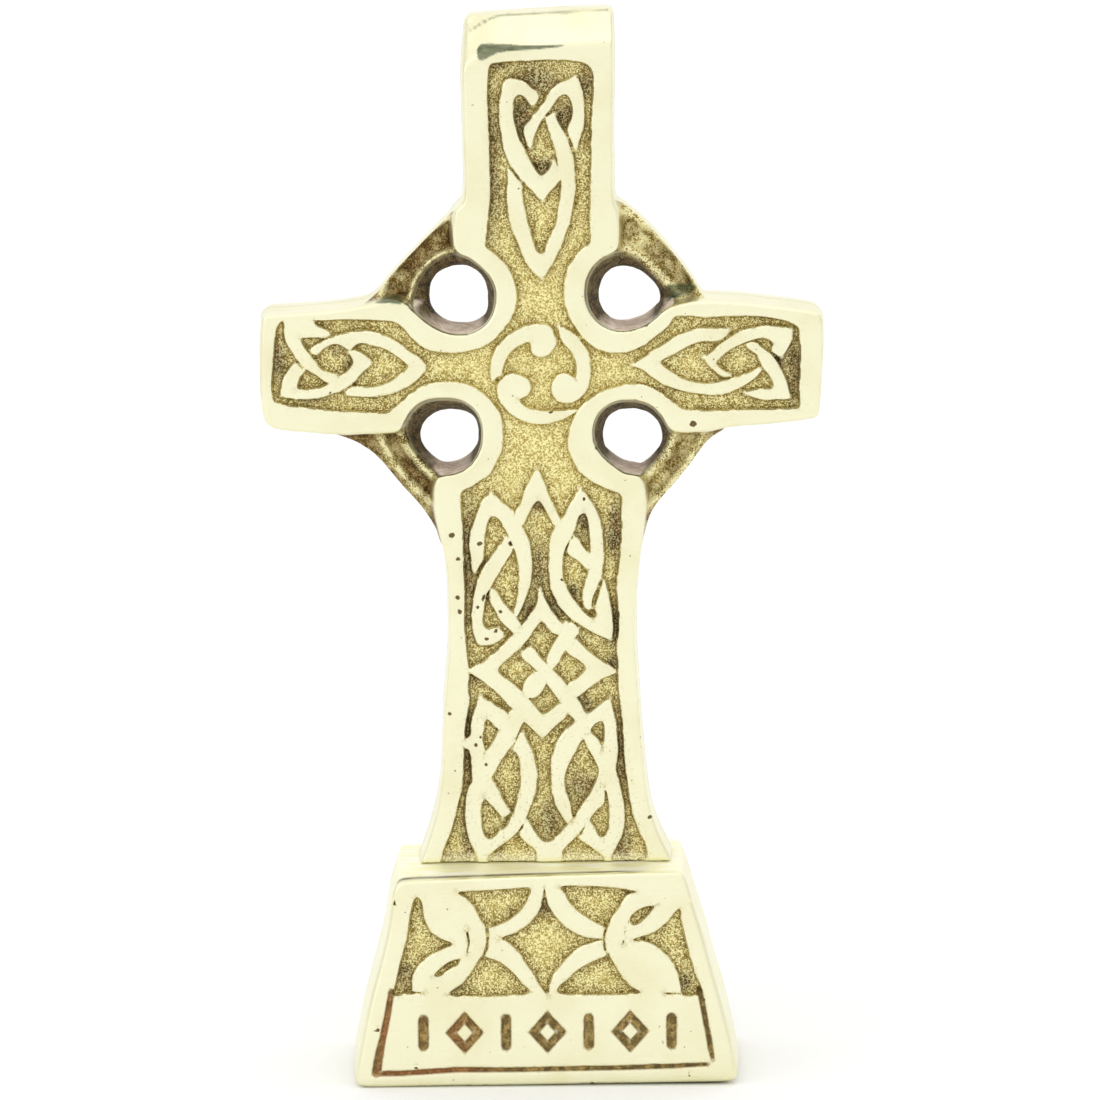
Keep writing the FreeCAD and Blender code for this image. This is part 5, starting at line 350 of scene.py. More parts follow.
     (3.95,31.88),(4.2,32.16),(4.64,32.72),(5.35,33.74),(5.52,33.93),(5.54,33.91),(5.53,33.87),(5.37,33.36),(4.93,32.41),(4.78,32.21),(4.37,31.86),
     (4.31,31.72),(4.32,31.63),(4.37,31.54),(4.44,31.48),(4.57,31.39),(4.96,31.2),(5.37,30.93),(6.13,30.35),(6.5,30.03),(6.87,29.78),(7.23,29.58),
     (7.34,29.5),(7.47,29.37),(7.64,29.13),(7.71,28.86),(7.76,28.48),(7.76,28.02),],
]
CROSS_FACE = [
    [
     (16.3,28.42),(16.39,28.46),(16.42,28.52),(16.41,28.62),(16.37,28.74),(16.07,29.42),(15.27,31.02),(14.74,32.22),(14.41,33.1),(14.27,33.62),
     (13.8,34.98),(13.68,35.46),(13.38,37.18),(13.21,38.42),(13.03,40.22),(12.97,40.7),(12.87,42.1),(12.49,46.1),(12.44,47.18),(12.37,47.94),(12.36,48.34),
     (12.32,48.66),(12.32,49.18),(12.28,49.54),(12.28,50.1),(12.24,50.42),(12.23,50.82),(12.16,51.58),(12.08,53.74),(12.01,54.58),(12,55.02),(11.96,55.42),
     (11.96,55.98),(11.88,57.18),(11.88,60.22),(11.92,60.74),(11.92,61.98),(11.96,62.38),(11.96,63.22),(12.37,67.86),(12.65,70.02),(12.87,71.5),
     (13.05,73.26),(13.31,75.38),(13.36,76.1),(13.36,77.46),(13.23,78.38),(13.16,78.66),(13.04,78.94),(12.82,79.26),(12.62,79.46),(12.5,79.53),
     (12.34,79.57),(11.06,79.79),(10.58,79.94),(10.34,80.05),(9.87,80.38),(8.65,81.34),(7.96,82.02),(7.66,82.38),(7.25,82.94),(7.07,83.26),(6.82,83.83),
     (6.67,84.46),(6.61,84.9),(6.61,85.46),(6.69,86.06),(6.81,86.54),(7.01,87.06),(7.15,87.34),(7.35,87.66),(7.48,87.82),(7.9,88.24),(8.2,88.5),
     (8.62,88.77),(8.98,88.95),(9.3,89.08),(9.82,89.22),(10.3,89.3),(10.54,89.32),(11.78,89.32),(12.42,89.22),(13.38,88.94),(13.66,88.83),(14.02,88.62),
     (14.3,88.43),(14.54,88.24),(15.26,87.46),(15.44,87.22),(15.7,86.78),(16.24,85.82),(16.5,85.5),(16.7,85.34),(16.86,85.26),(17.26,85.12),(17.66,85.05),
     (18.1,85.03),(18.86,85.04),(19.7,85.11),(20.34,85.12),(21.66,85.25),(22.14,85.33),(22.66,85.47),(23.66,85.67),(24.06,85.69),(25.54,85.88),
     (26.02,85.89),(27.26,86),(27.94,86),(30.06,86.17),(33.5,86.54),(34.98,86.77),(35.26,86.85),(35.62,87.05),(35.72,87.14),(35.79,87.26),(35.85,87.46),
     (35.9,87.74),(36.03,88.7),(36.09,89.62),(36.16,90.34),(36.2,91.62),(36.35,93.66),(36.36,94.18),(36.4,94.58),(36.4,95.14),(36.44,95.54),(36.44,99.02),
     (36.43,99.22),(36.38,99.5),(36.25,99.9),(36.15,100.14),(36.02,100.34),(35.9,100.46),(35.7,100.58),(35.46,100.67),(35.14,100.76),(34.58,100.89),
     (33.58,101.04),(32.78,101.18),(32.1,101.25),(31.34,101.38),(30.66,101.45),(28.9,101.7),(28.18,101.77),(27.22,101.91),(24.74,102.16),(24.22,102.16),
     (23.86,102.2),(23.42,102.2),(22.3,102.28),(21.82,102.29),(20.82,102.28),(19.22,102.15),(17.66,101.84),(16.78,101.58),(16.54,101.48),(16.1,101.25),
     (15.59,100.9),(15.22,100.59),(14.98,100.33),(14.82,100.18),(14.1,99.62),(13.58,99.26),(12.82,98.92),(11.74,98.59),(11.34,98.5),(10.82,98.44),
     (10.18,98.44),(9.62,98.48),(9.42,98.52),(8.74,98.76),(8.14,99.05),(7.74,99.3),(7.26,99.69),(7.13,99.82),(6.74,100.3),(6.53,100.58),(6.31,100.98),
     (6.08,101.46),(5.84,102.22),(5.77,102.58),(5.73,103.06),(5.72,103.62),(5.81,104.54),(5.94,105.14),(6.12,105.62),(6.34,106.06),(6.71,106.66),
     (7.04,107.06),(7.61,107.58),(7.9,107.8),(8.46,108.09),(9.18,108.4),(9.54,108.62),(9.78,108.82),(9.94,109.05),(10.05,109.3),(10.11,109.54),
     (10.16,109.94),(10.16,110.38),(10.2,110.78),(10.2,111.5),(10.16,111.9),(10.15,112.7),(10.07,113.58),(10.01,113.94),(9.91,114.34),(9.85,114.5),
     (9.66,114.86),(9.54,115.19),(9.49,115.54),(9.4,116.66),(9.4,117.54),(9.36,118.1),(9.36,119.1),(9.4,119.5),(9.4,119.98),(9.4,120.94),(9.36,121.46),
     (9.36,125.26),(9.4,125.86),(9.4,127.66),(9.44,128.22),(9.44,129.94),(9.48,130.42),(9.48,131.9),(9.52,132.34),(9.52,133.3),(9.52,133.5),(9.52,133.7),
     (9.51,134.38),(9.51,134.66),(9.51,135.1),(9.51,135.22),(9.51,135.3),(9.51,135.5),(9.5,137.42),(9.5,137.62),(9.5,137.86),(9.5,139.1),(9.48,139.3),
     (9.39,139.62),(9.32,139.74),(9.24,139.82),(9.06,139.94),(8.94,139.99),(8.78,140),(7.9,140),(7.46,139.96),(6.66,139.96),(6.26,139.92),(5.46,139.92),
     (5.02,139.88),(4.18,139.88),(3.82,139.84),(3.38,139.84),(3.02,139.8),(1.74,139.75),(1.42,139.72),(0.98,139.72),(0.62,139.68),(0.18,139.68),
     (-0.18,139.64),(-0.62,139.64),(-0.98,139.6),(-1.42,139.6),(-1.78,139.56),(-2.22,139.56),(-2.58,139.52),(-3.02,139.52),(-3.38,139.48),(-3.82,139.48),
     (-4.14,139.44),(-4.54,139.44),(-4.82,139.41),(-5.22,139.4),(-5.5,139.37),(-5.9,139.35),(-8.66,139.18),(-8.78,139.14),(-8.99,139.02),(-9.18,138.87),
     (-9.31,138.66),(-9.5,138.18),(-9.55,137.9),(-9.6,137.38),(-9.69,135.58),(-9.79,134.58),(-9.84,133.94),(-9.84,133.42),(-9.88,132.94),(-9.88,129.74),
     (-9.84,129.26),(-9.84,126.74),(-9.8,126.26),(-9.8,124.98),(-9.76,124.58),(-9.76,123.34),(-9.72,122.9),(-9.72,120.5),(-9.68,119.9),(-9.68,117.54),
     (-9.77,116.22),(-9.84,115.62),(-9.9,115.42),(-9.97,115.26),(-10.08,115.1),(-10.21,114.94),(-10.7,114.55),(-10.89,114.34),(-11.04,114.06),
     (-11.15,113.66),(-11.27,113.1),(-11.36,111.94),(-11.36,111.02),(-11.32,110.62),(-11.31,110.02),(-11.27,109.62),(-11.22,109.42),(-11.03,109.02),
     (-10.87,108.82),(-10.58,108.58),(-10.42,108.47),(-9.54,108.14),(-9.06,107.86),(-8.82,107.7),(-8.15,107.18),(-7.92,106.98),(-6.93,105.98),
     (-6.64,105.58),(-6.45,105.26),(-6.22,104.78),(-6.03,104.18),(-5.93,103.62),(-5.92,103.06),(-5.98,102.3),(-6.14,101.54),(-6.39,100.74),(-6.48,100.54),
     (-6.84,99.98),(-7.29,99.42),(-7.7,99.09),(-8.17,98.78),(-8.58,98.57),(-9.02,98.39),(-9.58,98.24),(-9.98,98.17),(-10.78,98.16),(-11.02,98.17),
     (-11.74,98.27),(-12.62,98.52),(-13.16,98.74),(-13.98,99.19),(-14.74,99.7),(-15.38,100.21),(-16.52,101.26),(-17.18,102.03),(-17.34,102.18),
     (-17.6,102.34),(-18.1,102.58),(-18.34,102.65),(-18.7,102.71),(-19.14,102.71),(-20.02,102.54),(-20.66,102.46),(-21.54,102.3),(-22.74,102.05),
     (-25.18,101.66),(-27.02,101.45),(-28.62,101.28),(-30.82,101.16),(-32.22,101.05),(-33.78,101),(-34.1,100.97),(-34.54,100.96),(-35.18,100.92),
     (-35.58,100.86),(-35.73,100.82),(-35.89,100.7),(-36.01,100.54),(-36.1,100.34),(-36.15,100.14),(-36.23,99.18),(-36.44,95.78),(-36.44,90.54),
     (-36.27,88.66),(-36.22,88.3),(-36.1,87.62),(-35.99,87.3),(-35.72,86.78),(-35.58,86.63),(-35.26,86.36),(-34.9,86.17),(-34.58,86.05),(-33.94,85.91),
     (-33.3,85.81),(-32.02,85.65),(-31.5,85.63),(-28.06,85.29),(-27.62,85.28),(-27.3,85.24),(-26.42,85.24),(-25.94,85.2),(-24.7,85.2),(-24.26,85.24),
     (-23.5,85.24),(-23.1,85.28),(-21.26,85.28),(-20.78,85.32),(-19.66,85.33),(-19.02,85.4),(-18.86,85.44),(-18.54,85.58),(-18.27,85.78),(-18.13,85.98),
     (-17.63,87.06),(-17.22,87.8),(-16.98,88.14),(-16.82,88.32),(-16.34,88.79),(-15.98,89.06),(-15.46,89.34),(-14.98,89.54),(-14.7,89.62),(-14.26,89.7),
     (-13.46,89.8),(-12.26,89.8),(-11.46,89.73),(-10.7,89.55),(-10.42,89.44),(-9.98,89.22),(-9.54,88.95),(-9.37,88.82),(-8.96,88.46),(-8.49,87.86),
     (-8.27,87.46),(-8.06,86.94),(-7.94,86.38),(-7.84,85.62),(-7.84,84.82),(-7.9,84.26),(-7.99,83.7),(-8.12,83.22),(-8.41,82.58),(-8.61,82.18),
     (-8.74,81.98),(-9.24,81.3),(-9.38,81.14),(-10.06,80.61),(-10.38,80.4),(-11.14,80.08),(-11.34,80.02),(-11.86,79.89),(-13.22,79.69),(-13.42,79.64),
     (-13.55,79.58),(-13.74,79.4),(-13.88,79.18),(-14,78.82),(-14.07,78.5),(-14.12,78.1),(-14.12,77.62),(-14.15,77.22),(-14.12,76.86),(-14.12,76.18),
     (-13.99,74.9),(-13.74,73.58),(-13.59,73.02),(-13.09,70.86),(-12.62,68.18),(-12.45,66.7),(-12.44,65.9),(-12.36,64.98),(-12.36,64.26),(-12.32,63.78),
     (-12.32,58.66),(-12.36,58.14),(-12.36,57.18),(-12.49,55.22),(-12.63,53.94),(-12.85,51.18),(-13.04,49.26),(-13.04,48.3),(-13.12,47.14),(-13.12,46.06),
     (-13.28,43.7),(-13.28,42.82),(-13.4,41.26),(-13.4,40.54),(-13.49,39.5),(-13.54,39.1),(-13.72,38.06),(-13.83,37.3),(-14.02,36.42),(-14.11,35.86),
     (-14.22,35.43),(-14.34,34.86),(-14.67,33.82),(-15.21,31.94),(-15.68,30.66),(-15.92,29.9),(-16.47,28.62),(-16.48,28.54),(-16.46,28.47),(-16.38,28.43),
     (-16.3,28.41),(-15.9,28.4),(15.82,28.4),],
]
CROSS_EDGE = [
    [
     (-16.38,28.43),(-16.22,28.41),(-15.86,28.4),(15.86,28.4),(16.22,28.41),(16.3,28.42),(16.39,28.46),(16.42,28.5),(16.42,28.58),(16.32,28.86),
     (16.07,29.42),(15.27,31.02),(14.72,32.26),(14.41,33.1),(14.27,33.62),(13.8,34.98),(13.7,35.38),(13.38,37.18),(13.21,38.38),(13.03,40.22),(12.97,40.7),
     (12.87,42.1),(12.48,46.14),(12.44,47.18),(12.37,47.94),(12.36,48.34),(12.32,48.66),(12.32,49.18),(12.28,49.58),(12.28,50.1),(12.24,50.42),
     (12.23,50.82),(12.16,51.58),(12.08,53.74),(12.01,54.58),(12,55.02),(11.96,55.42),(11.96,55.98),(11.88,57.14),(11.88,60.22),(11.92,60.74),
     (11.92,61.98),(11.96,62.38),(11.96,63.22),(12.13,65.22),(12.19,65.74),(12.25,66.58),(12.41,68.22),(12.6,69.5),(12.73,69.9),(13.12,71.38),
     (13.65,72.98),(14.1,74.22),(14.38,74.7),(14.94,75.56),(15.82,76.63),(17.31,78.26),(19.02,80.34),(20.25,82.06),(21.21,83.34),(21.42,83.53),
     (22.3,84.22),(23.46,84.88),(23.61,84.98),(23.68,85.1),(23.67,85.5),(23.69,85.58),(23.74,85.63),(23.86,85.67),(25.5,85.87),(26.02,85.89),(27.26,86),
     (27.94,86),(30.06,86.17),(33.74,86.57),(34.98,86.77),(35.22,86.84),(35.54,86.99),(35.68,87.1),(35.79,87.26),(35.85,87.46),(35.94,87.98),(36.03,88.66),
     (36.09,89.62),(36.16,90.34),(36.2,91.62),(36.36,93.7),(36.36,94.18),(36.4,94.58),(36.4,95.14),(36.44,95.62),(36.43,99.18),(36.38,99.5),(36.25,99.9),
     (36.13,100.18),(35.99,100.38),(35.82,100.52),(35.58,100.63),(35.18,100.75),(34.7,100.86),(33.54,101.04),(32.98,101.15),(32.06,101.26),(31.3,101.39),
     (30.66,101.45),(28.9,101.7),(28.18,101.77),(27.26,101.91),(24.78,102.15),(23.42,102.2),(22.3,102.28),(21.46,102.28),(21.34,102.3),(21.26,102.34),
     (21.11,102.5),(20.41,103.42),(19.82,104.54),(18.74,106.1),(17.65,107.54),(16.03,109.62),(14.48,111.3),(13.66,112.12),(13.32,112.42),(12.54,113.19),
     (10.98,114.49),(10.78,114.63),(10.1,114.98),(9.62,115.38),(9.53,115.5),(9.48,115.66),(9.4,116.62),(9.4,117.54),(9.37,117.9),(9.36,118.22),
     (9.36,119.1),(9.39,119.46),(9.4,119.78),(9.4,120.94),(9.36,121.46),(9.36,125.34),(9.4,125.82),(9.4,127.7),(9.44,128.18),(9.44,129.94),(9.48,130.42),
     (9.48,131.9),(9.52,132.38),(9.52,133.38),(9.52,133.54),(9.52,133.66),(9.51,134.34),(9.51,134.66),(9.51,135.1),(9.51,135.22),(9.51,135.3),(9.51,135.5),
     (9.5,137.42),(9.5,137.62),(9.5,137.86),(9.5,139.1),(9.48,139.3),(9.4,139.58),(9.35,139.7),(9.26,139.8),(9.1,139.92),(8.94,139.99),(8.78,140),
     (7.9,140),(7.46,139.96),(6.66,139.96),(6.26,139.92),(5.46,139.92),(5.02,139.88),(4.18,139.88),(3.82,139.84),(3.38,139.84),(2.22,139.76),(1.78,139.76),
     (1.42,139.72),(0.98,139.72),(-0.18,139.64),(-0.62,139.64),(-0.94,139.6),(-2.22,139.56),(-2.58,139.52),(-3.82,139.48),(-5.5,139.37),(-5.9,139.35),
     (-6.82,139.28),(-8.62,139.19),(-8.82,139.12),(-9.14,138.91),(-9.27,138.74),(-9.46,138.3),(-9.51,138.14),(-9.55,137.9),(-9.63,136.78),(-9.69,135.58),
     (-9.79,134.58),(-9.84,133.98),(-9.84,133.42),(-9.88,133.02),(-9.88,129.74),(-9.84,129.22),(-9.84,126.7),(-9.8,126.26),(-9.8,125.02),(-9.76,124.62),
     (-9.76,123.34),(-9.72,122.86),(-9.72,120.5),(-9.68,119.94),(-9.68,117.66),(-9.72,116.78),(-9.81,115.82),(-9.86,115.54),(-9.94,115.36),(-11.12,114.18),
     (-12.12,113.06),(-15.4,109.78),(-15.76,109.38),(-17.38,107.76),(-17.7,107.4),(-18.36,106.74),(-19.75,105.18),(-20.97,103.58),(-22.1,102.61),
     (-22.9,102.11),(-23.07,102.02),(-23.26,101.97),(-25.22,101.66),(-27.34,101.41),(-28.58,101.29),(-30.82,101.16),(-32.22,101.05),(-32.86,101.04),
     (-33.22,101),(-33.78,101),(-34.14,100.96),(-34.58,100.95),(-35.22,100.91),(-35.54,100.87),(-35.74,100.81),(-35.93,100.66),(-36.03,100.5),
     (-36.13,100.22),(-36.19,99.74),(-36.23,99.18),(-36.44,95.78),(-36.44,90.58),(-36.27,88.66),(-36.12,87.7),(-36.06,87.5),(-35.99,87.3),(-35.79,86.9),
     (-35.69,86.74),(-35.3,86.39),(-34.92,86.18),(-34.58,86.05),(-33.9,85.91),(-32.02,85.65),(-31.5,85.63),(-28.06,85.29),(-27.62,85.28),(-27.02,85.22),
     (-26.94,85.18),(-26.91,85.14),(-26.86,84.89),(-26.81,84.82),(-26.74,84.77),(-25.1,84.17),(-24.1,83.75),(-22.3,82.57),(-21.4,81.74),(-20.82,81.15),
     (-18.34,78.1),(-16.82,76.43),(-15.72,75.1),(-14.68,73.54),(-13.95,72.26),(-13.83,71.98),(-13.52,70.94),(-13.42,70.66),(-13.34,70.57),(-13.09,70.46),
     (-13.03,70.38),(-13,70.3),(-12.62,68.14),(-12.45,66.66),(-12.44,65.9),(-12.37,65.02),(-12.36,64.26),(-12.32,63.82),(-12.32,58.62),(-12.36,58.14),
     (-12.36,57.18),(-12.48,55.26),(-12.63,53.94),(-12.85,51.18),(-13.04,49.26),(-13.04,48.3),(-13.12,47.14),(-13.12,46.06),(-13.28,43.7),(-13.28,42.82),
     (-13.39,41.3),(-13.4,40.58),(-13.45,39.98),(-13.53,39.14),(-13.73,38.02),(-13.82,37.38),(-14.02,36.42),(-14.11,35.86),(-14.22,35.42),(-14.33,34.9),
     (-14.67,33.82),(-15.22,31.92),(-15.68,30.66),(-15.92,29.9),(-16.47,28.62),(-16.48,28.5),(-16.45,28.46),],
    [
     (17.41,102.17),(17.31,101.76),(16.84,101.58),(16.38,101.38),(15.95,101.13),(15.54,100.84),(15.16,100.52),(14.81,100.16),(14.42,99.83),(14.01,99.55),
     (13.6,99.27),(13.15,99.05),(12.68,98.87),(12.21,98.7),(11.72,98.58),(11.23,98.49),(10.73,98.44),(10.23,98.44),(9.73,98.47),(9.24,98.58),(8.77,98.75),
     (8.31,98.96),(7.88,99.21),(7.47,99.51),(7.1,99.85),(6.78,100.23),(6.5,100.64),(6.26,101.08),(6.05,101.54),(5.89,102.02),(5.78,102.51),(5.73,103),
     (5.72,103.51),(5.74,104.01),(5.81,104.5),(5.9,105),(6.06,105.47),(6.27,105.93),(6.51,106.36),(6.8,106.78),(7.13,107.15),(7.5,107.49),(7.9,107.79),
     (8.34,108.03),(8.83,108.15),(9.33,108.21),(9.83,108.26),(10.32,108.19),(10.81,108.1),(11.29,107.97),(11.75,107.75),(12.18,107.5),(12.59,107.21),
     (12.99,106.91),(13.35,106.56),(13.67,106.18),(14.05,105.85),(14.41,105.5),(14.73,105.11),(15.08,104.76),(15.42,104.39),(15.72,103.98),(16.06,103.61),
     (16.42,103.27),(16.8,102.94),(17.19,102.63),],
    [
     (-9.41,108.07),(-8.98,107.81),(-8.56,107.52),(-8.17,107.2),(-7.78,106.88),(-7.41,106.54),(-7.07,106.16),(-6.76,105.76),(-6.49,105.33),(-6.26,104.88),
     (-6.09,104.41),(-5.97,103.92),(-5.92,103.41),(-5.92,102.91),(-5.97,102.4),(-6.04,101.9),(-6.17,101.41),(-6.31,100.93),(-6.52,100.47),(-6.79,100.04),
     (-7.1,99.64),(-7.45,99.28),(-7.85,98.98),(-8.29,98.71),(-8.74,98.5),(-9.22,98.33),(-9.71,98.21),(-10.21,98.15),(-10.72,98.15),(-11.22,98.19),
     (-11.72,98.26),(-12.21,98.39),(-12.69,98.55),(-13.16,98.74),(-13.61,98.97),(-14.04,99.23),(-14.47,99.51),(-14.88,99.8),(-15.28,100.11),
     (-15.68,100.42),(-16.06,100.76),(-16.4,101.12),(-16.7,101.52),(-16.79,102.02),(-16.73,102.52),(-16.61,103.01),(-16.48,103.5),(-16.34,103.99),
     (-16.16,104.46),(-15.95,104.92),(-15.7,105.36),(-15.42,105.78),(-15.1,106.17),(-14.77,106.55),(-14.42,106.92),(-14.04,107.25),(-13.63,107.55),
     (-13.19,107.8),(-12.73,108),(-12.24,108.15),(-11.75,108.26),(-11.31,108.48),(-10.84,108.56),(-10.35,108.43),(-9.87,108.28),],
    [
     (11.41,79.7),(10.92,79.83),(10.45,79.99),(10.02,80.26),(9.61,80.54),(9.2,80.83),(8.84,81.18),(8.46,81.51),(8.1,81.86),(7.77,82.24),(7.46,82.63),
     (7.19,83.05),(6.95,83.5),(6.78,83.97),(6.67,84.46),(6.6,84.96),(6.61,85.46),(6.67,85.96),(6.78,86.45),(6.95,86.92),(7.18,87.37),(7.45,87.79),
     (7.8,88.15),(8.18,88.48),(8.6,88.76),(9.05,88.98),(9.53,89.14),(10.02,89.26),(10.51,89.32),(11.02,89.36),(11.52,89.34),(12.02,89.29),(12.51,89.2),
     (13,89.07),(13.47,88.9),(13.92,88.68),(14.34,88.4),(14.71,88.07),(15.06,87.7),(15.37,87.31),(15.64,86.89),(15.91,86.46),(16.15,86.02),(16.39,85.58),
     (16.59,85.12),(16.54,84.62),(16.43,84.13),(16.27,83.66),(16.09,83.19),(15.86,82.74),(15.59,82.32),(15.31,81.9),(15.01,81.5),(14.66,81.14),
     (14.35,80.75),(14,80.39),(13.63,80.04),(13.29,79.68),(12.87,79.4),(12.4,79.55),(11.9,79.61),],
    [
     (-17.23,87.78),(-16.94,88.18),(-16.59,88.55),(-16.22,88.89),(-15.8,89.17),(-15.35,89.39),(-14.88,89.57),(-14.39,89.68),(-13.89,89.76),(-13.39,89.8),
     (-12.88,89.83),(-12.38,89.81),(-11.88,89.78),(-11.38,89.71),(-10.89,89.6),(-10.41,89.44),(-9.96,89.21),(-9.53,88.94),(-9.14,88.63),(-8.79,88.26),
     (-8.49,87.86),(-8.25,87.42),(-8.07,86.95),(-7.95,86.46),(-7.87,85.96),(-7.83,85.46),(-7.83,84.95),(-7.87,84.45),(-7.94,83.95),(-8.05,83.46),
     (-8.22,82.99),(-8.43,82.53),(-8.67,82.09),(-8.94,81.66),(-9.26,81.27),(-9.62,80.92),(-10.02,80.62),(-10.46,80.36),(-10.92,80.15),(-11.39,80),
     (-11.88,79.88),(-12.37,79.76),(-12.87,79.7),(-13.37,79.64),(-13.85,79.74),(-14.24,80.06),(-14.58,80.42),(-14.97,80.75),(-15.32,81.11),(-15.65,81.49),
     (-16,81.85),(-16.31,82.25),(-16.59,82.67),(-16.88,83.07),(-17.13,83.51),(-17.35,83.97),(-17.56,84.42),(-17.74,84.89),(-17.88,85.38),(-17.86,85.88),
     (-17.78,86.38),(-17.65,86.86),(-17.49,87.34),],
]
CROSS_OPEN = [
    [
     (-13.68,105.17),(-13.52,105.36),(-13.34,105.52),(-13.13,105.67),(-12.68,105.93),(-12.21,106.13),(-11.96,106.21),(-11.42,106.34),(-10.88,106.42),
     (-10.43,106.46),(-10.03,106.47),(-9.85,106.45),(-9.47,106.37),(-9.28,106.3),(-9.07,106.2),(-8.68,105.97),(-8.49,105.84),(-8.14,105.56),(-7.81,105.22),
     (-7.66,105.04),(-7.41,104.65),(-7.31,104.43),(-7.23,104.2),(-7.12,103.71),(-7,102.95),(-6.98,102.4),(-6.98,101.88),(-7,101.2),(-7.04,100.82),
     (-7.13,100.46),(-7.27,100.1),(-7.46,99.77),(-7.58,99.62),(-7.72,99.48),(-8.06,99.23),(-8.47,99.02),(-8.68,98.95),(-8.9,98.9),(-9.13,98.88),
     (-9.36,98.89),(-10.33,99.04),(-11.3,99.1),(-11.77,99.19),(-12.22,99.36),(-12.66,99.58),(-13.06,99.85),(-13.43,100.16),(-13.76,100.51),(-13.9,100.71),
     (-14.13,101.12),(-14.28,101.59),(-14.33,101.84),(-14.4,102.35),(-14.41,102.92),(-14.39,103.21),(-14.31,103.79),(-14.25,104.05),(-14.07,104.54),
     (-13.96,104.76),],
    [
     (8.72,105.44),(8.89,105.58),(9.25,105.81),(9.45,105.9),(9.87,106.04),(10.09,106.08),(10.56,106.13),(11.06,106.12),(11.33,106.09),(11.86,105.99),
     (12.12,105.92),(12.62,105.7),(13.33,105.27),(13.74,104.97),(14.11,104.68),(14.58,104.19),(14.99,103.63),(15.21,103.22),(15.29,103.01),(15.38,102.55),
     (15.39,102.31),(15.38,101.81),(15.29,101.32),(15.23,101.07),(15.05,100.57),(14.94,100.34),(14.81,100.13),(14.67,99.95),(14.51,99.79),(14.15,99.51),
     (13.77,99.29),(13.57,99.19),(13.36,99.11),(12.93,98.99),(12.46,98.91),(11.96,98.86),(11.43,98.84),(11.16,98.85),(10.63,98.92),(10.09,99.03),
     (9.58,99.21),(9.34,99.33),(9.11,99.47),(8.9,99.65),(8.69,99.84),(8.33,100.25),(8.05,100.66),(7.94,100.87),(7.84,101.08),(7.71,101.53),(7.63,102.01),
     (7.61,102.27),(7.61,102.81),(7.67,103.34),(7.74,103.61),(7.91,104.16),(8.14,104.68),(8.27,104.9),(8.41,105.1),],
    [
     (-9.65,80.93),(-9.85,80.81),(-10.27,80.62),(-10.77,80.47),(-11.31,80.37),(-11.58,80.36),(-11.84,80.37),(-12.09,80.41),(-12.33,80.47),(-12.8,80.66),
     (-13.52,81.05),(-14.27,81.59),(-14.7,81.98),(-15.07,82.36),(-15.37,82.76),(-15.5,82.96),(-15.68,83.39),(-15.78,83.83),(-15.81,84.06),(-15.81,84.49),
     (-15.79,84.7),(-15.7,85.1),(-15.63,85.3),(-15.44,85.68),(-15.18,86.05),(-15.03,86.23),(-14.69,86.57),(-14.52,86.72),(-14.14,86.99),(-13.74,87.2),
     (-13.33,87.37),(-13.12,87.43),(-12.7,87.51),(-12.03,87.56),(-11.51,87.55),(-10.96,87.5),(-10.46,87.41),(-10.02,87.3),(-9.63,87.14),(-9.45,87.05),
     (-9.29,86.94),(-9,86.68),(-8.88,86.53),(-8.67,86.19),(-8.51,85.82),(-8.4,85.41),(-8.34,84.95),(-8.33,84.69),(-8.34,84.41),(-8.39,83.78),(-8.48,83.14),
     (-8.55,82.85),(-8.7,82.31),(-8.9,81.82),(-9.02,81.6),(-9.15,81.4),(-9.3,81.22),],
    [
     (8.63,86.33),(8.79,86.52),(8.98,86.69),(9.42,87.02),(9.92,87.28),(10.17,87.36),(10.42,87.41),(10.93,87.42),(12.89,87.27),(13.17,87.22),(13.43,87.14),
     (13.68,87.03),(13.92,86.89),(14.36,86.57),(14.73,86.2),(14.89,86),(15.03,85.79),(15.27,85.33),(15.51,84.66),(15.61,84.22),(15.64,84),(15.63,83.56),
     (15.53,83.12),(15.45,82.89),(15.23,82.46),(14.94,82.03),(14.76,81.81),(14.56,81.59),(14.14,81.18),(13.69,80.82),(13.2,80.48),(12.95,80.34),
     (12.71,80.23),(12.47,80.15),(12.25,80.12),(12.04,80.12),(11.62,80.21),(10.65,80.56),(10.1,80.81),(9.84,80.95),(9.6,81.1),(9.16,81.42),(8.75,81.77),
     (8.58,81.97),(8.43,82.17),(8.31,82.39),(8.22,82.62),(8.09,83.11),(8.01,83.62),(7.99,84.15),(8.03,84.69),(8.07,84.96),(8.13,85.2),(8.28,85.68),
     (8.5,86.12),],
]
CROSS_RING_CENTRE = (-0.09, 93.50)
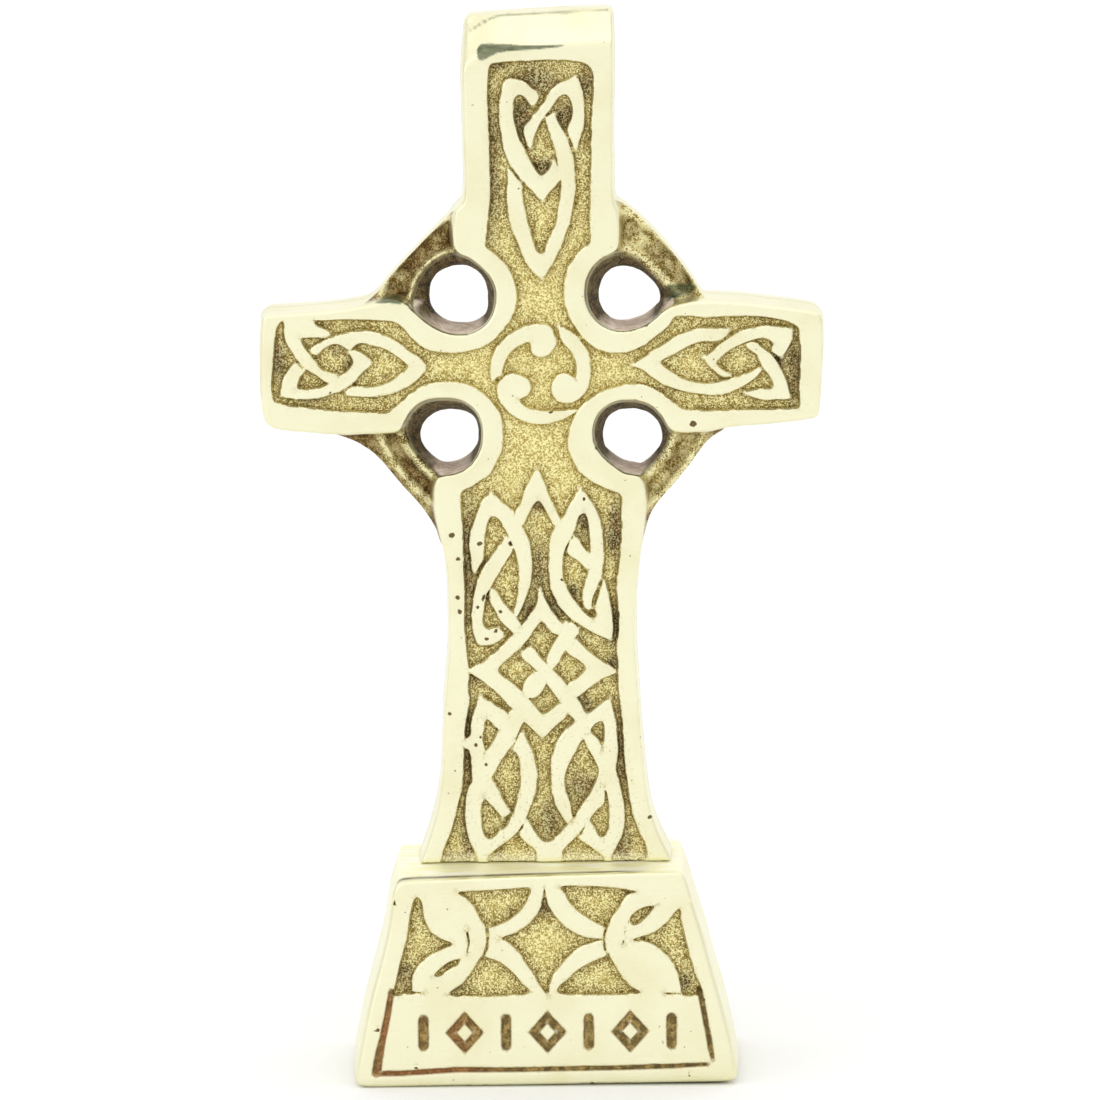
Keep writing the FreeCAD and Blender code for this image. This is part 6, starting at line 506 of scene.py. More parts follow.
PED_GROUND = [
    [
     (12.21,11.88),(12.1,11.82),(11.71,11.72),(10.46,11.64),(9.7,11.62),(8.64,11.57),(7.77,11.58),(7.59,11.56),(6.72,11.56),(6.51,11.54),(4.61,11.56),
     (3.85,11.61),(2.79,11.64),(1.66,11.81),(1.55,11.86),(1.2,12.11),(1.19,12.19),(1.27,12.52),(1.66,13),(2.23,13.52),(2.74,13.93),(3,14.16),(3.41,14.61),
     (3.88,14.97),(4.86,15.57),(5.72,16.01),(7.24,16.65),(7.53,16.75),(7.7,16.77),(7.74,16.8),(7.71,16.93),(7.44,17.48),(7.37,17.66),(7.26,18.69),
     (7.24,18.75),(7.2,18.77),(6.37,18.56),(4.71,18.01),(4.36,17.84),(3.81,17.49),(3.14,16.92),(2.54,16.33),(2.08,15.82),(1.33,14.89),(0.96,14.36),
     (0.69,13.84),(0.61,13.62),(0.45,13.01),(0.32,12.24),(0.22,11.91),(0.11,11.71),(0.03,11.69),(-0.06,11.7),(-0.19,11.78),(-0.35,11.94),(-1.09,12.98),
     (-1.58,13.86),(-2.09,14.68),(-3.39,16.72),(-3.74,17.21),(-4.22,17.73),(-4.79,18.27),(-5.24,18.59),(-5.61,18.8),(-5.84,18.97),(-5.95,19.09),
     (-5.96,19.17),(-5.95,19.24),(-5.85,19.35),(-5.75,19.41),(-5.23,19.61),(-4.31,19.93),(-4.12,20.01),(-3.55,20.31),(-2.61,20.95),(-2.35,21.17),
     (-1.9,21.61),(-1.55,22.04),(-1.25,22.52),(-1.07,22.85),(-0.79,23.48),(-0.58,24.42),(-0.42,25.42),(-0.33,25.77),(-0.28,25.86),(-0.24,25.9),
     (-0.22,25.9),(-0.18,25.86),(-0.12,25.73),(-0,25.16),(0.18,23.98),(0.32,23.52),(0.45,23.21),(0.79,22.64),(1.01,22.32),(1.63,21.53),(2.15,21),
     (2.58,20.63),(3.17,20.23),(4.25,19.62),(4.51,19.52),(4.74,19.41),(5.18,19.27),(5.7,19.18),(6.05,19.12),(6.87,19.07),(7.15,19.07),(7.22,19.1),
     (7.5,20.32),(7.5,20.41),(7.49,20.45),(7.14,20.61),(6.8,20.84),(5.44,21.63),(4.94,21.95),(4.14,22.56),(3.69,22.97),(3.21,23.48),(2.85,23.95),
     (2.34,24.85),(1.75,25.64),(1.73,25.75),(1.75,25.86),(1.93,25.97),(2.3,26.06),(2.8,26.06),(2.98,26.08),(4.21,26.07),(4.39,26.05),(4.95,26.04),
     (5.12,26.02),(6.84,25.96),(8.6,25.81),(9.68,25.67),(11.25,25.39),(11.64,25.29),(11.81,25.18),(11.82,25.12),(11.79,25.07),(11.65,25),(11.11,24.84),
     (10.83,24.73),(10.59,24.56),(10.49,24.48),(10.15,24.06),(9.54,23.11),(8.64,21.84),(8.4,21.34),(8.27,21.04),(8.14,20.78),(8.01,20.58),(7.71,19.34),
     (7.67,19.08),(7.79,17.89),(7.82,17.72),(8.26,16.82),(8.31,16.68),(8.33,16.53),(8.68,16.05),(8.98,15.45),(9.42,14.66),(9.89,14.04),(10.8,12.93),
     (11.08,12.7),(11.26,12.58),(12.06,12.16),(12.23,12.01),(12.24,11.94),],
    [
     (-2.05,25.77),(-1.95,25.61),(-1.93,25.5),(-1.94,25.33),(-2.04,25),(-2.3,24.48),(-2.43,24.16),(-2.69,23.67),(-2.98,23.22),(-3.39,22.72),(-3.81,22.32),
     (-4.73,21.61),(-5.45,21.2),(-6.48,20.8),(-7.02,20.64),(-7.55,20.55),(-7.59,20.52),(-7.59,20.41),(-7.45,19.91),(-7.41,19.69),(-7.42,19.47),
     (-7.54,18.11),(-7.64,17.79),(-7.97,16.85),(-7.96,16.81),(-7.93,16.78),(-7.17,16.6),(-6.5,16.34),(-5.89,15.99),(-5.59,15.78),(-5.27,15.52),
     (-4.79,15.12),(-4.25,14.57),(-3.82,14.08),(-3.44,13.56),(-3.15,13.26),(-2.25,12.54),(-2.04,12.27),(-2.05,12.11),(-2.1,12),(-2.58,11.78),(-3.78,11.66),
     (-5.59,11.54),(-5.96,11.54),(-6.11,11.52),(-6.48,11.53),(-7.7,11.47),(-11.37,11.51),(-12.52,11.61),(-12.93,11.79),(-12.96,11.84),(-12.96,11.9),
     (-12.92,12.05),(-12.87,12.12),(-12.52,12.4),(-11.49,13.07),(-11.11,13.37),(-9.73,15.09),(-9.34,15.72),(-8.98,16.4),(-8.71,16.77),(-8.52,16.89),
     (-8.47,16.94),(-8.05,18.12),(-8.01,18.38),(-7.92,19.45),(-7.92,19.67),(-8.24,20.94),(-8.69,21.68),(-9.37,23.07),(-9.52,23.32),(-9.82,23.74),
     (-10.16,24.12),(-10.49,24.4),(-11.5,25.05),(-11.61,25.19),(-11.61,25.24),(-11.59,25.3),(-11.52,25.34),(-11.28,25.41),(-10.76,25.48),(-9.61,25.49),
     (-9.43,25.51),(-8.61,25.51),(-6.37,25.66),(-5.91,25.66),(-5.2,25.71),(-4.78,25.71),(-2.85,25.89),(-2.33,25.88),],
    [
     (-16.91,24.77),(-16.82,24.76),(-16.71,24.71),(-16.52,24.59),(-16.37,24.38),(-16.24,24.14),(-16.16,23.81),(-15.96,22.52),(-15.75,21.59),(-15.65,21.27),
     (-15.52,20.95),(-15.39,20.7),(-15.18,20.37),(-15,20.16),(-14.77,19.94),(-14.1,19.46),(-13.54,19.14),(-12.45,18.71),(-12.23,18.57),(-12.17,18.51),
     (-12.16,18.44),(-12.21,18.35),(-12.35,18.26),(-13.24,17.92),(-14.95,17.07),(-15.54,16.71),(-16.06,16.27),(-16.47,15.87),(-16.79,15.51),(-17.14,15),
     (-17.23,14.81),(-17.35,14.46),(-17.44,14.13),(-17.54,13.52),(-17.55,12.84),(-17.59,12.6),(-17.67,12.36),(-17.58,12.33),(-16.32,12.26),(-16.2,12.19),
     (-16.14,12.11),(-16.13,11.99),(-16.2,11.89),(-16.33,11.84),(-17.43,11.91),(-18.11,11.91),(-18.57,11.89),(-18.94,11.8),(-19.68,11.67),(-19.89,11.68),
     (-20.07,11.73),(-20.18,11.81),(-20.22,11.96),(-20.22,12.16),(-19.87,13.23),(-19.23,16.03),(-18.95,17.1),(-18.65,18.08),(-18.34,19.3),(-18.19,20.02),
     (-17.9,22.17),(-17.71,23.02),(-17.51,23.82),(-17.35,24.24),(-17.24,24.48),(-17.09,24.68),(-16.98,24.75),],
    [
     (14.14,23.28),(14.16,23.22),(14.13,23.13),(13.88,22.76),(13.4,22.18),(13.03,21.76),(12.43,21.18),(12.17,21),(11.75,20.77),(11.6,20.72),(11.47,20.7),
     (11.25,20.7),(11.14,20.75),(11.04,20.84),(10.85,21.13),(10.79,21.52),(10.83,21.74),(10.9,21.91),(11.13,22.2),(11.48,22.51),(12.1,22.91),(12.36,23.04),
     (12.81,23.2),(13.01,23.26),(13.73,23.38),(14.05,23.35),],
    [
     (17.35,22.96),(17.48,22.87),(17.54,22.71),(17.6,22.34),(17.62,21.83),(17.66,21.44),(17.94,20.08),(18.29,18.59),(19.19,15.12),(19.36,14.53),
     (19.71,13.65),(20.07,12.88),(20.23,12.44),(20.32,12.07),(20.3,11.81),(20.25,11.7),(20.01,11.52),(19.6,11.39),(19.01,11.33),(18.12,11.36),
     (17.73,11.41),(17.42,11.55),(15.86,11.57),(15.49,11.6),(15.38,11.65),(15.33,11.74),(15.35,11.83),(15.4,11.89),(15.49,11.92),(17.32,11.89),
     (17.39,11.9),(17.43,11.94),(17.44,12.27),(17.41,12.49),(17.09,13.98),(16.89,14.62),(16.65,15.14),(16.45,15.5),(16.01,16.16),(15.47,16.84),
     (14.84,17.45),(14.43,17.77),(13.95,18.1),(13.58,18.32),(13.19,18.44),(12.87,18.51),(12.37,18.58),(11.48,18.66),(11.15,18.74),(11.09,18.8),
     (11.1,18.85),(11.14,18.89),(11.28,18.99),(12.24,19.31),(12.94,19.5),(13.55,19.72),(14.01,19.9),(14.42,20.16),(14.91,20.54),(15.81,21.37),
     (16.05,21.63),(16.71,22.45),(17.09,22.85),(17.18,22.92),],
    [
     (9.95,18.31),(9.86,18.38),(9.84,18.47),(10.02,19.84),(10.52,21.04),(10.62,21.17),(10.67,21.2),(10.72,21.19),(10.84,21.13),(10.83,21.04),(10.63,20.58),
     (10.3,19.77),(10.12,18.44),(10.04,18.33),],
    [
     (-10.38,17.15),(-10.49,17.21),(-10.53,17.27),(-10.54,17.33),(-10.54,17.44),(-10.34,18.62),(-10.56,20.05),(-10.55,20.11),(-10.52,20.18),(-10.46,20.23),
     (-10.39,20.25),(-10.33,20.24),(-10.27,20.2),(-10.2,20.06),(-10.07,19.36),(-9.97,18.64),(-9.97,18.51),(-10.19,17.31),(-10.22,17.24),(-10.27,17.18),],
    [
     (-11.23,16.53),(-11.22,16.44),(-11.27,16.22),(-11.46,15.85),(-11.61,15.66),(-11.92,15.45),(-12.73,15.01),(-13.18,14.73),(-13.67,14.38),(-14.04,14.2),
     (-14.3,14.16),(-14.54,14.16),(-14.69,14.21),(-14.78,14.28),(-14.8,14.39),(-14.75,14.52),(-14.61,14.72),(-14.41,14.94),(-13.48,15.74),(-13.04,16.05),
     (-12.67,16.26),(-12.02,16.51),(-11.5,16.61),(-11.3,16.58),],
]
PED_FRAME = [
    [
     (21.6,2.76),(21.54,2.76),(21.45,2.81),(21.35,2.96),(21.04,3.97),(20.86,5.09),(20.52,6.94),(20.5,7.09),(20.39,7.6),(20.27,8.37),(20.16,8.87),
     (20.04,9.64),(19.98,9.93),(19.83,10.78),(19.77,11.07),(19.58,12.12),(19.57,12.23),(19.62,12.36),(19.73,12.47),(19.86,12.52),(19.97,12.51),
     (20.08,12.47),(20.18,12.38),(20.23,12.27),(20.3,11.98),(20.44,11.13),(20.51,10.84),(20.72,9.68),(21.68,3.97),(21.78,2.96),(21.73,2.83),],
    [
     (21.13,2.37),(21.07,2.24),(20.95,2.17),(18.07,2.02),(17.68,1.98),(17.22,1.96),(15.98,1.88),(15.61,1.89),(15.48,1.86),(15.11,1.88),(14.76,1.85),
     (14.39,1.86),(14.04,1.83),(13.67,1.84),(13.33,1.82),(12.96,1.83),(12.61,1.8),(12.24,1.81),(11.89,1.78),(11.5,1.8),(11.15,1.77),(10.8,1.77),
     (10.67,1.75),(10.3,1.76),(9.95,1.74),(9.58,1.75),(9.23,1.72),(8.62,1.74),(8.28,1.71),(7.43,1.73),(7.08,1.7),(6.23,1.71),(5.88,1.69),(5.25,1.7),
     (4.9,1.67),(4.05,1.69),(3.7,1.66),(2.85,1.68),(2.51,1.65),(1.66,1.67),(1.31,1.64),(0.46,1.66),(0.11,1.63),(-0.76,1.64),(-1.11,1.61),(-1.91,1.62),
     (-2.06,1.6),(-2.91,1.62),(-3.26,1.59),(-4.11,1.61),(-4.46,1.58),(-7,1.61),(-7.35,1.58),(-11.55,1.63),(-11.88,1.6),(-12.25,1.61),(-12.62,1.56),
     (-12.97,1.57),(-13.58,1.51),(-13.93,1.51),(-14.3,1.47),(-14.45,1.48),(-14.67,1.47),(-15.28,1.41),(-15.63,1.42),(-16.24,1.35),(-16.61,1.36),
     (-16.98,1.32),(-17.32,1.32),(-17.93,1.26),(-18.28,1.26),(-18.91,1.2),(-19.96,1.21),(-20.16,1.19),(-21.18,1.2),(-21.35,1.18),(-21.92,1.18),
     (-21.98,1.17),(-22.18,1.07),(-22.36,1.03),(-22.46,1.04),(-22.59,1.08),(-22.77,1.19),(-22.91,1.38),(-22.96,1.53),(-22.97,1.62),(-22.94,1.97),
     (-22.54,4.05),(-21.98,6.08),(-21.73,7.2),(-21.66,7.44),(-21.11,10),(-21.07,10.31),(-20.68,12.34),(-20.63,12.47),(-20.54,12.57),(-20.45,12.63),
     (-20.32,12.65),(-20.15,12.61),(-20.03,12.51),(-19.96,12.38),(-19.95,12.23),(-20,11.88),(-20.1,11.35),(-20.11,11.2),(-20.19,10.8),(-20.2,10.63),
     (-20.31,10.13),(-20.42,9.36),(-20.56,8.68),(-20.6,8.42),(-21.13,5.88),(-21.41,4.33),(-21.55,3.43),(-21.72,2.09),(-21.73,1.92),(-21.72,1.89),
     (-21.67,1.86),(-20.19,1.87),(-20,1.89),(-18.82,1.88),(-18.21,1.94),(-17.86,1.93),(-17.25,1.99),(-17.1,1.98),(-16.77,2.01),(-16.64,2.01),(-16.51,2.03),
     (-16.16,2.03),(-15.55,2.09),(-15.21,2.08),(-14.6,2.15),(-14.44,2.13),(-13.86,2.18),(-13.51,2.18),(-12.9,2.24),(-12.55,2.24),(-12.13,2.28),
     (-7.35,2.24),(-7,2.2),(-6.39,2.21),(-4.58,2.18),(-4.24,2.21),(-3.39,2.19),(-3.04,2.22),(-2.19,2.2),(-1.84,2.23),(-1.04,2.22),(-0.88,2.25),
     (-0.01,2.23),(0.34,2.26),(1.18,2.24),(1.53,2.27),(2.38,2.25),(2.73,2.28),(3.58,2.26),(3.93,2.29),(4.78,2.27),(5.12,2.3),(5.75,2.29),(6.1,2.32),
     (6.95,2.3),(7.3,2.33),(8.15,2.31),(8.5,2.34),(9.11,2.32),(9.46,2.35),(9.82,2.34),(10.17,2.37),(10.74,2.36),(10.89,2.38),(11.24,2.38),(11.37,2.4),
     (11.76,2.39),(12.11,2.42),(12.48,2.4),(12.83,2.43),(13.2,2.42),(13.55,2.45),(13.92,2.44),(14.27,2.46),(14.64,2.45),(14.98,2.48),(15.35,2.47),
     (15.7,2.5),(15.83,2.48),(16.29,2.51),(17.6,2.52),(17.84,2.54),(18.45,2.53),(18.68,2.56),(19.99,2.56),(20.23,2.59),(20.97,2.57),(21.08,2.5),],
]
CROSS_DARK = [(-6.16,120.68,1.32,12.77,0.55), (-0.73,130.97,4.24,2.51,0.60), (5.89,130.66,1.05,2.25,0.70), (-2.25,125.96,1.51,3.25,0.75), (2.97,126.43,1.57,1.83,0.75),
    (0.01,119.62,3.27,1.39,0.70), (-9.56,68.22,1.17,11.23,0.65), (9.34,72.21,1.08,4.48,0.75), (9.06,60.08,1.15,3.63,0.75), (-0.64,75.73,1.06,1.00,0.70),
    (-0.59,67.17,1.39,4.34,0.55), (-1.87,61.57,0.99,2.10,0.70), (1.72,62.86,1.37,2.09,0.70), (-7.09,67.56,1.06,1.37,0.60), (-7.32,64.13,0.54,1.23,0.60),
    (5.39,74.03,0.99,2.81,0.75), (3.88,64.16,0.84,1.37,0.70), (8.96,54.79,1.06,1.59,0.70), (-9.13,52.90,0.99,1.23,0.65), (5.27,49.45,1.06,1.23,0.65),
    (-9.88,44.07,0.90,6.87,0.75), (-10.06,32.74,1.27,6.16,0.60), (9.91,41.89,0.82,9.07,0.62), (9.97,30.56,1.69,3.96,0.60), (-6.43,29.10,1.07,1.02,0.50),
    (4.85,38.61,2.50,2.47,0.55), (0.56,33.98,1.84,3.22,0.55), (-34.12,95.00,1.24,3.15,0.65), (-24.16,94.26,1.66,1.71,0.60), (32.67,93.11,1.05,4.59,0.72),
    (30.53,94.43,1.27,2.43,0.75), (-26.41,95.91,1.13,1.07,0.50), (-29.41,89.80,2.24,0.63,0.50), (16.60,90.84,4.47,0.47,0.35), (-5.40,132.81,1.93,0.83,0.60),
    (7.19,132.70,1.34,0.84,0.60), (8.13,119.92,0.82,10.65,0.40), (-12.59,29.02,3.03,1.15,0.45)]
# Outlines of dark reflections painted onto the polished facets of the head top and both arms.
CROSS_PAINTED_REFLECTION = [[(-7.938, 135.048), (-7.548, 135.558), (-6.519, 135.742), (-4.723, 135.662), (-1.132, 135.438), (3.49, 135.526), (2.717, 135.238), (-0.495, 134.919), (-3.962, 134.757), (-5.377, 134.513), (-6.28, 134.071), (-7.054, 133.629), (-7.696, 133.634), (-7.946, 134.278)],
    [(-21.464, 102.274), (-20.422, 102.915), (-19.256, 103.165), (-18.226, 102.896), (-17.461, 102.109), (-18.75, 102.341), (-20.171, 102.354)],
    [(15.916, 103.538), (16.437, 104.119), (18.508, 104.231), (20.059, 103.892), (19.797, 103.244), (18.759, 102.732), (16.944, 102.227), (16.165, 101.843), (16.817, 102.749)]]
CROSS_PITS = [(-11.74,71.98,0.45), (-8.30,70.77,0.40), (-11.10,68.82,0.35), (-11.22,63.68,0.30), (-10.95,61.83,0.40), (-7.56,63.71,0.60), (-4.24,70.73,0.35), (2.40,65.93,0.30), (5.34,76.56,0.25), (-7.49,58.26,0.30), (-6.25,59.28,0.30), (19.54,86.26,0.42), (13.65,34.40,0.35), (2.15,82.62,0.30), (-12.50,48.34,0.30), (-10.30,46.20,0.35), (-8.22,45.25,0.30), (-7.74,41.52,0.30), (-9.02,44.19,0.28), (-3.72,106.78,0.25), (4.45,111.38,0.22), (0.77,88.52,0.40), (1.16,87.99,0.30), (-27.43,90.73,0.25), (-5.71,61.78,0.30), (-8.57,62.47,0.25), (-9.19,64.72,0.25), (14.51,68.46,0.22), (-2.91,83.06,0.30)]
PED_PITS = [(-8.11,-0.33,0.50), (5.74,0.07,0.25), (-22.13,7.66,0.30), (-19.74,24.00,0.25), (-17.22,2.64,0.20), (20.58,11.21,0.20), (18.56,1.27,0.20)]
PED_DARK = [(-0.26,23.17,1.28,1.16,0.70), (18.19,13.52,0.83,1.39,0.70), (-18.40,14.57,1.23,2.19,0.60), (-12.03,12.88,2.26,0.64,0.50), (-4.76,22.56,0.76,1.46,0.40),
    (-15.70,23.64,0.91,1.09,0.50), (14.99,22.71,0.98,1.09,0.50)]
PED_STAIN = [(-20.85,5.55,1.29,6.76,0.90), (-15.40,2.23,7.53,1.56,0.90), (-17.96,7.10,1.55,3.52,0.50), (-12.08,7.05,2.29,3.51,0.50)]


# ------------------------------------------------------------------ 2-D helpers


def arr(loop):
    return np.asarray(loop, float)


def resample(loop, step):
    p = arr(loop)
    q = np.vstack([p, p[:1]])
    seg = np.hypot(*np.diff(q, axis=0).T)
    s = np.concatenate([[0], np.cumsum(seg)])
    n = max(8, int(round(s[-1] / step)))
    t = np.arange(n) * s[-1] / n
    return np.stack([np.interp(t, s, q[:, 0]), np.interp(t, s, q[:, 1])], 1)


def soften(p, times=1):
    for _ in range(times):
        p = 0.25 * np.roll(p, 1, 0) + 0.5 * p + 0.25 * np.roll(p, -1, 0)
    return p


def segments(loops):
    a = np.vstack([arr(l) for l in loops])
    b = np.vstack([np.roll(arr(l), -1, 0) for l in loops])
    return a.astype(np.float32), b.astype(np.float32)


def distance(points, loops):
    """Distance to the nearest side of the loops, and nothing else: finely sampled loops, exact on the two sides beside the nearest sample."""
    pts, prv, nxt = [], [], []
    for l in loops:
        q = resample(l, 0.12)
        pts.append(q)
        prv.append(np.roll(q, 1, 0))
        nxt.append(np.roll(q, -1, 0))
    pts, prv, nxt = np.vstack(pts), np.vstack(prv), np.vstack(nxt)
    tree = KDTree(len(pts))
    for i, q in enumerate(pts):
        tree.insert((q[0], q[1], 0.0), i)
    tree.balance()
    find = tree.find
    near = np.array([find((q[0], q[1], 0.0))[1] for q in points], int)
    best = None
    for other in (prv, nxt):
        a, b = pts[near], other[near]
        d = b - a
        t = np.clip(((points - a) * d).sum(1) / np.maximum((d ** 2).sum(1), 1e-12), 0, 1)
        m = np.hypot(*(points - a - t[:, None] * d).T)
        best = m if best is None else np.minimum(best, m)
    return best


def inside(points, loops):
    """Even-odd rule over all the loops together."""
    a, b = segments(loops)
    pts = points.astype(np.float32)
    out = np.zeros(len(pts), bool)
    order = np.argsort(pts[:, 1], kind="stable")
    step = 1500
    for i in range(0, len(pts), step):
        idx = order[i:i + step]
        p = pts[idx]
        z0, z1 = p[:, 1].min(), p[:, 1].max()
        use = (np.maximum(a[:, 1], b[:, 1]) >= z0) & (np.minimum(a[:, 1], b[:, 1]) <= z1)
        aa, bb = a[use], b[use]
        y = p[:, 1][:, None]
        cross = (aa[None, :, 1] > y) != (bb[None, :, 1] > y)
        dy = bb[:, 1] - aa[:, 1]
        dy = np.where(np.abs(dy) < 1e-9, 1e-9, dy)
        xi = aa[None, :, 0] + (y - aa[None, :, 1]) * ((bb[:, 0] - aa[:, 0]) / dy)[None]
        out[idx] = (cross & (p[:, 0][:, None] < xi)).sum(1) % 2 == 1
    return out


def signed(points, loops):
    d = distance(points, loops)
    return np.where(inside(points, loops), d, -d)


def smooth01(t):
    t = np.clip(t, 0, 1)
    return t * t * (3 - 2 * t)


# value noise on a lattice, summed over octaves; deterministic
def lattice(seed, n=256):
    return np.random.default_rng(seed).random((n, n))


def value_noise(x, z, size, seed):
    g = lattice(seed)
    n = g.shape[0]
    u, v = x / size + 1000.5, z / size + 1000.5
    i, j = np.floor(u).astype(int), np.floor(v).astype(int)
    fu, fv = u - i, v - j
    fu, fv = fu * fu * (3 - 2 * fu), fv * fv * (3 - 2 * fv)
    a, b = g[i % n, j % n], g[(i + 1) % n, j % n]
    c, d = g[i % n, (j + 1) % n], g[(i + 1) % n, (j + 1) % n]
    return (a * (1 - fu) + b * fu) * (1 - fv) + (c * (1 - fu) + d * fu) * fv - 0.5


def fractal(x, z, size, seed, octaves=3):
    out, amp, tot = 0, 1.0, 0
    for k in range(octaves):
        out = out + amp * value_noise(x + 13.7 * k, z - 7.3 * k, size / 2 ** k, seed + k)
        tot += amp
        amp *= 0.55
    return out / tot


def normals_of(p):
    """Outward normals of a loop, whichever way it winds."""
    t = np.roll(p, -1, 0) - np.roll(p, 1, 0)
    n = np.stack([t[:, 1], -t[:, 0]], 1)
    n /= np.maximum(np.hypot(n[:, 0], n[:, 1]), 1e-9)[:, None]
    area = 0.5 * np.sum(p[:, 0] * np.roll(p[:, 1], -1) - np.roll(p[:, 0], -1) * p[:, 1])
    return n if area > 0 else -n


def offset_rows(loop, step, offsets):
    p = soften(resample(loop, step))
    n = normals_of(p)
    return [p + n * o for o in offsets]


def hex_grid(x0, x1, z0, z1, step, jitter, seed):
    r = np.random.default_rng(seed)
    h = step * 0.866
    rows = int((z1 - z0) / h) + 1
    cols = int((x1 - x0) / step) + 1
    jj, ii = np.meshgrid(np.arange(rows), np.arange(cols), indexing="ij")
    x = x0 + (ii + 0.5 * (jj % 2)) * step
    z = z0 + jj * h
    p = np.stack([x.ravel(), z.ravel()], 1)
    return p + (r.random(p.shape) - 0.5) * jitter * step


def thin(points, cell, taken):
    """Keeps one point per cell, skipping cells already used."""
    keep = []
    for k, p in enumerate(points):
        key = (int(math.floor(p[0] / cell)), int(math.floor(p[1] / cell)))
        if key not in taken:
            taken.add(key)
            keep.append(k)
    return points[keep]


def triangulate(edge_loops, inner_loops, points):
    """Constrained Delaunay of loops and loose points, kept inside edge_loops. Returns points, triangles wound counter-clockwise and the chains of border points."""
    verts, edges = [], []
    fence = 0
    for k, l in enumerate(edge_loops + inner_loops):
        s = len(verts)
        verts += [Vector(p) for p in l]
        edges += [(s + i, s + (i + 1) % len(l)) for i in range(len(l))]
        if k < len(edge_loops):
            fence = len(edges)
    verts += [Vector(p) for p in points]
    out = geometry.delaunay_2d_cdt(verts, edges, [], 0, 1e-6, True)
    p = np.array([(v[0], v[1]) for v in out[0]])
    tri = np.array([f for f in out[2] if len(f) == 3], int)
    walls = set()
    for (a, b), src in zip(out[1], out[4]):
        if any(i < fence for i in src):
            walls.add((a, b) if a < b else (b, a))
    beside = {}
    for k, t in enumerate(tri):
        for a, b in ((t[0], t[1]), (t[1], t[2]), (t[2], t[0])):
            beside.setdefault((a, b) if a < b else (b, a), []).append(k)
    mid = p[tri].mean(1)
    u, w = p[tri[:, 1]] - p[tri[:, 0]], p[tri[:, 2]] - p[tri[:, 0]]
    area = np.abs(u[:, 0] * w[:, 1] - u[:, 1] * w[:, 0])
    good = inside(mid, edge_loops) & (area > 0.01)
    start = int(np.argmax(np.where(good, area, 0)))
    seen = np.zeros(len(tri), bool)
    seen[start] = True
    queue = [start]
    while queue:
        k = queue.pop()
        t = tri[k]
        for a, b in ((t[0], t[1]), (t[1], t[2]), (t[2], t[0])):
            e = (a, b) if a < b else (b, a)
            if e in walls:
                continue
            for o in beside[e]:
                if not seen[o]:
                    seen[o] = True
                    queue.append(o)
    tri = tri[seen]
    a, b, c = p[tri[:, 0]], p[tri[:, 1]], p[tri[:, 2]]
    turn = (b[:, 0] - a[:, 0]) * (c[:, 1] - a[:, 1]) - (c[:, 0] - a[:, 0]) * (b[:, 1] - a[:, 1])
    tri[turn < 0] = tri[turn < 0][:, ::-1]
    used = np.unique(tri)
    remap = np.full(len(p), -1)
    remap[used] = np.arange(len(used))
    p, tri = p[used], remap[tri]
    directed = set()
    for t in tri:
        directed.update(((t[0], t[1]), (t[1], t[2]), (t[2], t[0])))
    follow = {a: b for a, b in directed if (b, a) not in directed}
    chains = []
    while follow:
        first = next(iter(sorted(follow)))
        chain = [first]
        nxt = follow.pop(first)
        while nxt != first:
            chain.append(nxt)
            nxt = follow.pop(nxt)
        chains.append([int(i) for i in chain])
    chains.sort(key=lambda c: -len(c))
    return p, tri, chains


def make_mesh(name, verts, faces, angle=38.0):
    me = bpy.data.meshes.new(name)
    me.from_pydata([tuple(v) for v in np.asarray(verts) * MM], [], [tuple(int(i) for i in f) for f in faces])
    me.validate()
    me.update()
    ob = bpy.data.objects.new(name, me)
    bpy.context.scene.collection.objects.link(ob)
    me.shade_smooth()
    me.set_sharp_from_angle(angle=math.radians(angle))
    return ob


def attribute(ob, name, values):
    at = ob.data.attributes.get(name) or ob.data.attributes.new(name, "FLOAT", "POINT")
    at.data.foreach_set("value", np.asarray(values, np.float32))


def coords(ob):
    c = np.empty(len(ob.data.vertices) * 3)
    ob.data.vertices.foreach_get("co", c)
    return c.reshape(-1, 3) / MM


def manifold_boolean(ob, tool, kind):
    m = ob.modifiers.new("b", "BOOLEAN")
    m.operation = kind
    m.object = tool
    m.solver = "MANIFOLD"
    bpy.context.view_layer.update()
    dep = bpy.context.evaluated_depsgraph_get()
    new = bpy.data.meshes.new_from_object(ob.evaluated_get(dep))
    old = ob.data
    ob.modifiers.clear()
    ob.data = new
    bpy.data.meshes.remove(old)
    me = tool.data
    bpy.data.objects.remove(tool)
    bpy.data.meshes.remove(me)


def frustum(name, z0, hx0, hy0, z1, hx1, hy1):
    v = [(-hx0, -hy0, z0), (hx0, -hy0, z0), (hx0, hy0, z0), (-hx0, hy0, z0),
         (-hx1, -hy1, z1), (hx1, -hy1, z1), (hx1, hy1, z1), (-hx1, hy1, z1)]
    f = [(3, 2, 1, 0), (4, 5, 6, 7), (0, 1, 5, 4), (1, 2, 6, 5), (2, 3, 7, 6), (3, 0, 4, 7)]
    return make_mesh(name, np.array(v, float), f)


def rod(name, r, z0, z1, n=48):
    a = np.linspace(0, 2 * math.pi, n, endpoint=False)
    ring = np.stack([r * np.cos(a), r * np.sin(a)], 1)
    v = np.vstack([np.c_[ring, np.full(n, z0)], np.c_[ring, np.full(n, z1)]])
    f = [tuple(range(n - 1, -1, -1)), tuple(range(n, 2 * n))]
    f += [(i, (i + 1) % n, n + (i + 1) % n, n + i) for i in range(n)]
    return make_mesh(name, v, f)


# ------------------------------------------------------------------ cross
HALF = 6.5
FOOT = 28.4
RING_C = np.array(CROSS_RING_CENTRE)
F_LOOP = [resample(CROSS_FACE[0], 0.3)]
OPEN = [arr(l) for l in CROSS_OPEN]
OPEN_C = [o.mean(0) for o in OPEN]


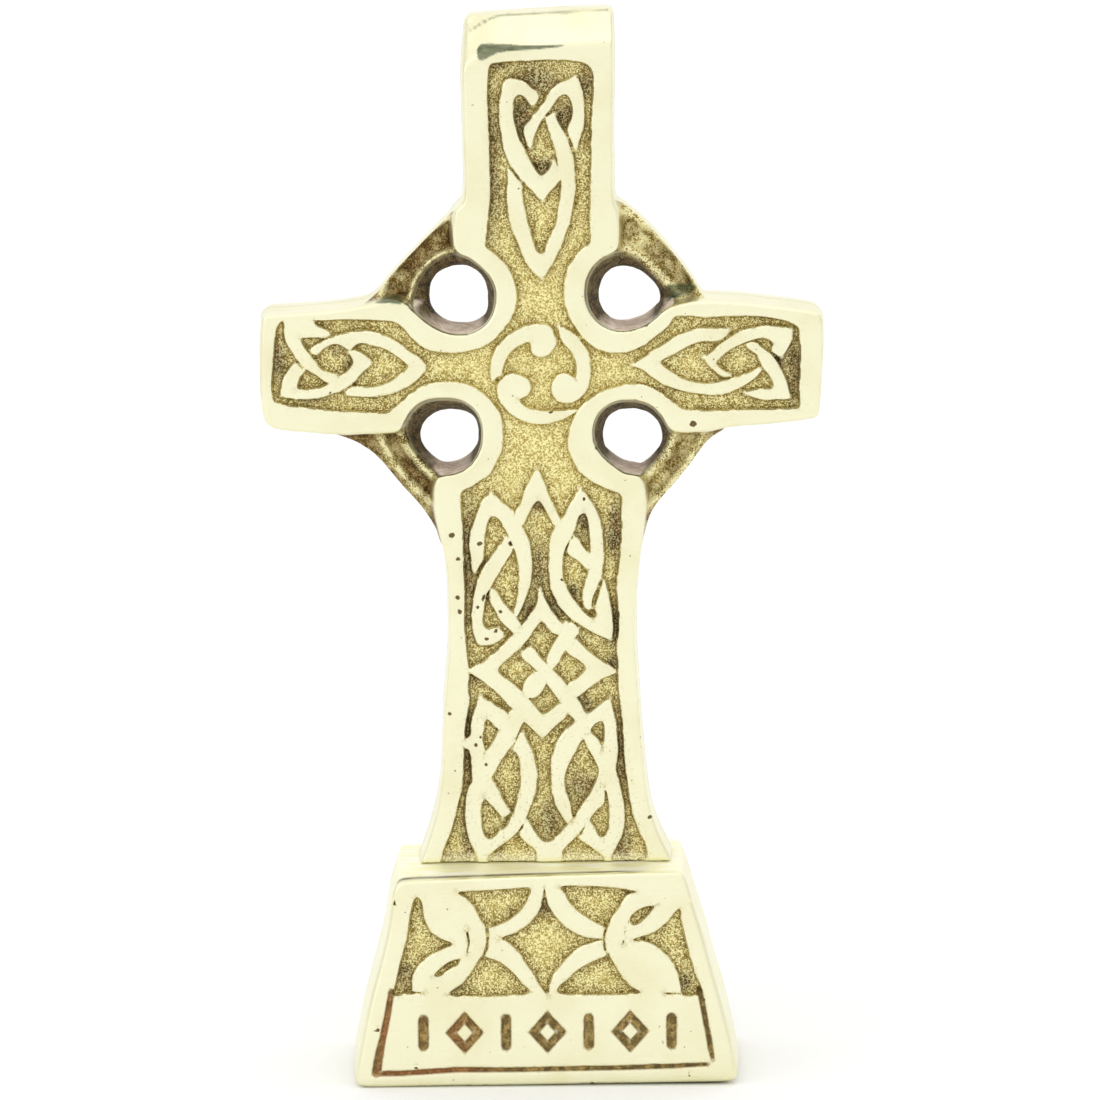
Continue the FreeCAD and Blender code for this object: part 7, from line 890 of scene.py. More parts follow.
def ring_depth(p):
    """Bare section of the ring: a ridge round each opening, a groove, and a rim along the outside."""
    x, z = p[:, 0], p[:, 1]
    rr = np.hypot(x - RING_C[0], z - RING_C[1])
    wide = np.where(z > RING_C[1], np.where(x < 0, 0.55, 1.15), np.where(x < 0, 0.95, 1.05))
    inner = np.interp(distance(p, CROSS_EDGE[1:]) / wide, [0.0, 0.3, 0.8, 1.2, 1.8], [3.5, 3.0, 2.9, 3.45, 4.0])
    outer = np.interp(rr, [21.2, 21.9, 22.3, 22.6, 22.9, 23.15, 24.3, 26.0], [4.0, 3.9, 3.6, 3.2, 3.1, 3.35, 3.9, 4.6])
    return np.minimum(inner, outer)


def cross_depth(p, seed):
    """How far each point of the front lies behind the plane y = -HALF. seed changes only the grain."""
    x, z = p[:, 0], p[:, 1]
    dg = signed(p, CROSS_GROUND)
    df = signed(p, F_LOOP)
    land = 0.03 * fractal(x, z, 9.0, seed + 50, 2) + 0.03
    # rounded rim of every strap and border
    land = land + 0.07 * (1 - smooth01(-dg / 0.16)) * (dg <= 0)
    # head: hand-ground bevel and crown, a little higher on the right
    top = 139.2 + 0.8 * (x + 9.5) / 19.0 - 0.10 * np.clip(-5.0 - x, 0, 9) ** 2
    crown = np.interp(z - top, [-5.3, -4.7, -4.1, -3.4, -2.6, -1.8, -0.9, 0.0, 0.6], [0, 0.03, 0.22, 0.72, 1.30, 1.82, 2.35, 2.95, 3.4])
    land = land + crown
    for cx, cz, r_ in CROSS_PITS:
        land = land + 0.22 * smooth01((r_ - np.hypot(x - cx, z - cz) * (1 + 0.8 * value_noise(x, z, 0.4, 930))) / (0.6 * r_)) * (dg <= 0)
    # rounded outer edge
    r = 0.55
    t = np.clip(df, 0, r)
    land = land + (r - np.sqrt(np.maximum(r * r - (r - t) ** 2, 0))) * (df < r)
    # sunk ground: steep ragged wall, then a grained floor, a little crowned between straps
    rag = 0.26 * fractal(x, z, 0.7, seed + 11, 2)
    wall = smooth01((dg + rag * smooth01(dg / 0.12)) / 0.34)
    floor = 0.95 + 0.22 * fractal(x, z, 3.2, seed + 21, 2) - 0.10 * smooth01((dg - 0.5) / 1.3)
    grain = 0.17 * fractal(x, z, 0.62, seed + 31, 2)
    shallow = 0.35 + 0.65 * smooth01((z - 28.6) / 2.0)
    body = land + (floor + grain) * wall * shallow * (dg > 0)
    # ring: rim, groove, rough inner ridge
    ring = ring_depth(p)
    ring = ring + 0.42 * fractal(x, z, 1.5, seed + 41, 3) + 0.10 * fractal(x, z, 0.5, seed + 61, 2)
    u = -df
    w = np.exp(-(np.clip(u, 0, None) / 0.34) ** 1.5)
    ring = ring + (0.58 + crown - ring) * w
    return np.where(df >= 0, body, ring), dg, df


def build_cross():
    b_loops = [soften(resample(l, 0.31)) for l in CROSS_EDGE]
    b_loops[0][:, 1] = np.maximum(b_loops[0][:, 1], FOOT)
    g_loops = [soften(resample(l, 0.29)) for l in CROSS_GROUND]
    taken = set()
    for l in b_loops + g_loops:
        for q in l:
            taken.add((int(math.floor(q[0] / 0.15)), int(math.floor(q[1] / 0.15))))
    # rows beside the strap edges
    pts, want = [], (-0.16, 0.16, 0.36)
    for l in CROSS_GROUND:
        for o in want:
            pts += offset_rows(l, 0.29, [o, -o])
    rows = np.vstack(pts)
    d = signed(rows, CROSS_GROUND)
    ok = np.zeros(len(rows), bool)
    for o in want:
        ok |= np.abs(d - o) < 0.03
    rows = rows[ok]
    # rows beside the outer edges and the step from face to ring
    q = []
    for l in CROSS_EDGE:
        for o in (0.1, 0.26, 0.5):
            q += offset_rows(l, 0.31, [o, -o])
    for o in (0.0, 0.1, 0.26, 0.5, -0.12, -0.3, -0.55, -0.85):
        q += offset_rows(CROSS_FACE[0], 0.33, [o])
    q = np.vstack(q)
    ground_fill = hex_grid(-36.5, 36.5, 28, 140.5, 0.37, 0.45, 3)
    coarse = hex_grid(-36.5, 36.5, 28, 140.5, 1.0, 0.3, 4)
    # finer skin where the head bends over, round the pits and under the painted reflections
    extra = hex_grid(-18.5, 18.5, 98, 140.5, 0.42, 0.3, 8)
    near_detail = extra[:, 1] > 133.6
    extra = extra[near_detail]
    fine = hex_grid(-36.0, 36.0, 28, 140.5, 0.2, 0.3, 9)
    near_detail = np.zeros(len(fine), bool)
    for l in CROSS_PAINTED_REFLECTION:
        q3 = arr(l)
        box = (fine >= q3.min(0) - 0.3).all(1) & (fine <= q3.max(0) + 0.3).all(1)
        near_detail |= box
    for cx, cz, r_ in CROSS_PITS:
        near_detail |= np.hypot(fine[:, 0] - cx, fine[:, 1] - cz) < r_ + 0.25
    extra = np.vstack([fine[near_detail], extra])
    everything = np.vstack([rows, q, ground_fill, extra, coarse])
    tag = np.concatenate([np.zeros(len(rows)), np.ones(len(q)), np.full(len(ground_fill), 2), np.full(len(extra), 4), np.full(len(coarse), 3)])
    inb = inside(everything, CROSS_EDGE)
    everything, tag = everything[inb], tag[inb]
    db = distance(everything, b_loops)
    dg = signed(everything, CROSS_GROUND)
    df = signed(everything, F_LOOP)
    keep = db > 0.07
    keep &= ~((tag == 1) & (dg > -0.2))
    keep &= ~((tag == 2) & ((dg < 0.5) & ~((df < -0.95) & (db > 0.3))))
    keep &= ~((tag == 3) & ((dg > -0.5) | (df < 0.9)))
    keep &= ~((tag == 4) & ((dg > -0.3) | (df < 0.6)))
    loose = thin(everything[keep], 0.15, taken)
    p, tri, chains = triangulate(b_loops, g_loops, loose)
    front_depth, dg, df = cross_depth(p, 100)
    back_depth, _, _ = cross_depth(p, 300)
    n = len(p)
    front = np.stack([p[:, 0], -HALF + front_depth, p[:, 1]], 1)
    back = np.stack([p[:, 0], HALF - back_depth, p[:, 1]], 1)
    verts = [front, back]
    info = [np.stack([dg, df, 0 * df, 0 * df], 1)] * 2
    faces = [tuple(t) for t in tri] + [tuple(t[::-1] + n) for t in tri]
    count = 2 * n
    for k, loop in enumerate(chains):
        q2 = p[loop]
        nrm = normals_of(soften(q2, 2))
        yf, yb = front[loop, 1], back[loop, 1]
        m = len(loop)
        if k == 0:
            crest = q2[:, 1] > 137.2
            ts = np.array([-0.88, -0.7, -0.45, -0.2, -0.04, 0.0, 0.04, 0.2, 0.45, 0.7, 0.88])
        else:
            ts = np.array([-0.92, -0.78, -0.6, -0.42, -0.24, -0.08, 0.08, 0.24, 0.42, 0.6, 0.78, 0.92])
            pick = int(np.argmin([np.hypot(*(c - q2.mean(0))) for c in OPEN_C]))
            c0, o = OPEN_C[pick], OPEN[pick]
            ang, rad = np.arctan2(*(o - c0).T[::-1]), np.hypot(*(o - c0).T)
            order = np.argsort(ang)
            ang, rad = ang[order], rad[order]
            qa = np.arctan2(*(q2 - c0).T[::-1])
            qr = np.interp(qa, np.r_[ang - 2 * np.pi, ang, ang + 2 * np.pi], np.r_[rad, rad, rad])
            target = c0 + np.stack([np.cos(qa), np.sin(qa)], 1) * qr[:, None]
        ids = [np.array(loop)]
        for t in ts:
            y = np.where(t < 0, yf * -t, yb * t)
            size = 1 - abs(t)
            if k == 0:
                reach = np.clip(np.abs(yf) / HALF, 0, 1)
                away = 0.30 * size * reach + 0.05 * (abs(t) < 0.03) + 0.03 * fractal(q2[:, 0] * 1.7 + y, q2[:, 1] * 1.7, 2.0, 77, 2)
                off = nrm * away[:, None]
                off[q2[:, 1] < FOOT + 0.25, 1] = 0
                pos = q2 + off
                pos[:, 1] = np.clip(pos[:, 1], FOOT, 140.0)
            else:
                g = size ** 0.7
                pos = q2 * (1 - g) + target * g
                pos = pos + nrm * (0.12 * size * fractal(qa * 5 + k, y, 0.9, 91, 2))[:, None]
            verts.append(np.stack([pos[:, 0], y, pos[:, 1]], 1))
            info.append(np.stack([np.full(m, -1.0), np.full(m, 0.0), np.full(m, 0.0 if k == 0 else 1.0), (crest * 0.55 if k == 0 and t == -0.88 else np.zeros(m))], 1))
            ids.append(np.arange(count, count + m))
            count += m
        ids.append(np.array(loop) + n)
        for r0, r1 in zip(ids[:-1], ids[1:]):
            for i in range(m):
                j = (i + 1) % m
                faces.append((r0[j], r0[i], r1[i], r1[j]))
    return np.vstack(verts), faces, np.vstack(info)


import time as _t
_t0 = _t.time()
v, f, cross_info = build_cross()
cross = make_mesh("cross_body", v, f)
print("cross built", len(v), len(f), round(_t.time() - _t0, 1))
import bmesh
bm = bmesh.new()
bm.from_mesh(cross.data)
print("open edges", sum(1 for e in bm.edges if not e.is_manifold), "volume mm3", round(bm.calc_volume() * 1e9, 1))
bmesh.ops.triangulate(bm, faces=bm.faces)
bm.to_mesh(cross.data)
bm.free()


def carry(ob, source, values, names):
    """Gives each vertex of ob the values of the nearest source point."""
    tree = KDTree(len(source))
    for i, q in enumerate(source):
        tree.insert(q, i)
    tree.balance()
    c = coords(ob)
    near = np.array([tree.find(q)[1] for q in c], int)
    for k, name in enumerate(names):
        attribute(ob, name, values[near, k])
    return near


def blobs(x, z, spots):
    """Soft-edged dark patches: (x, z, half width, half height, strength)."""
    out = np.zeros(len(x))
    wob = 1 + 0.5 * fractal(x, z, 1.6, 500, 2)
    for cx, cz, rx, rz, s in spots:
        d = np.hypot((x - cx) / rx, (z - cz) / rz) * wob
        out = np.maximum(out, s * np.exp(-np.clip(d, 0, 4) ** 2.4))
    return out


# foot peg and the tapped hole up its middle
manifold_boolean(cross, frustum("peg", 23.6, 10.0, 4.0, FOOT + 1.0, 10.0, 4.0), "UNION")
manifold_boolean(cross, rod("tap", 2.5, 23.6 - 1.0, 23.6 + 11.0), "DIFFERENCE")
dg, df, in_hole, crest_line = cross_info.T
flat = np.stack([v[:, 0], v[:, 2]], 1)
# painted reflection: dark reflections painted on the head top and arm facets, plus a painted dark line along the head's
# crest
painted_reflection_mask = np.zeros(len(v))
front_side = v[:, 1] < -1.0
painted_reflection_mask[front_side] = smooth01((signed(flat[front_side], CROSS_PAINTED_REFLECTION) + 0.06) / 0.14)
head_top = 139.2 + 0.8 * (v[:, 0] + 9.5) / 19.0 - 0.10 * np.clip(-5.0 - v[:, 0], 0, 9) ** 2
crest_at = head_top - 0.28 - 0.35 * smooth01((-4.0 - v[:, 0]) / 5.0)
crest_painted_dark_line = smooth01(1 - np.abs(v[:, 2] - crest_at) / 0.24) * (np.abs(v[:, 0]) < 9.0) * (0.55 + 0.9 * value_noise(v[:, 0], v[:, 0] * 0, 2.4, 77))
painted_reflection_mask = np.maximum(painted_reflection_mask, np.clip(crest_painted_dark_line, 0, 0.7) * front_side)
pits = np.zeros(len(v))
for cx, cz, r_ in CROSS_PITS:
    pits = np.maximum(pits, smooth01((r_ - np.hypot(v[:, 0] - cx, v[:, 2] - cz) * (1 + 0.8 * value_noise(v[:, 0], v[:, 2], 0.4, 930))) / (0.5 * r_)))
pits *= (np.abs(v[:, 1]) > 5.0) & (dg <= 0)
glow = np.exp(-(v[:, 0] / 15.0) ** 2 - ((v[:, 2] - 91.0) / 17.0) ** 2)
patina = blobs(v[:, 0], v[:, 2], CROSS_DARK)
tone = 0.62 - 0.55 * smooth01((dg - 0.30) / 1.5) - 0.40 * glow + 0.35 * fractal(v[:, 0], v[:, 2], 3.0, 610, 3)
on_ring = (df < 0) & (in_hole < 0.5)
bare = ring_depth(flat)
groove = smooth01((bare - 3.15) / 0.6)
left = smooth01((2.0 - v[:, 0]) / 6.0)
ring_tone = 0.02 + (0.46 + 0.14 * left) * groove + 0.24 * left + 0.45 * np.exp(-np.clip(-df, 0, 9) / 0.5) + 1.0 * fractal(v[:, 0], v[:, 2], 2.0, 660, 3)
tone = np.where(on_ring, ring_tone, np.maximum(tone, patina * 1.2))
cross_values = np.stack([
    smooth01((dg - 0.005) / 0.13) * (0.55 + 0.45 * smooth01((v[:, 2] - 28.7) / 1.5)),
    np.exp(-np.clip(dg, 0, 9) / 0.26) * (dg > 0.02) * smooth01((v[:, 2] - 28.6) / 1.4),
    smooth01((-df - 0.05) / 0.35) * on_ring,
    in_hole,
    patina,
    painted_reflection_mask,
    smooth01((3.5 - bare) / 0.45) * on_ring,
    np.clip(tone, 0, 1),
    pits,
    np.exp(np.clip(dg, -9, 0) / np.where(v[:, 2] < 48, 0.42, 0.30)) * (dg > -2) * (df > 0.2) * (0.45 + 0.55 * smooth01((60 - v[:, 2]) / 25)),
], 1)
carry(cross, v, cross_values, ("sunk", "crevice", "ring", "hole", "patina", "painted_reflection", "ridge", "tone", "pit", "fringe"))
cross.data.shade_smooth()
cross.data.set_sharp_from_angle(angle=math.radians(42))

# ------------------------------------------------------------------ pedestal
RISE = 28.0
RUN = 2.5
SLOPE = math.hypot(RISE, RUN)
UP = np.array([0, RUN / SLOPE, RISE / SLOPE])
INWARD = np.array([0, RISE / SLOPE, -RUN / SLOPE])
LEFT = np.array([(0.0, -25.25), (3.5, -24.85), (5.8, -24.35), (8.9, -23.75), (11.4, -23.15), (14.2, -22.35), (18.8, -21.1), (21.4, -20.6), (24.8, -20.1), (28.4, -19.5)])
RIGHT = np.array([(0.0, 25.0), (4.9, 24.2), (7.9, 23.5), (11.0, 22.7), (15.7, 21.4), (18.4, 20.75), (24.1, 19.0), (26.2, 18.4), (28.4, 17.8)])


def ped_outline():
    s = np.linspace(0, 1, 60)
    bottom = np.stack([-25.25 + 50.25 * s, -0.36 + 0.36 * s], 1)
    zr = np.linspace(0.0, 27.95, 90)
    right = np.stack([np.interp(zr, RIGHT[:, 0], RIGHT[:, 1]), zr], 1)
    s = np.linspace(0, 1, 60)
    top = np.stack([17.75 - 37.1 * s, 27.75 - 0.95 * s ** 1.3], 1)
    zl = np.linspace(26.8, -0.36, 90)
    left = np.stack([np.interp(zl, LEFT[:, 0], LEFT[:, 1]), zl], 1)
    loop = resample(np.vstack([bottom, right[1:], top[1:], left[1:-1]]), 0.3)
    fixed = soften(loop, 22)
    return soften(resample(fixed, 0.31))


def stroke(x0, s0, x1, s1, w, seed):
    """Outline of one round-ended cut line with a slightly unsteady edge."""
    r = np.random.default_rng(seed)
    a = math.atan2(s1 - s0, x1 - x0)
    out = []
    for cx, cs, start in ((x1, s1, a - math.pi / 2), (x0, s0, a + math.pi / 2)):
        for t in np.linspace(0, math.pi, 9):
            k = 1 + 0.10 * (r.random() - 0.5)
            out.append((cx + 0.5 * w * k * math.cos(start + t), cs + 0.5 * w * k * math.sin(start + t)))
    return out


PED_BARS = [stroke(-16.2 + 5.4 * i, 5.05, -16.2 + 5.4 * i, 8.55, 1.3, 40 + i) for i in (0, 2, 4, 6)]
LOZENGE_OUT = [[(cx - 2.5, 6.8), (cx, 4.0), (cx + 2.5, 6.8), (cx, 9.6)] for cx in (-10.8, 0.0, 10.8)]
LOZENGE_IN = [[(cx - 1.05, 6.8), (cx, 5.65), (cx + 1.05, 6.8), (cx, 7.95)] for cx in (-10.8, 0.0, 10.8)]
PED_BARS += LOZENGE_OUT + LOZENGE_IN
PED_OUT = ped_outline()
PED_CUTS = PED_FRAME + PED_BARS


def ped_depth(p, seed, dark_side=False):
    x, s = p[:, 0], p[:, 1]
    dg = signed(p, PED_GROUND)
    dm = signed(p, PED_CUTS)
    df = distance(p, [PED_OUT])
    land = 0.03 * fractal(x, s, 9.0, seed + 50, 2) + 0.03
    land = land + 0.07 * (1 - smooth01(-dg / 0.16)) * (dg <= 0)
    r = np.where(s > 24, 0.55, np.where(s < 2.0, 1.0, 0.95))
    t = np.minimum(df, r)
    land = land + (r - np.sqrt(np.maximum(r * r - (r - t) ** 2, 0)))
    for cx, cz, r_ in PED_PITS:
        land = land + 0.22 * smooth01((r_ - np.hypot(x - cx, s - cz) * (1 + 0.8 * value_noise(x, s, 0.4, 940))) / (0.6 * r_)) * (dg <= 0)
    rag = 0.24 * fractal(x, s, 0.7, seed + 11, 2)
    wall = smooth01((dg + rag * smooth01(dg / 0.12)) / 0.34)
    floor = 0.90 + 0.22 * fractal(x, s, 3.2, seed + 21, 2) - 0.10 * smooth01((dg - 0.5) / 1.3)
    grain = 0.17 * fractal(x, s, 0.62, seed + 31, 2)
    cut = smooth01((dm + 0.12 + 0.5 * rag) / 0.32) * (0.45 + 0.14 * fractal(x, s, 0.55, seed + 71, 2))
    return land + (floor + grain) * wall * (dg > 0) + cut * (dm > -0.2), dg, dm


def build_pedestal():
    b_loops = [PED_OUT]
    g_loops = [soften(resample(l, 0.29)) for l in PED_GROUND]
    m_loops = [resample(l, 0.27) for l in PED_CUTS]
    taken = set()
    for l in b_loops + g_loops + m_loops:
        for q in l:
            taken.add((int(math.floor(q[0] / 0.15)), int(math.floor(q[1] / 0.15))))
    parts = []
    for group, want in ((PED_GROUND, (-0.16, 0.16, 0.36)), (PED_CUTS, (-0.16, 0.15, 0.32))):
        pts = []
        for l in group:
            for o in want:
                pts += offset_rows(l, 0.29, [o, -o])
        rows = np.vstack(pts)
        d = signed(rows, group)
        ok = np.zeros(len(rows), bool)
        for o in want:
            ok |= np.abs(d - o) < 0.03
        parts.append(rows[ok])
    q = []
    for o in (0.1, 0.26, 0.45, 0.7, 1.0):
        q += offset_rows(PED_OUT, 0.31, [-o])
    q = np.vstack(q)
    fill = hex_grid(-26, 26, -1, 29, 0.34, 0.45, 5)
    coarse = hex_grid(-26, 26, -1, 29, 0.8, 0.3, 6)
    rows = np.vstack(parts)
    fine = hex_grid(-26, 26, -1, 29, 0.2, 0.3, 10)
    near_detail = np.zeros(len(fine), bool)
    for cx, cz, r_ in PED_PITS:
        near_detail |= np.hypot(fine[:, 0] - cx, fine[:, 1] - cz) < r_ + 0.25
    fine = fine[near_detail]
    trim = hex_grid(-26, 26, -1, 29, 0.21, 0.3, 11)
    near_cut = signed(trim, PED_CUTS)
    trim = trim[(near_cut > -0.5) & (near_cut < -0.13)]
    fine = np.vstack([fine, trim])
    everything = np.vstack([rows, q, fill, fine, coarse])
    tag = np.concatenate([np.zeros(len(rows)), np.ones(len(q)), np.full(len(fill), 2), np.full(len(fine), 4), np.full(len(coarse), 3)])
    keep = inside(everything, b_loops)
    everything, tag = everything[keep], tag[keep]
    db = distance(everything, b_loops)
    dg = signed(everything, PED_GROUND)
    dm = signed(everything, PED_CUTS)
    keep = db > 0.07
    keep &= ~((tag == 1) & ((dg > -0.2) | (dm > -0.2)))
    keep &= ~((tag == 2) & (dg < 0.5) & (dm < 0.45))
    keep &= ~((tag == 3) & ((dg > -0.45) | (dm > -0.4) | (db < 1.3)))
    keep &= ~((tag == 4) & ((dg > -0.2) | (dm > -0.12)))
    loose = thin(everything[keep], 0.15, taken)
    p, tri, chains = triangulate(b_loops, g_loops + m_loops, loose)
    fd, dg, dm = ped_depth(p, 700)
    bd, _, _ = ped_depth(p, 900)
    n = len(p)

    def place(depth, side):
        base = np.array([0, -13.5, 0.4])[None] + np.stack([p[:, 0], 0 * p[:, 0], 0 * p[:, 0]], 1)
        out = base + p[:, 1:2] * UP[None] + depth[:, None] * INWARD[None]
        if side < 0:
            out[:, 1] *= -1
        return out

    front, back = place(fd, 1), place(bd, -1)
    verts = [front, back]
    info = [np.stack([dg, dm, 0 * dg, 0 * dg], 1)] * 2
    faces = [tuple(t) for t in tri] + [tuple(t[::-1] + n) for t in tri]
    count = 2 * n
    loop = chains[0]
    q2 = p[loop]
    nrm = normals_of(soften(q2, 2))
    m = len(loop)
    f3, b3 = front[loop], back[loop]
    ts = np.array([-0.975, -0.93, -0.82, -0.7, -0.56, -0.4, -0.22, -0.06, 0.0, 0.06, 0.22, 0.4, 0.56, 0.7, 0.82, 0.93, 0.975])
    side_w = nrm[:, 0] ** 2
    deck_w = smooth01((nrm[:, 1] - 0.5) / 0.4)
    ids = [np.array(loop)]
    for t in ts:
        w = (t + 1) / 2
        pos = f3 * (1 - w) + b3 * w
        bulge = 0.5 * (1 - t * t) + 0.05 * (abs(t) < 0.03)
        bulge = bulge + 0.05 * fractal(q2[:, 1] * 0.7, pos[:, 1] * 0.7 + q2[:, 0], 2.2, 811, 2)
        pos[:, 0] += nrm[:, 0] * bulge * side_w
        y = np.abs(pos[:, 1])
        drop = np.clip((y - 6.5) / 4.4, 0, 1) ** 1.2
        lift = 28.4 - (28.4 - (f3[:, 2] if t < 0 else b3[:, 2])) * drop
        pos[:, 2] = pos[:, 2] * (1 - deck_w) + lift * deck_w
        pos[:, 2] = np.minimum(pos[:, 2], 28.4)
        verts.append(pos)
        brink = deck_w * (t == ts[0]) * smooth01((14.0 - q2[:, 0]) / 5.0)
        info.append(np.stack([np.full(m, -1.0), np.full(m, -1.0), deck_w, brink], 1))
        ids.append(np.arange(count, count + m))
        count += m
    ids.append(np.array(loop) + n)
    for r0, r1 in zip(ids[:-1], ids[1:]):
        for i in range(m):
            j = (i + 1) % m
            faces.append((r0[j], r0[i], r1[i], r1[j]))
    return np.vstack(verts), faces, np.vstack(info)


_t1 = _t.time()
pv, pf, ped_info = build_pedestal()
pedestal = make_mesh("pedestal_body", pv, pf)
bm = bmesh.new()
bm.from_mesh(pedestal.data)
print("pedestal", len(pv), len(pf), "open", sum(1 for e in bm.edges if not e.is_manifold), "vol", round(bm.calc_volume() * 1e9, 1), round(_t.time() - _t1, 1))
bmesh.ops.triangulate(bm, faces=bm.faces)
bm.to_mesh(pedestal.data)
bm.free()
manifold_boolean(pedestal, frustum("cavity", -1.0, 20.68, 9.29, 19.4, 18.0, 8.0), "DIFFERENCE")
manifold_boolean(pedestal, frustum("deck_cut", 23.4, 10.1, 4.1, 29.4, 10.1, 4.1), "DIFFERENCE")
manifold_boolean(pedestal, frustum("pad_seat", -1.0, 23.4, 11.9, 1.2, 23.4, 11.9), "DIFFERENCE")
manifold_boolean(pedestal, rod("pass", 2.75, 18.0, 24.4), "DIFFERENCE")
pdg, pdm = ped_info[:, 0], ped_info[:, 1]
ped_patina = blobs(pv[:, 0], pv[:, 2], PED_DARK) * (pdg > -0.5)
ptone = 0.62 - 0.52 * smooth01((pdg - 0.30) / 1.7) + 0.35 * fractal(pv[:, 0], pv[:, 2], 3.0, 620, 3)
ptone = np.maximum(ptone, ped_patina * 1.2)
ped_pits = np.zeros(len(pv))
for cx, cz, r_ in PED_PITS:
    ped_pits = np.maximum(ped_pits, smooth01((r_ - np.hypot(pv[:, 0] - cx, pv[:, 2] - cz) * (1 + 0.8 * value_noise(pv[:, 0], pv[:, 2], 0.4, 940))) / (0.5 * r_)))
ped_pits *= (pdg <= 0) & (np.abs(pv[:, 1]) > 10.0)
ped_values = np.stack([
    smooth01((pdg - 0.005) / 0.13),
    np.exp(-np.clip(np.maximum(pdg, pdm), 0, 9) / 0.26) * (np.maximum(pdg, pdm) > 0.02),
    smooth01((pdm + 0.09) / 0.16),
    ped_patina,
    blobs(pv[:, 0], pv[:, 2], PED_STAIN) * (pdg <= 0),
    np.clip(ptone, 0, 1),
    ped_info[:, 2],
    ped_pits,
    ped_info[:, 3] * (pv[:, 1] < 0),
    np.exp(np.clip(pdg, -9, 0) / 0.28) * (pdg > -0.9) * 0.6,
], 1)
carry(pedestal, pv, ped_values, ("sunk", "crevice", "incised", "patina", "stain", "tone", "deck", "pit", "brink", "fringe"))
pedestal.data.shade_smooth()
pedestal.data.set_sharp_from_angle(angle=math.radians(42))

# ------------------------------------------------------------------ finishes


class Nodes:
    """Short hand for building a procedural material."""

    def __init__(self, name):
        self.mat = bpy.data.materials.new(name)
        self.mat.use_nodes = True
        self.t = self.mat.node_tree
        self.t.nodes.clear()
        self.out = self.t.nodes.new("ShaderNodeOutputMaterial")
        self.bsdf = self.t.nodes.new("ShaderNodeBsdfPrincipled")
        self.t.links.new(self.bsdf.outputs[0], self.out.inputs[0])
        tc = self.t.nodes.new("ShaderNodeTexCoord")
        self.mm = self.vec("SCALE", tc.outputs["Object"], scale=1000.0)

    def put(self, sock, value):
        if isinstance(value, bpy.types.NodeSocket):
            self.t.links.new(value, sock)
        elif value is not None:
            if hasattr(sock.default_value, "__len__"):
                value = tuple(value)
                n = len(sock.default_value)
                value = (value + (1.0,))[:n] if len(value) < n else value[:n]
            sock.default_value = value

    def vec(self, op, a, b=None, scale=None):
        n = self.t.nodes.new("ShaderNodeVectorMath")
        n.operation = op
        self.put(n.inputs[0], a)
        if b is not None:
            self.put(n.inputs[1], b)
        if scale is not None:
            n.inputs["Scale"].default_value = scale
        return n.outputs[0]

    def math(self, op, a, b=None, c=None, clamp=False):
        n = self.t.nodes.new("ShaderNodeMath")
        n.operation = op
        n.use_clamp = clamp
        for i, x in enumerate((a, b, c)):
            self.put(n.inputs[i], x)
        return n.outputs[0]

    def attr(self, name):
        n = self.t.nodes.new("ShaderNodeAttribute")
        n.attribute_name = name
        return n.outputs["Fac"]

    def noise(self, size, detail=2.0, rough=0.5, stretch=None, shift=None, kind=None):
        co = self.mm
        if stretch:
            co = self.vec("MULTIPLY", co, stretch)
        if shift:
            co = self.vec("ADD", co, shift)
        n = self.t.nodes.new("ShaderNodeTexNoise")
        self.t.links.new(co, n.inputs["Vector"])
        n.inputs["Scale"].default_value = 1.0 / size
        n.inputs["Detail"].default_value = detail
        n.inputs["Roughness"].default_value = rough
        return n.outputs["Fac"]

    def ramp(self, x, lo, hi, a=0.0, b=1.0):
        n = self.t.nodes.new("ShaderNodeMapRange")
        n.interpolation_type = "SMOOTHSTEP"
        for i, v_ in enumerate((x, lo, hi, a, b)):
            self.put(n.inputs[i], v_)
        return n.outputs[0]

    def mix(self, f, a, b):
        n = self.t.nodes.new("ShaderNodeMix")
        n.data_type = "RGBA"
        n.clamp_factor = True
        self.put(n.inputs[0], f)
        self.put(n.inputs[6], a)
        self.put(n.inputs[7], b)
        return n.outputs[2]

    def bump(self, height, distance_mm, strength=1.0, normal=None):
        n = self.t.nodes.new("ShaderNodeBump")
        n.inputs["Strength"].default_value = strength
        n.inputs["Distance"].default_value = distance_mm * MM
        self.put(n.inputs["Height"], height)
        if normal is not None:
            self.t.links.new(normal, n.inputs["Normal"])
        return n.outputs[0]

    def finish(self, color=None, rough=None, metal=None, normal=None):
        self.put(self.bsdf.inputs["Base Color"], color)
        self.put(self.bsdf.inputs["Roughness"], rough)
        self.put(self.bsdf.inputs["Metallic"], metal)
        if normal is not None:
            self.t.links.new(normal, self.bsdf.inputs["Normal"])
        return self.mat


def srgb(r, g, b):
    out = []
    for c in (r, g, b):
        c /= 255.0
        out.append(c / 12.92 if c <= 0.04045 else ((c + 0.055) / 1.055) ** 2.4)
    return tuple(out)


POLISHED = srgb(242, 239, 205)
POLISHED_WARM = srgb(238, 233, 194)
CREVICE = srgb(112, 92, 46)
SOOT = srgb(60, 44, 24)
RING_GOLD = srgb(246, 240, 192)
COPPERY = srgb(176, 108, 62)


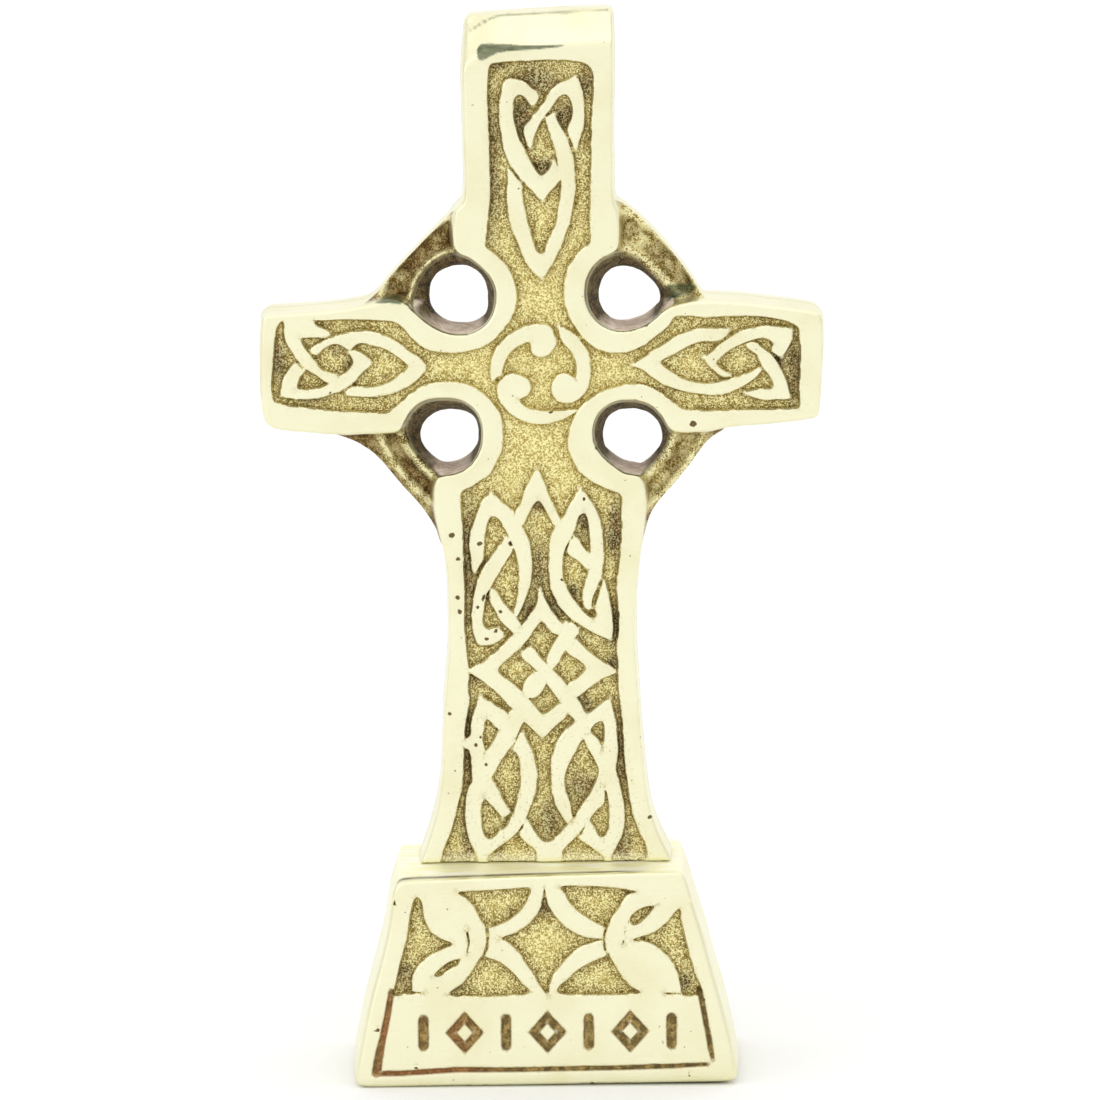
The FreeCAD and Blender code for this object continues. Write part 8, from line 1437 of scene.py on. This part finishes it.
def brass_casting(name, is_cross):
    m = Nodes(name)
    sunk, crevice, patina = m.attr("sunk"), m.attr("crevice"), m.attr("patina")
    # polished skin
    cloud = m.noise(7.0, 3.0, 0.5)
    col = m.mix(m.ramp(cloud, 0.42, 0.72), POLISHED, POLISHED_WARM)
    lines = m.noise(1.0, 3.0, 0.55, stretch=(0.22, 2.0, 9.0))
    fine = m.noise(1.0, 2.0, 0.6, stretch=(0.9, 6.0, 24.0), shift=(3.0, 1.0, 7.0))
    diag = m.noise(1.0, 2.0, 0.6, stretch=(5.0, 3.0, 0.6), shift=(9.0, 2.0, 4.0))
    # small casting pinholes
    pin = m.noise(0.55, 1.0, 0.5, shift=(11.0, 5.0, 2.0))
    pin = m.ramp(pin, 0.785, 0.82)
    col = m.mix(m.math("MULTIPLY", pin, 0.75), col, CREVICE)
    # sunk ground: fine sandy grain, light in the open and dark in the narrow places; its brightest specks are painted
    # glints on the grain tops
    tone = m.attr("tone")
    grain = m.noise(0.22, 2.0, 0.65)
    coarse = m.noise(0.75, 3.0, 0.55, shift=(2.0, 8.0, 1.0))
    k = m.math("ADD", m.math("MULTIPLY", grain, 0.78), m.math("MULTIPLY", coarse, 0.22))
    lowest = m.mix(tone, srgb(184, 163, 90), srgb(84, 62, 28))
    middle = m.mix(tone, srgb(229, 216, 146), srgb(168, 147, 82))
    # painted glints: near-white specks on the grain tops, real grain underneath
    grain_tops_and_painted_glints = m.mix(tone, srgb(253, 245, 186), srgb(250, 242, 188))
    g = m.mix(m.ramp(k, 0.440, 0.494), lowest, middle)
    g = m.mix(m.ramp(k, 0.506, 0.560), g, grain_tops_and_painted_glints)
    where = m.noise(1.7, 2.0, 0.5, shift=(6.0, 3.0, 5.0))
    edge = m.math("MULTIPLY", m.math("MULTIPLY", crevice, m.ramp(k, 0.42, 0.58, 1.0, 0.45)), m.ramp(where, 0.40, 0.62, 0.25, 0.95))
    g = m.mix(edge, g, m.mix(tone, srgb(182, 152, 76), srgb(108, 84, 38)))
    speck = m.math("MULTIPLY", m.attr("fringe"), m.ramp(m.noise(0.42, 2.0, 0.6, shift=(1.0, 9.0, 3.0)), 0.56, 0.66))
    col = m.mix(m.math("MULTIPLY", speck, 0.5), col, srgb(164, 142, 82))
    col = m.mix(sunk, col, g)
    rough = m.mix(sunk, (0.27, 0.27, 0.27), (0.5, 0.5, 0.5))
    rougher = m.ramp(lines, 0.3, 0.7, 0.0, 0.08)
    if is_cross:
        ring, hole, ridge, painted_reflection = m.attr("ring"), m.attr("hole"), m.attr("ridge"), m.attr("painted_reflection")
        rn = m.noise(1.5, 4.0, 0.65, shift=(1.0, 4.0, 4.0))
        rk = m.math("ADD", m.math("MULTIPLY", k, 0.62), m.math("MULTIPLY", rn, 0.38))
        rc = m.mix(m.ramp(rk, 0.445, 0.495), m.mix(tone, srgb(160, 136, 70), srgb(84, 62, 36)), m.mix(tone, srgb(236, 222, 154), srgb(128, 104, 62)))
        rc = m.mix(m.ramp(rk, 0.505, 0.555), rc, m.mix(tone, srgb(255, 251, 206), srgb(168, 146, 94)))
        rc = m.mix(m.math("MULTIPLY", ridge, m.ramp(rk, 0.452, 0.500)), rc, RING_GOLD)
        col = m.mix(ring, col, rc)
        # hole walls: painted light and shade by facing; the upward-facing lower wall is painted pale as if lit, the
        # downward-facing upper wall is painted dark shade flecked with gold grain
        geo = m.t.nodes.new("ShaderNodeNewGeometry")
        sep = m.t.nodes.new("ShaderNodeSeparateXYZ")
        m.t.links.new(geo.outputs["Normal"], sep.inputs[0])
        hn = m.noise(1.1, 3.0, 0.65)
        painted_lit_lower_wall = m.mix(m.ramp(hn, 0.36, 0.64), srgb(208, 184, 162), srgb(243, 228, 210))
        painted_shaded_upper_wall = m.mix(m.ramp(hn, 0.36, 0.64), srgb(50, 40, 24), srgb(112, 94, 58))
        painted_shaded_upper_wall = m.mix(m.math("MULTIPLY", m.ramp(grain, 0.60, 0.66), 0.75), painted_shaded_upper_wall, srgb(206, 190, 128))
        painted_hole_light_and_shade = m.mix(m.ramp(sep.outputs[2], 0.55, 0.93), painted_shaded_upper_wall, painted_lit_lower_wall)
        # painted light and shade on the hole walls
        col = m.mix(hole, col, painted_hole_light_and_shade)
        # painted reflection: dark green-grey reflections painted on the polished facets and along the head's crest
        col = m.mix(m.math("MULTIPLY", painted_reflection, m.ramp(m.noise(1.2, 2.0, 0.5, stretch=(0.3, 1.0, 1.0)), 0.35, 0.6, 0.95, 0.78)), col, srgb(76, 88, 62))
        rough = m.mix(ring, rough, (0.45, 0.45, 0.45))
        rough = m.mix(hole, rough, (0.85, 0.85, 0.85))
    else:
        inc, stain, deck = m.attr("incised"), m.attr("stain"), m.attr("deck")
        # painted reflection: the upward-facing deck is coloured near white, paler than the brass elsewhere, to stand
        # for its bright reflection; the linishing lines in it are real
        col = m.mix(deck, col, m.mix(m.ramp(lines, 0.35, 0.65), srgb(252, 248, 208), srgb(255, 255, 246)))
        ic = m.mix(m.ramp(m.noise(0.9, 2.0, 0.5), 0.4, 0.62), srgb(126, 104, 52), srgb(188, 160, 96))
        ic = m.mix(m.math("MULTIPLY", stain, 0.9), ic, COPPERY)
        ic = m.mix(m.ramp(grain, 0.55, 0.42, 0.0, 0.5), ic, SOOT)
        col = m.mix(m.math("MULTIPLY", inc, 0.95), col, ic)
        rough = m.mix(inc, rough, (0.5, 0.5, 0.5))
        rough = m.mix(deck, rough, (0.62, 0.62, 0.62))
        col = m.mix(m.math("MULTIPLY", m.attr("brink"), m.ramp(m.noise(1.4, 2.0, 0.5, stretch=(0.4, 1.0, 1.0)), 0.38, 0.60, 0.95, 0.65)), col, srgb(96, 82, 44))
    dark = m.math("MULTIPLY", m.math("MULTIPLY", m.ramp(patina, 0.0, 0.9), m.ramp(sunk, 0.3, 1.0, 0.05, 0.92)), m.ramp(k, 0.42, 0.60, 1.0, 0.6))
    col = m.mix(dark, col, m.mix(m.ramp(m.noise(1.9, 2.0, 0.5, shift=(3.0, 7.0, 9.0)), 0.42, 0.60), SOOT, srgb(104, 72, 40)))
    col = m.mix(m.ramp(m.attr("pit"), 0.18, 0.55, 0.0, 0.95), col, srgb(100, 76, 34))
    # normals: linishing lines on the skin, grain in the ground
    skin = m.math("SUBTRACT", 1.0, sunk)
    h = m.math("MULTIPLY", m.math("ADD", m.math("ADD", lines, m.math("MULTIPLY", fine, 0.5)), m.math("MULTIPLY", diag, 0.35)), skin)
    n1 = m.bump(h, 0.010, 0.8)
    gh = m.math("MULTIPLY", grain, m.math("MAXIMUM", sunk, m.attr("ring") if is_cross else m.attr("incised")))
    n2 = m.bump(gh, 0.22, 0.8, n1)
    n3 = m.bump(m.math("MULTIPLY", pin, -1.0), 0.12, 0.7, n2)
    metal = m.ramp(sunk, 0.0, 1.0, 1.0, 0.9)
    if is_cross:
        metal = m.math("MULTIPLY", metal, m.ramp(hole, 0.0, 1.0, 1.0, 0.1))
    return m.finish(col, m.math("ADD", rough, rougher), metal, n3)


cross_mat = brass_casting("brass_cross", True)
ped_mat = brass_casting("brass_pedestal", False)

m = Nodes("brass_turned")
col = m.mix(m.ramp(m.noise(2.0), 0.35, 0.7), srgb(214, 190, 120), srgb(176, 146, 82))
turned = m.finish(col, 0.32, 1.0, m.bump(m.noise(1.0, 2.0, 0.5, stretch=(3.0, 3.0, 14.0)), 0.02, 0.6))
m = Nodes("brass_washer")
col = m.mix(m.ramp(m.noise(1.5), 0.35, 0.7), srgb(206, 180, 112), srgb(160, 130, 70))
washer_mat = m.finish(col, 0.38, 1.0, m.bump(m.noise(0.5, 2.0, 0.5), 0.02, 0.5))
m = Nodes("steel_spring")
col = m.mix(m.ramp(m.noise(1.2), 0.35, 0.7), srgb(150, 150, 152), srgb(96, 94, 92))
lock_mat = m.finish(col, 0.42, 1.0, m.bump(m.noise(0.4, 2.0, 0.5), 0.03, 0.6))
m = Nodes("felt_green")
nap = m.noise(0.35, 4.0, 0.7)
tuft = m.noise(1.6, 3.0, 0.6, shift=(4.0, 4.0, 0.0))
col = m.mix(m.ramp(nap, 0.35, 0.65), srgb(24, 62, 38), srgb(52, 104, 66))
col = m.mix(m.ramp(tuft, 0.4, 0.7, 0.0, 0.5), col, srgb(34, 78, 50))
felt_mat = m.finish(col, 0.95, 0.0, m.bump(m.math("ADD", nap, m.math("MULTIPLY", tuft, 0.6)), 0.25, 0.9))
felt_mat.node_tree.nodes["Principled BSDF"].inputs["Sheen Weight"].default_value = 0.35

for ob, mat in ((cross, cross_mat), (pedestal, ped_mat)):
    ob.data.materials.clear()
    ob.data.materials.append(mat)
for node, mat in (("fixing_screw", turned), ("plain_washer", washer_mat), ("lock_washer", lock_mat), ("felt_pad", felt_mat)):
    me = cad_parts[node].data
    me.materials.clear()
    me.materials.append(mat)

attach(cross, "root")
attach(pedestal, "root")
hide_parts("cross_casting")
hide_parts("pedestal_casting")

# ------------------------------------------------------------------ setting
bpy.ops.mesh.primitive_plane_add(size=6.0, location=(0, 0, -0.00003))
floor = bpy.context.object
floor.name = "floor"
m = Nodes("pale_floor")
floor.data.materials.append(m.finish(m.mix(m.ramp(m.noise(60.0), 0.3, 0.7), (0.955, 0.955, 0.95), (0.965, 0.965, 0.96)), 0.9, 0.0))
floor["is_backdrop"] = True

scene = bpy.context.scene
world = bpy.data.worlds.new("soft_room")
scene.world = world
world.use_nodes = True
wt = world.node_tree
wt.nodes.clear()
w_out = wt.nodes.new("ShaderNodeOutputWorld")
w_bg = wt.nodes.new("ShaderNodeBackground")
w_tc = wt.nodes.new("ShaderNodeTexCoord")
w_sep = wt.nodes.new("ShaderNodeSeparateXYZ")
w_map = wt.nodes.new("ShaderNodeMapRange")
wt.links.new(w_tc.outputs["Generated"], w_sep.inputs[0])
wt.links.new(w_sep.outputs[2], w_map.inputs[0])
w_map.inputs[1].default_value = 0.0
w_map.inputs[2].default_value = 1.0
w_map.inputs[3].default_value = 1.04
w_map.inputs[4].default_value = 1.13
w_abs = wt.nodes.new("ShaderNodeMath")
w_abs.operation = "ABSOLUTE"
wt.links.new(w_sep.outputs[0], w_abs.inputs[0])
w_side = wt.nodes.new("ShaderNodeMapRange")
w_side.interpolation_type = "SMOOTHSTEP"
wt.links.new(w_abs.outputs[0], w_side.inputs[0])
for i, value in ((1, 0.62), (2, 0.98), (3, 1.0), (4, 0.80)):
    w_side.inputs[i].default_value = value
w_mul = wt.nodes.new("ShaderNodeMath")
w_mul.operation = "MULTIPLY"
wt.links.new(w_map.outputs[0], w_mul.inputs[0])
wt.links.new(w_side.outputs[0], w_mul.inputs[1])
wt.links.new(w_mul.outputs[0], w_bg.inputs["Strength"])
w_bg.inputs["Color"].default_value = (1.0, 1.0, 1.0, 1.0)
wt.links.new(w_bg.outputs[0], w_out.inputs[0])


def lamp(name, place, aim, size, energy, color=(1, 1, 1)):
    data = bpy.data.lights.new(name, "AREA")
    data.shape = "RECTANGLE"
    data.size, data.size_y = size
    data.energy = energy
    data.color = color
    ob = bpy.data.objects.new(name, data)
    scene.collection.objects.link(ob)
    ob.location = place
    d = Vector(aim) - Vector(place)
    ob.rotation_euler = d.to_track_quat("-Z", "Y").to_euler()
    return ob


lamp("top_softbox", (0.1, -0.15, 0.75), (0, 0, 0.05), (0.6, 0.5), 0.22)
lamp("left_softbox", (-0.65, -0.45, 0.45), (0, 0, 0.07), (0.4, 0.6), 0.5)

cam_data = bpy.data.cameras.new("camera")
cam_data.sensor_width = 36.0
cam_data.lens = 202.33
cam_data.clip_start = 0.05
camera = bpy.data.objects.new("camera", cam_data)
scene.collection.objects.link(camera)
eye, aim = Vector((0.00087, -0.8, 0.196)), Vector((0.00087, 0.0, 0.06887))
fw = (aim - eye).normalized()
rt = fw.cross(Vector((0, 0, 1))).normalized()
up = rt.cross(fw)
ca, sa = math.cos(math.radians(0.5)), math.sin(math.radians(0.5))
r2, u2 = ca * rt - sa * up, sa * rt + ca * up
camera.matrix_world = Matrix(((r2.x, u2.x, -fw.x, eye.x), (r2.y, u2.y, -fw.y, eye.y), (r2.z, u2.z, -fw.z, eye.z), (0, 0, 0, 1)))
scene.camera = camera
scene.view_settings.view_transform = "Standard"
scene.view_settings.look = "None"
scene.view_settings.exposure = 0.0
scene.view_settings.gamma = 1.0


print("final counts", len(cross.data.polygons), len(pedestal.data.polygons))


def plain(b):
    return [[float(c) for c in row] for row in b]


def whole(pieces):
    low, high = np.full(3, 1e9), np.full(3, -1e9)
    for ob in pieces:
        c = coords(ob) * MM
        low, high = np.minimum(low, c.min(0)), np.maximum(high, c.max(0))
    return [[float(c) for c in low], [float(c) for c in high]]


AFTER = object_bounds()
{"frame_after_load": plain(CAD_BOUNDS), "frame_before_finish": plain(AFTER), "new_pieces": whole([cross, pedestal])}
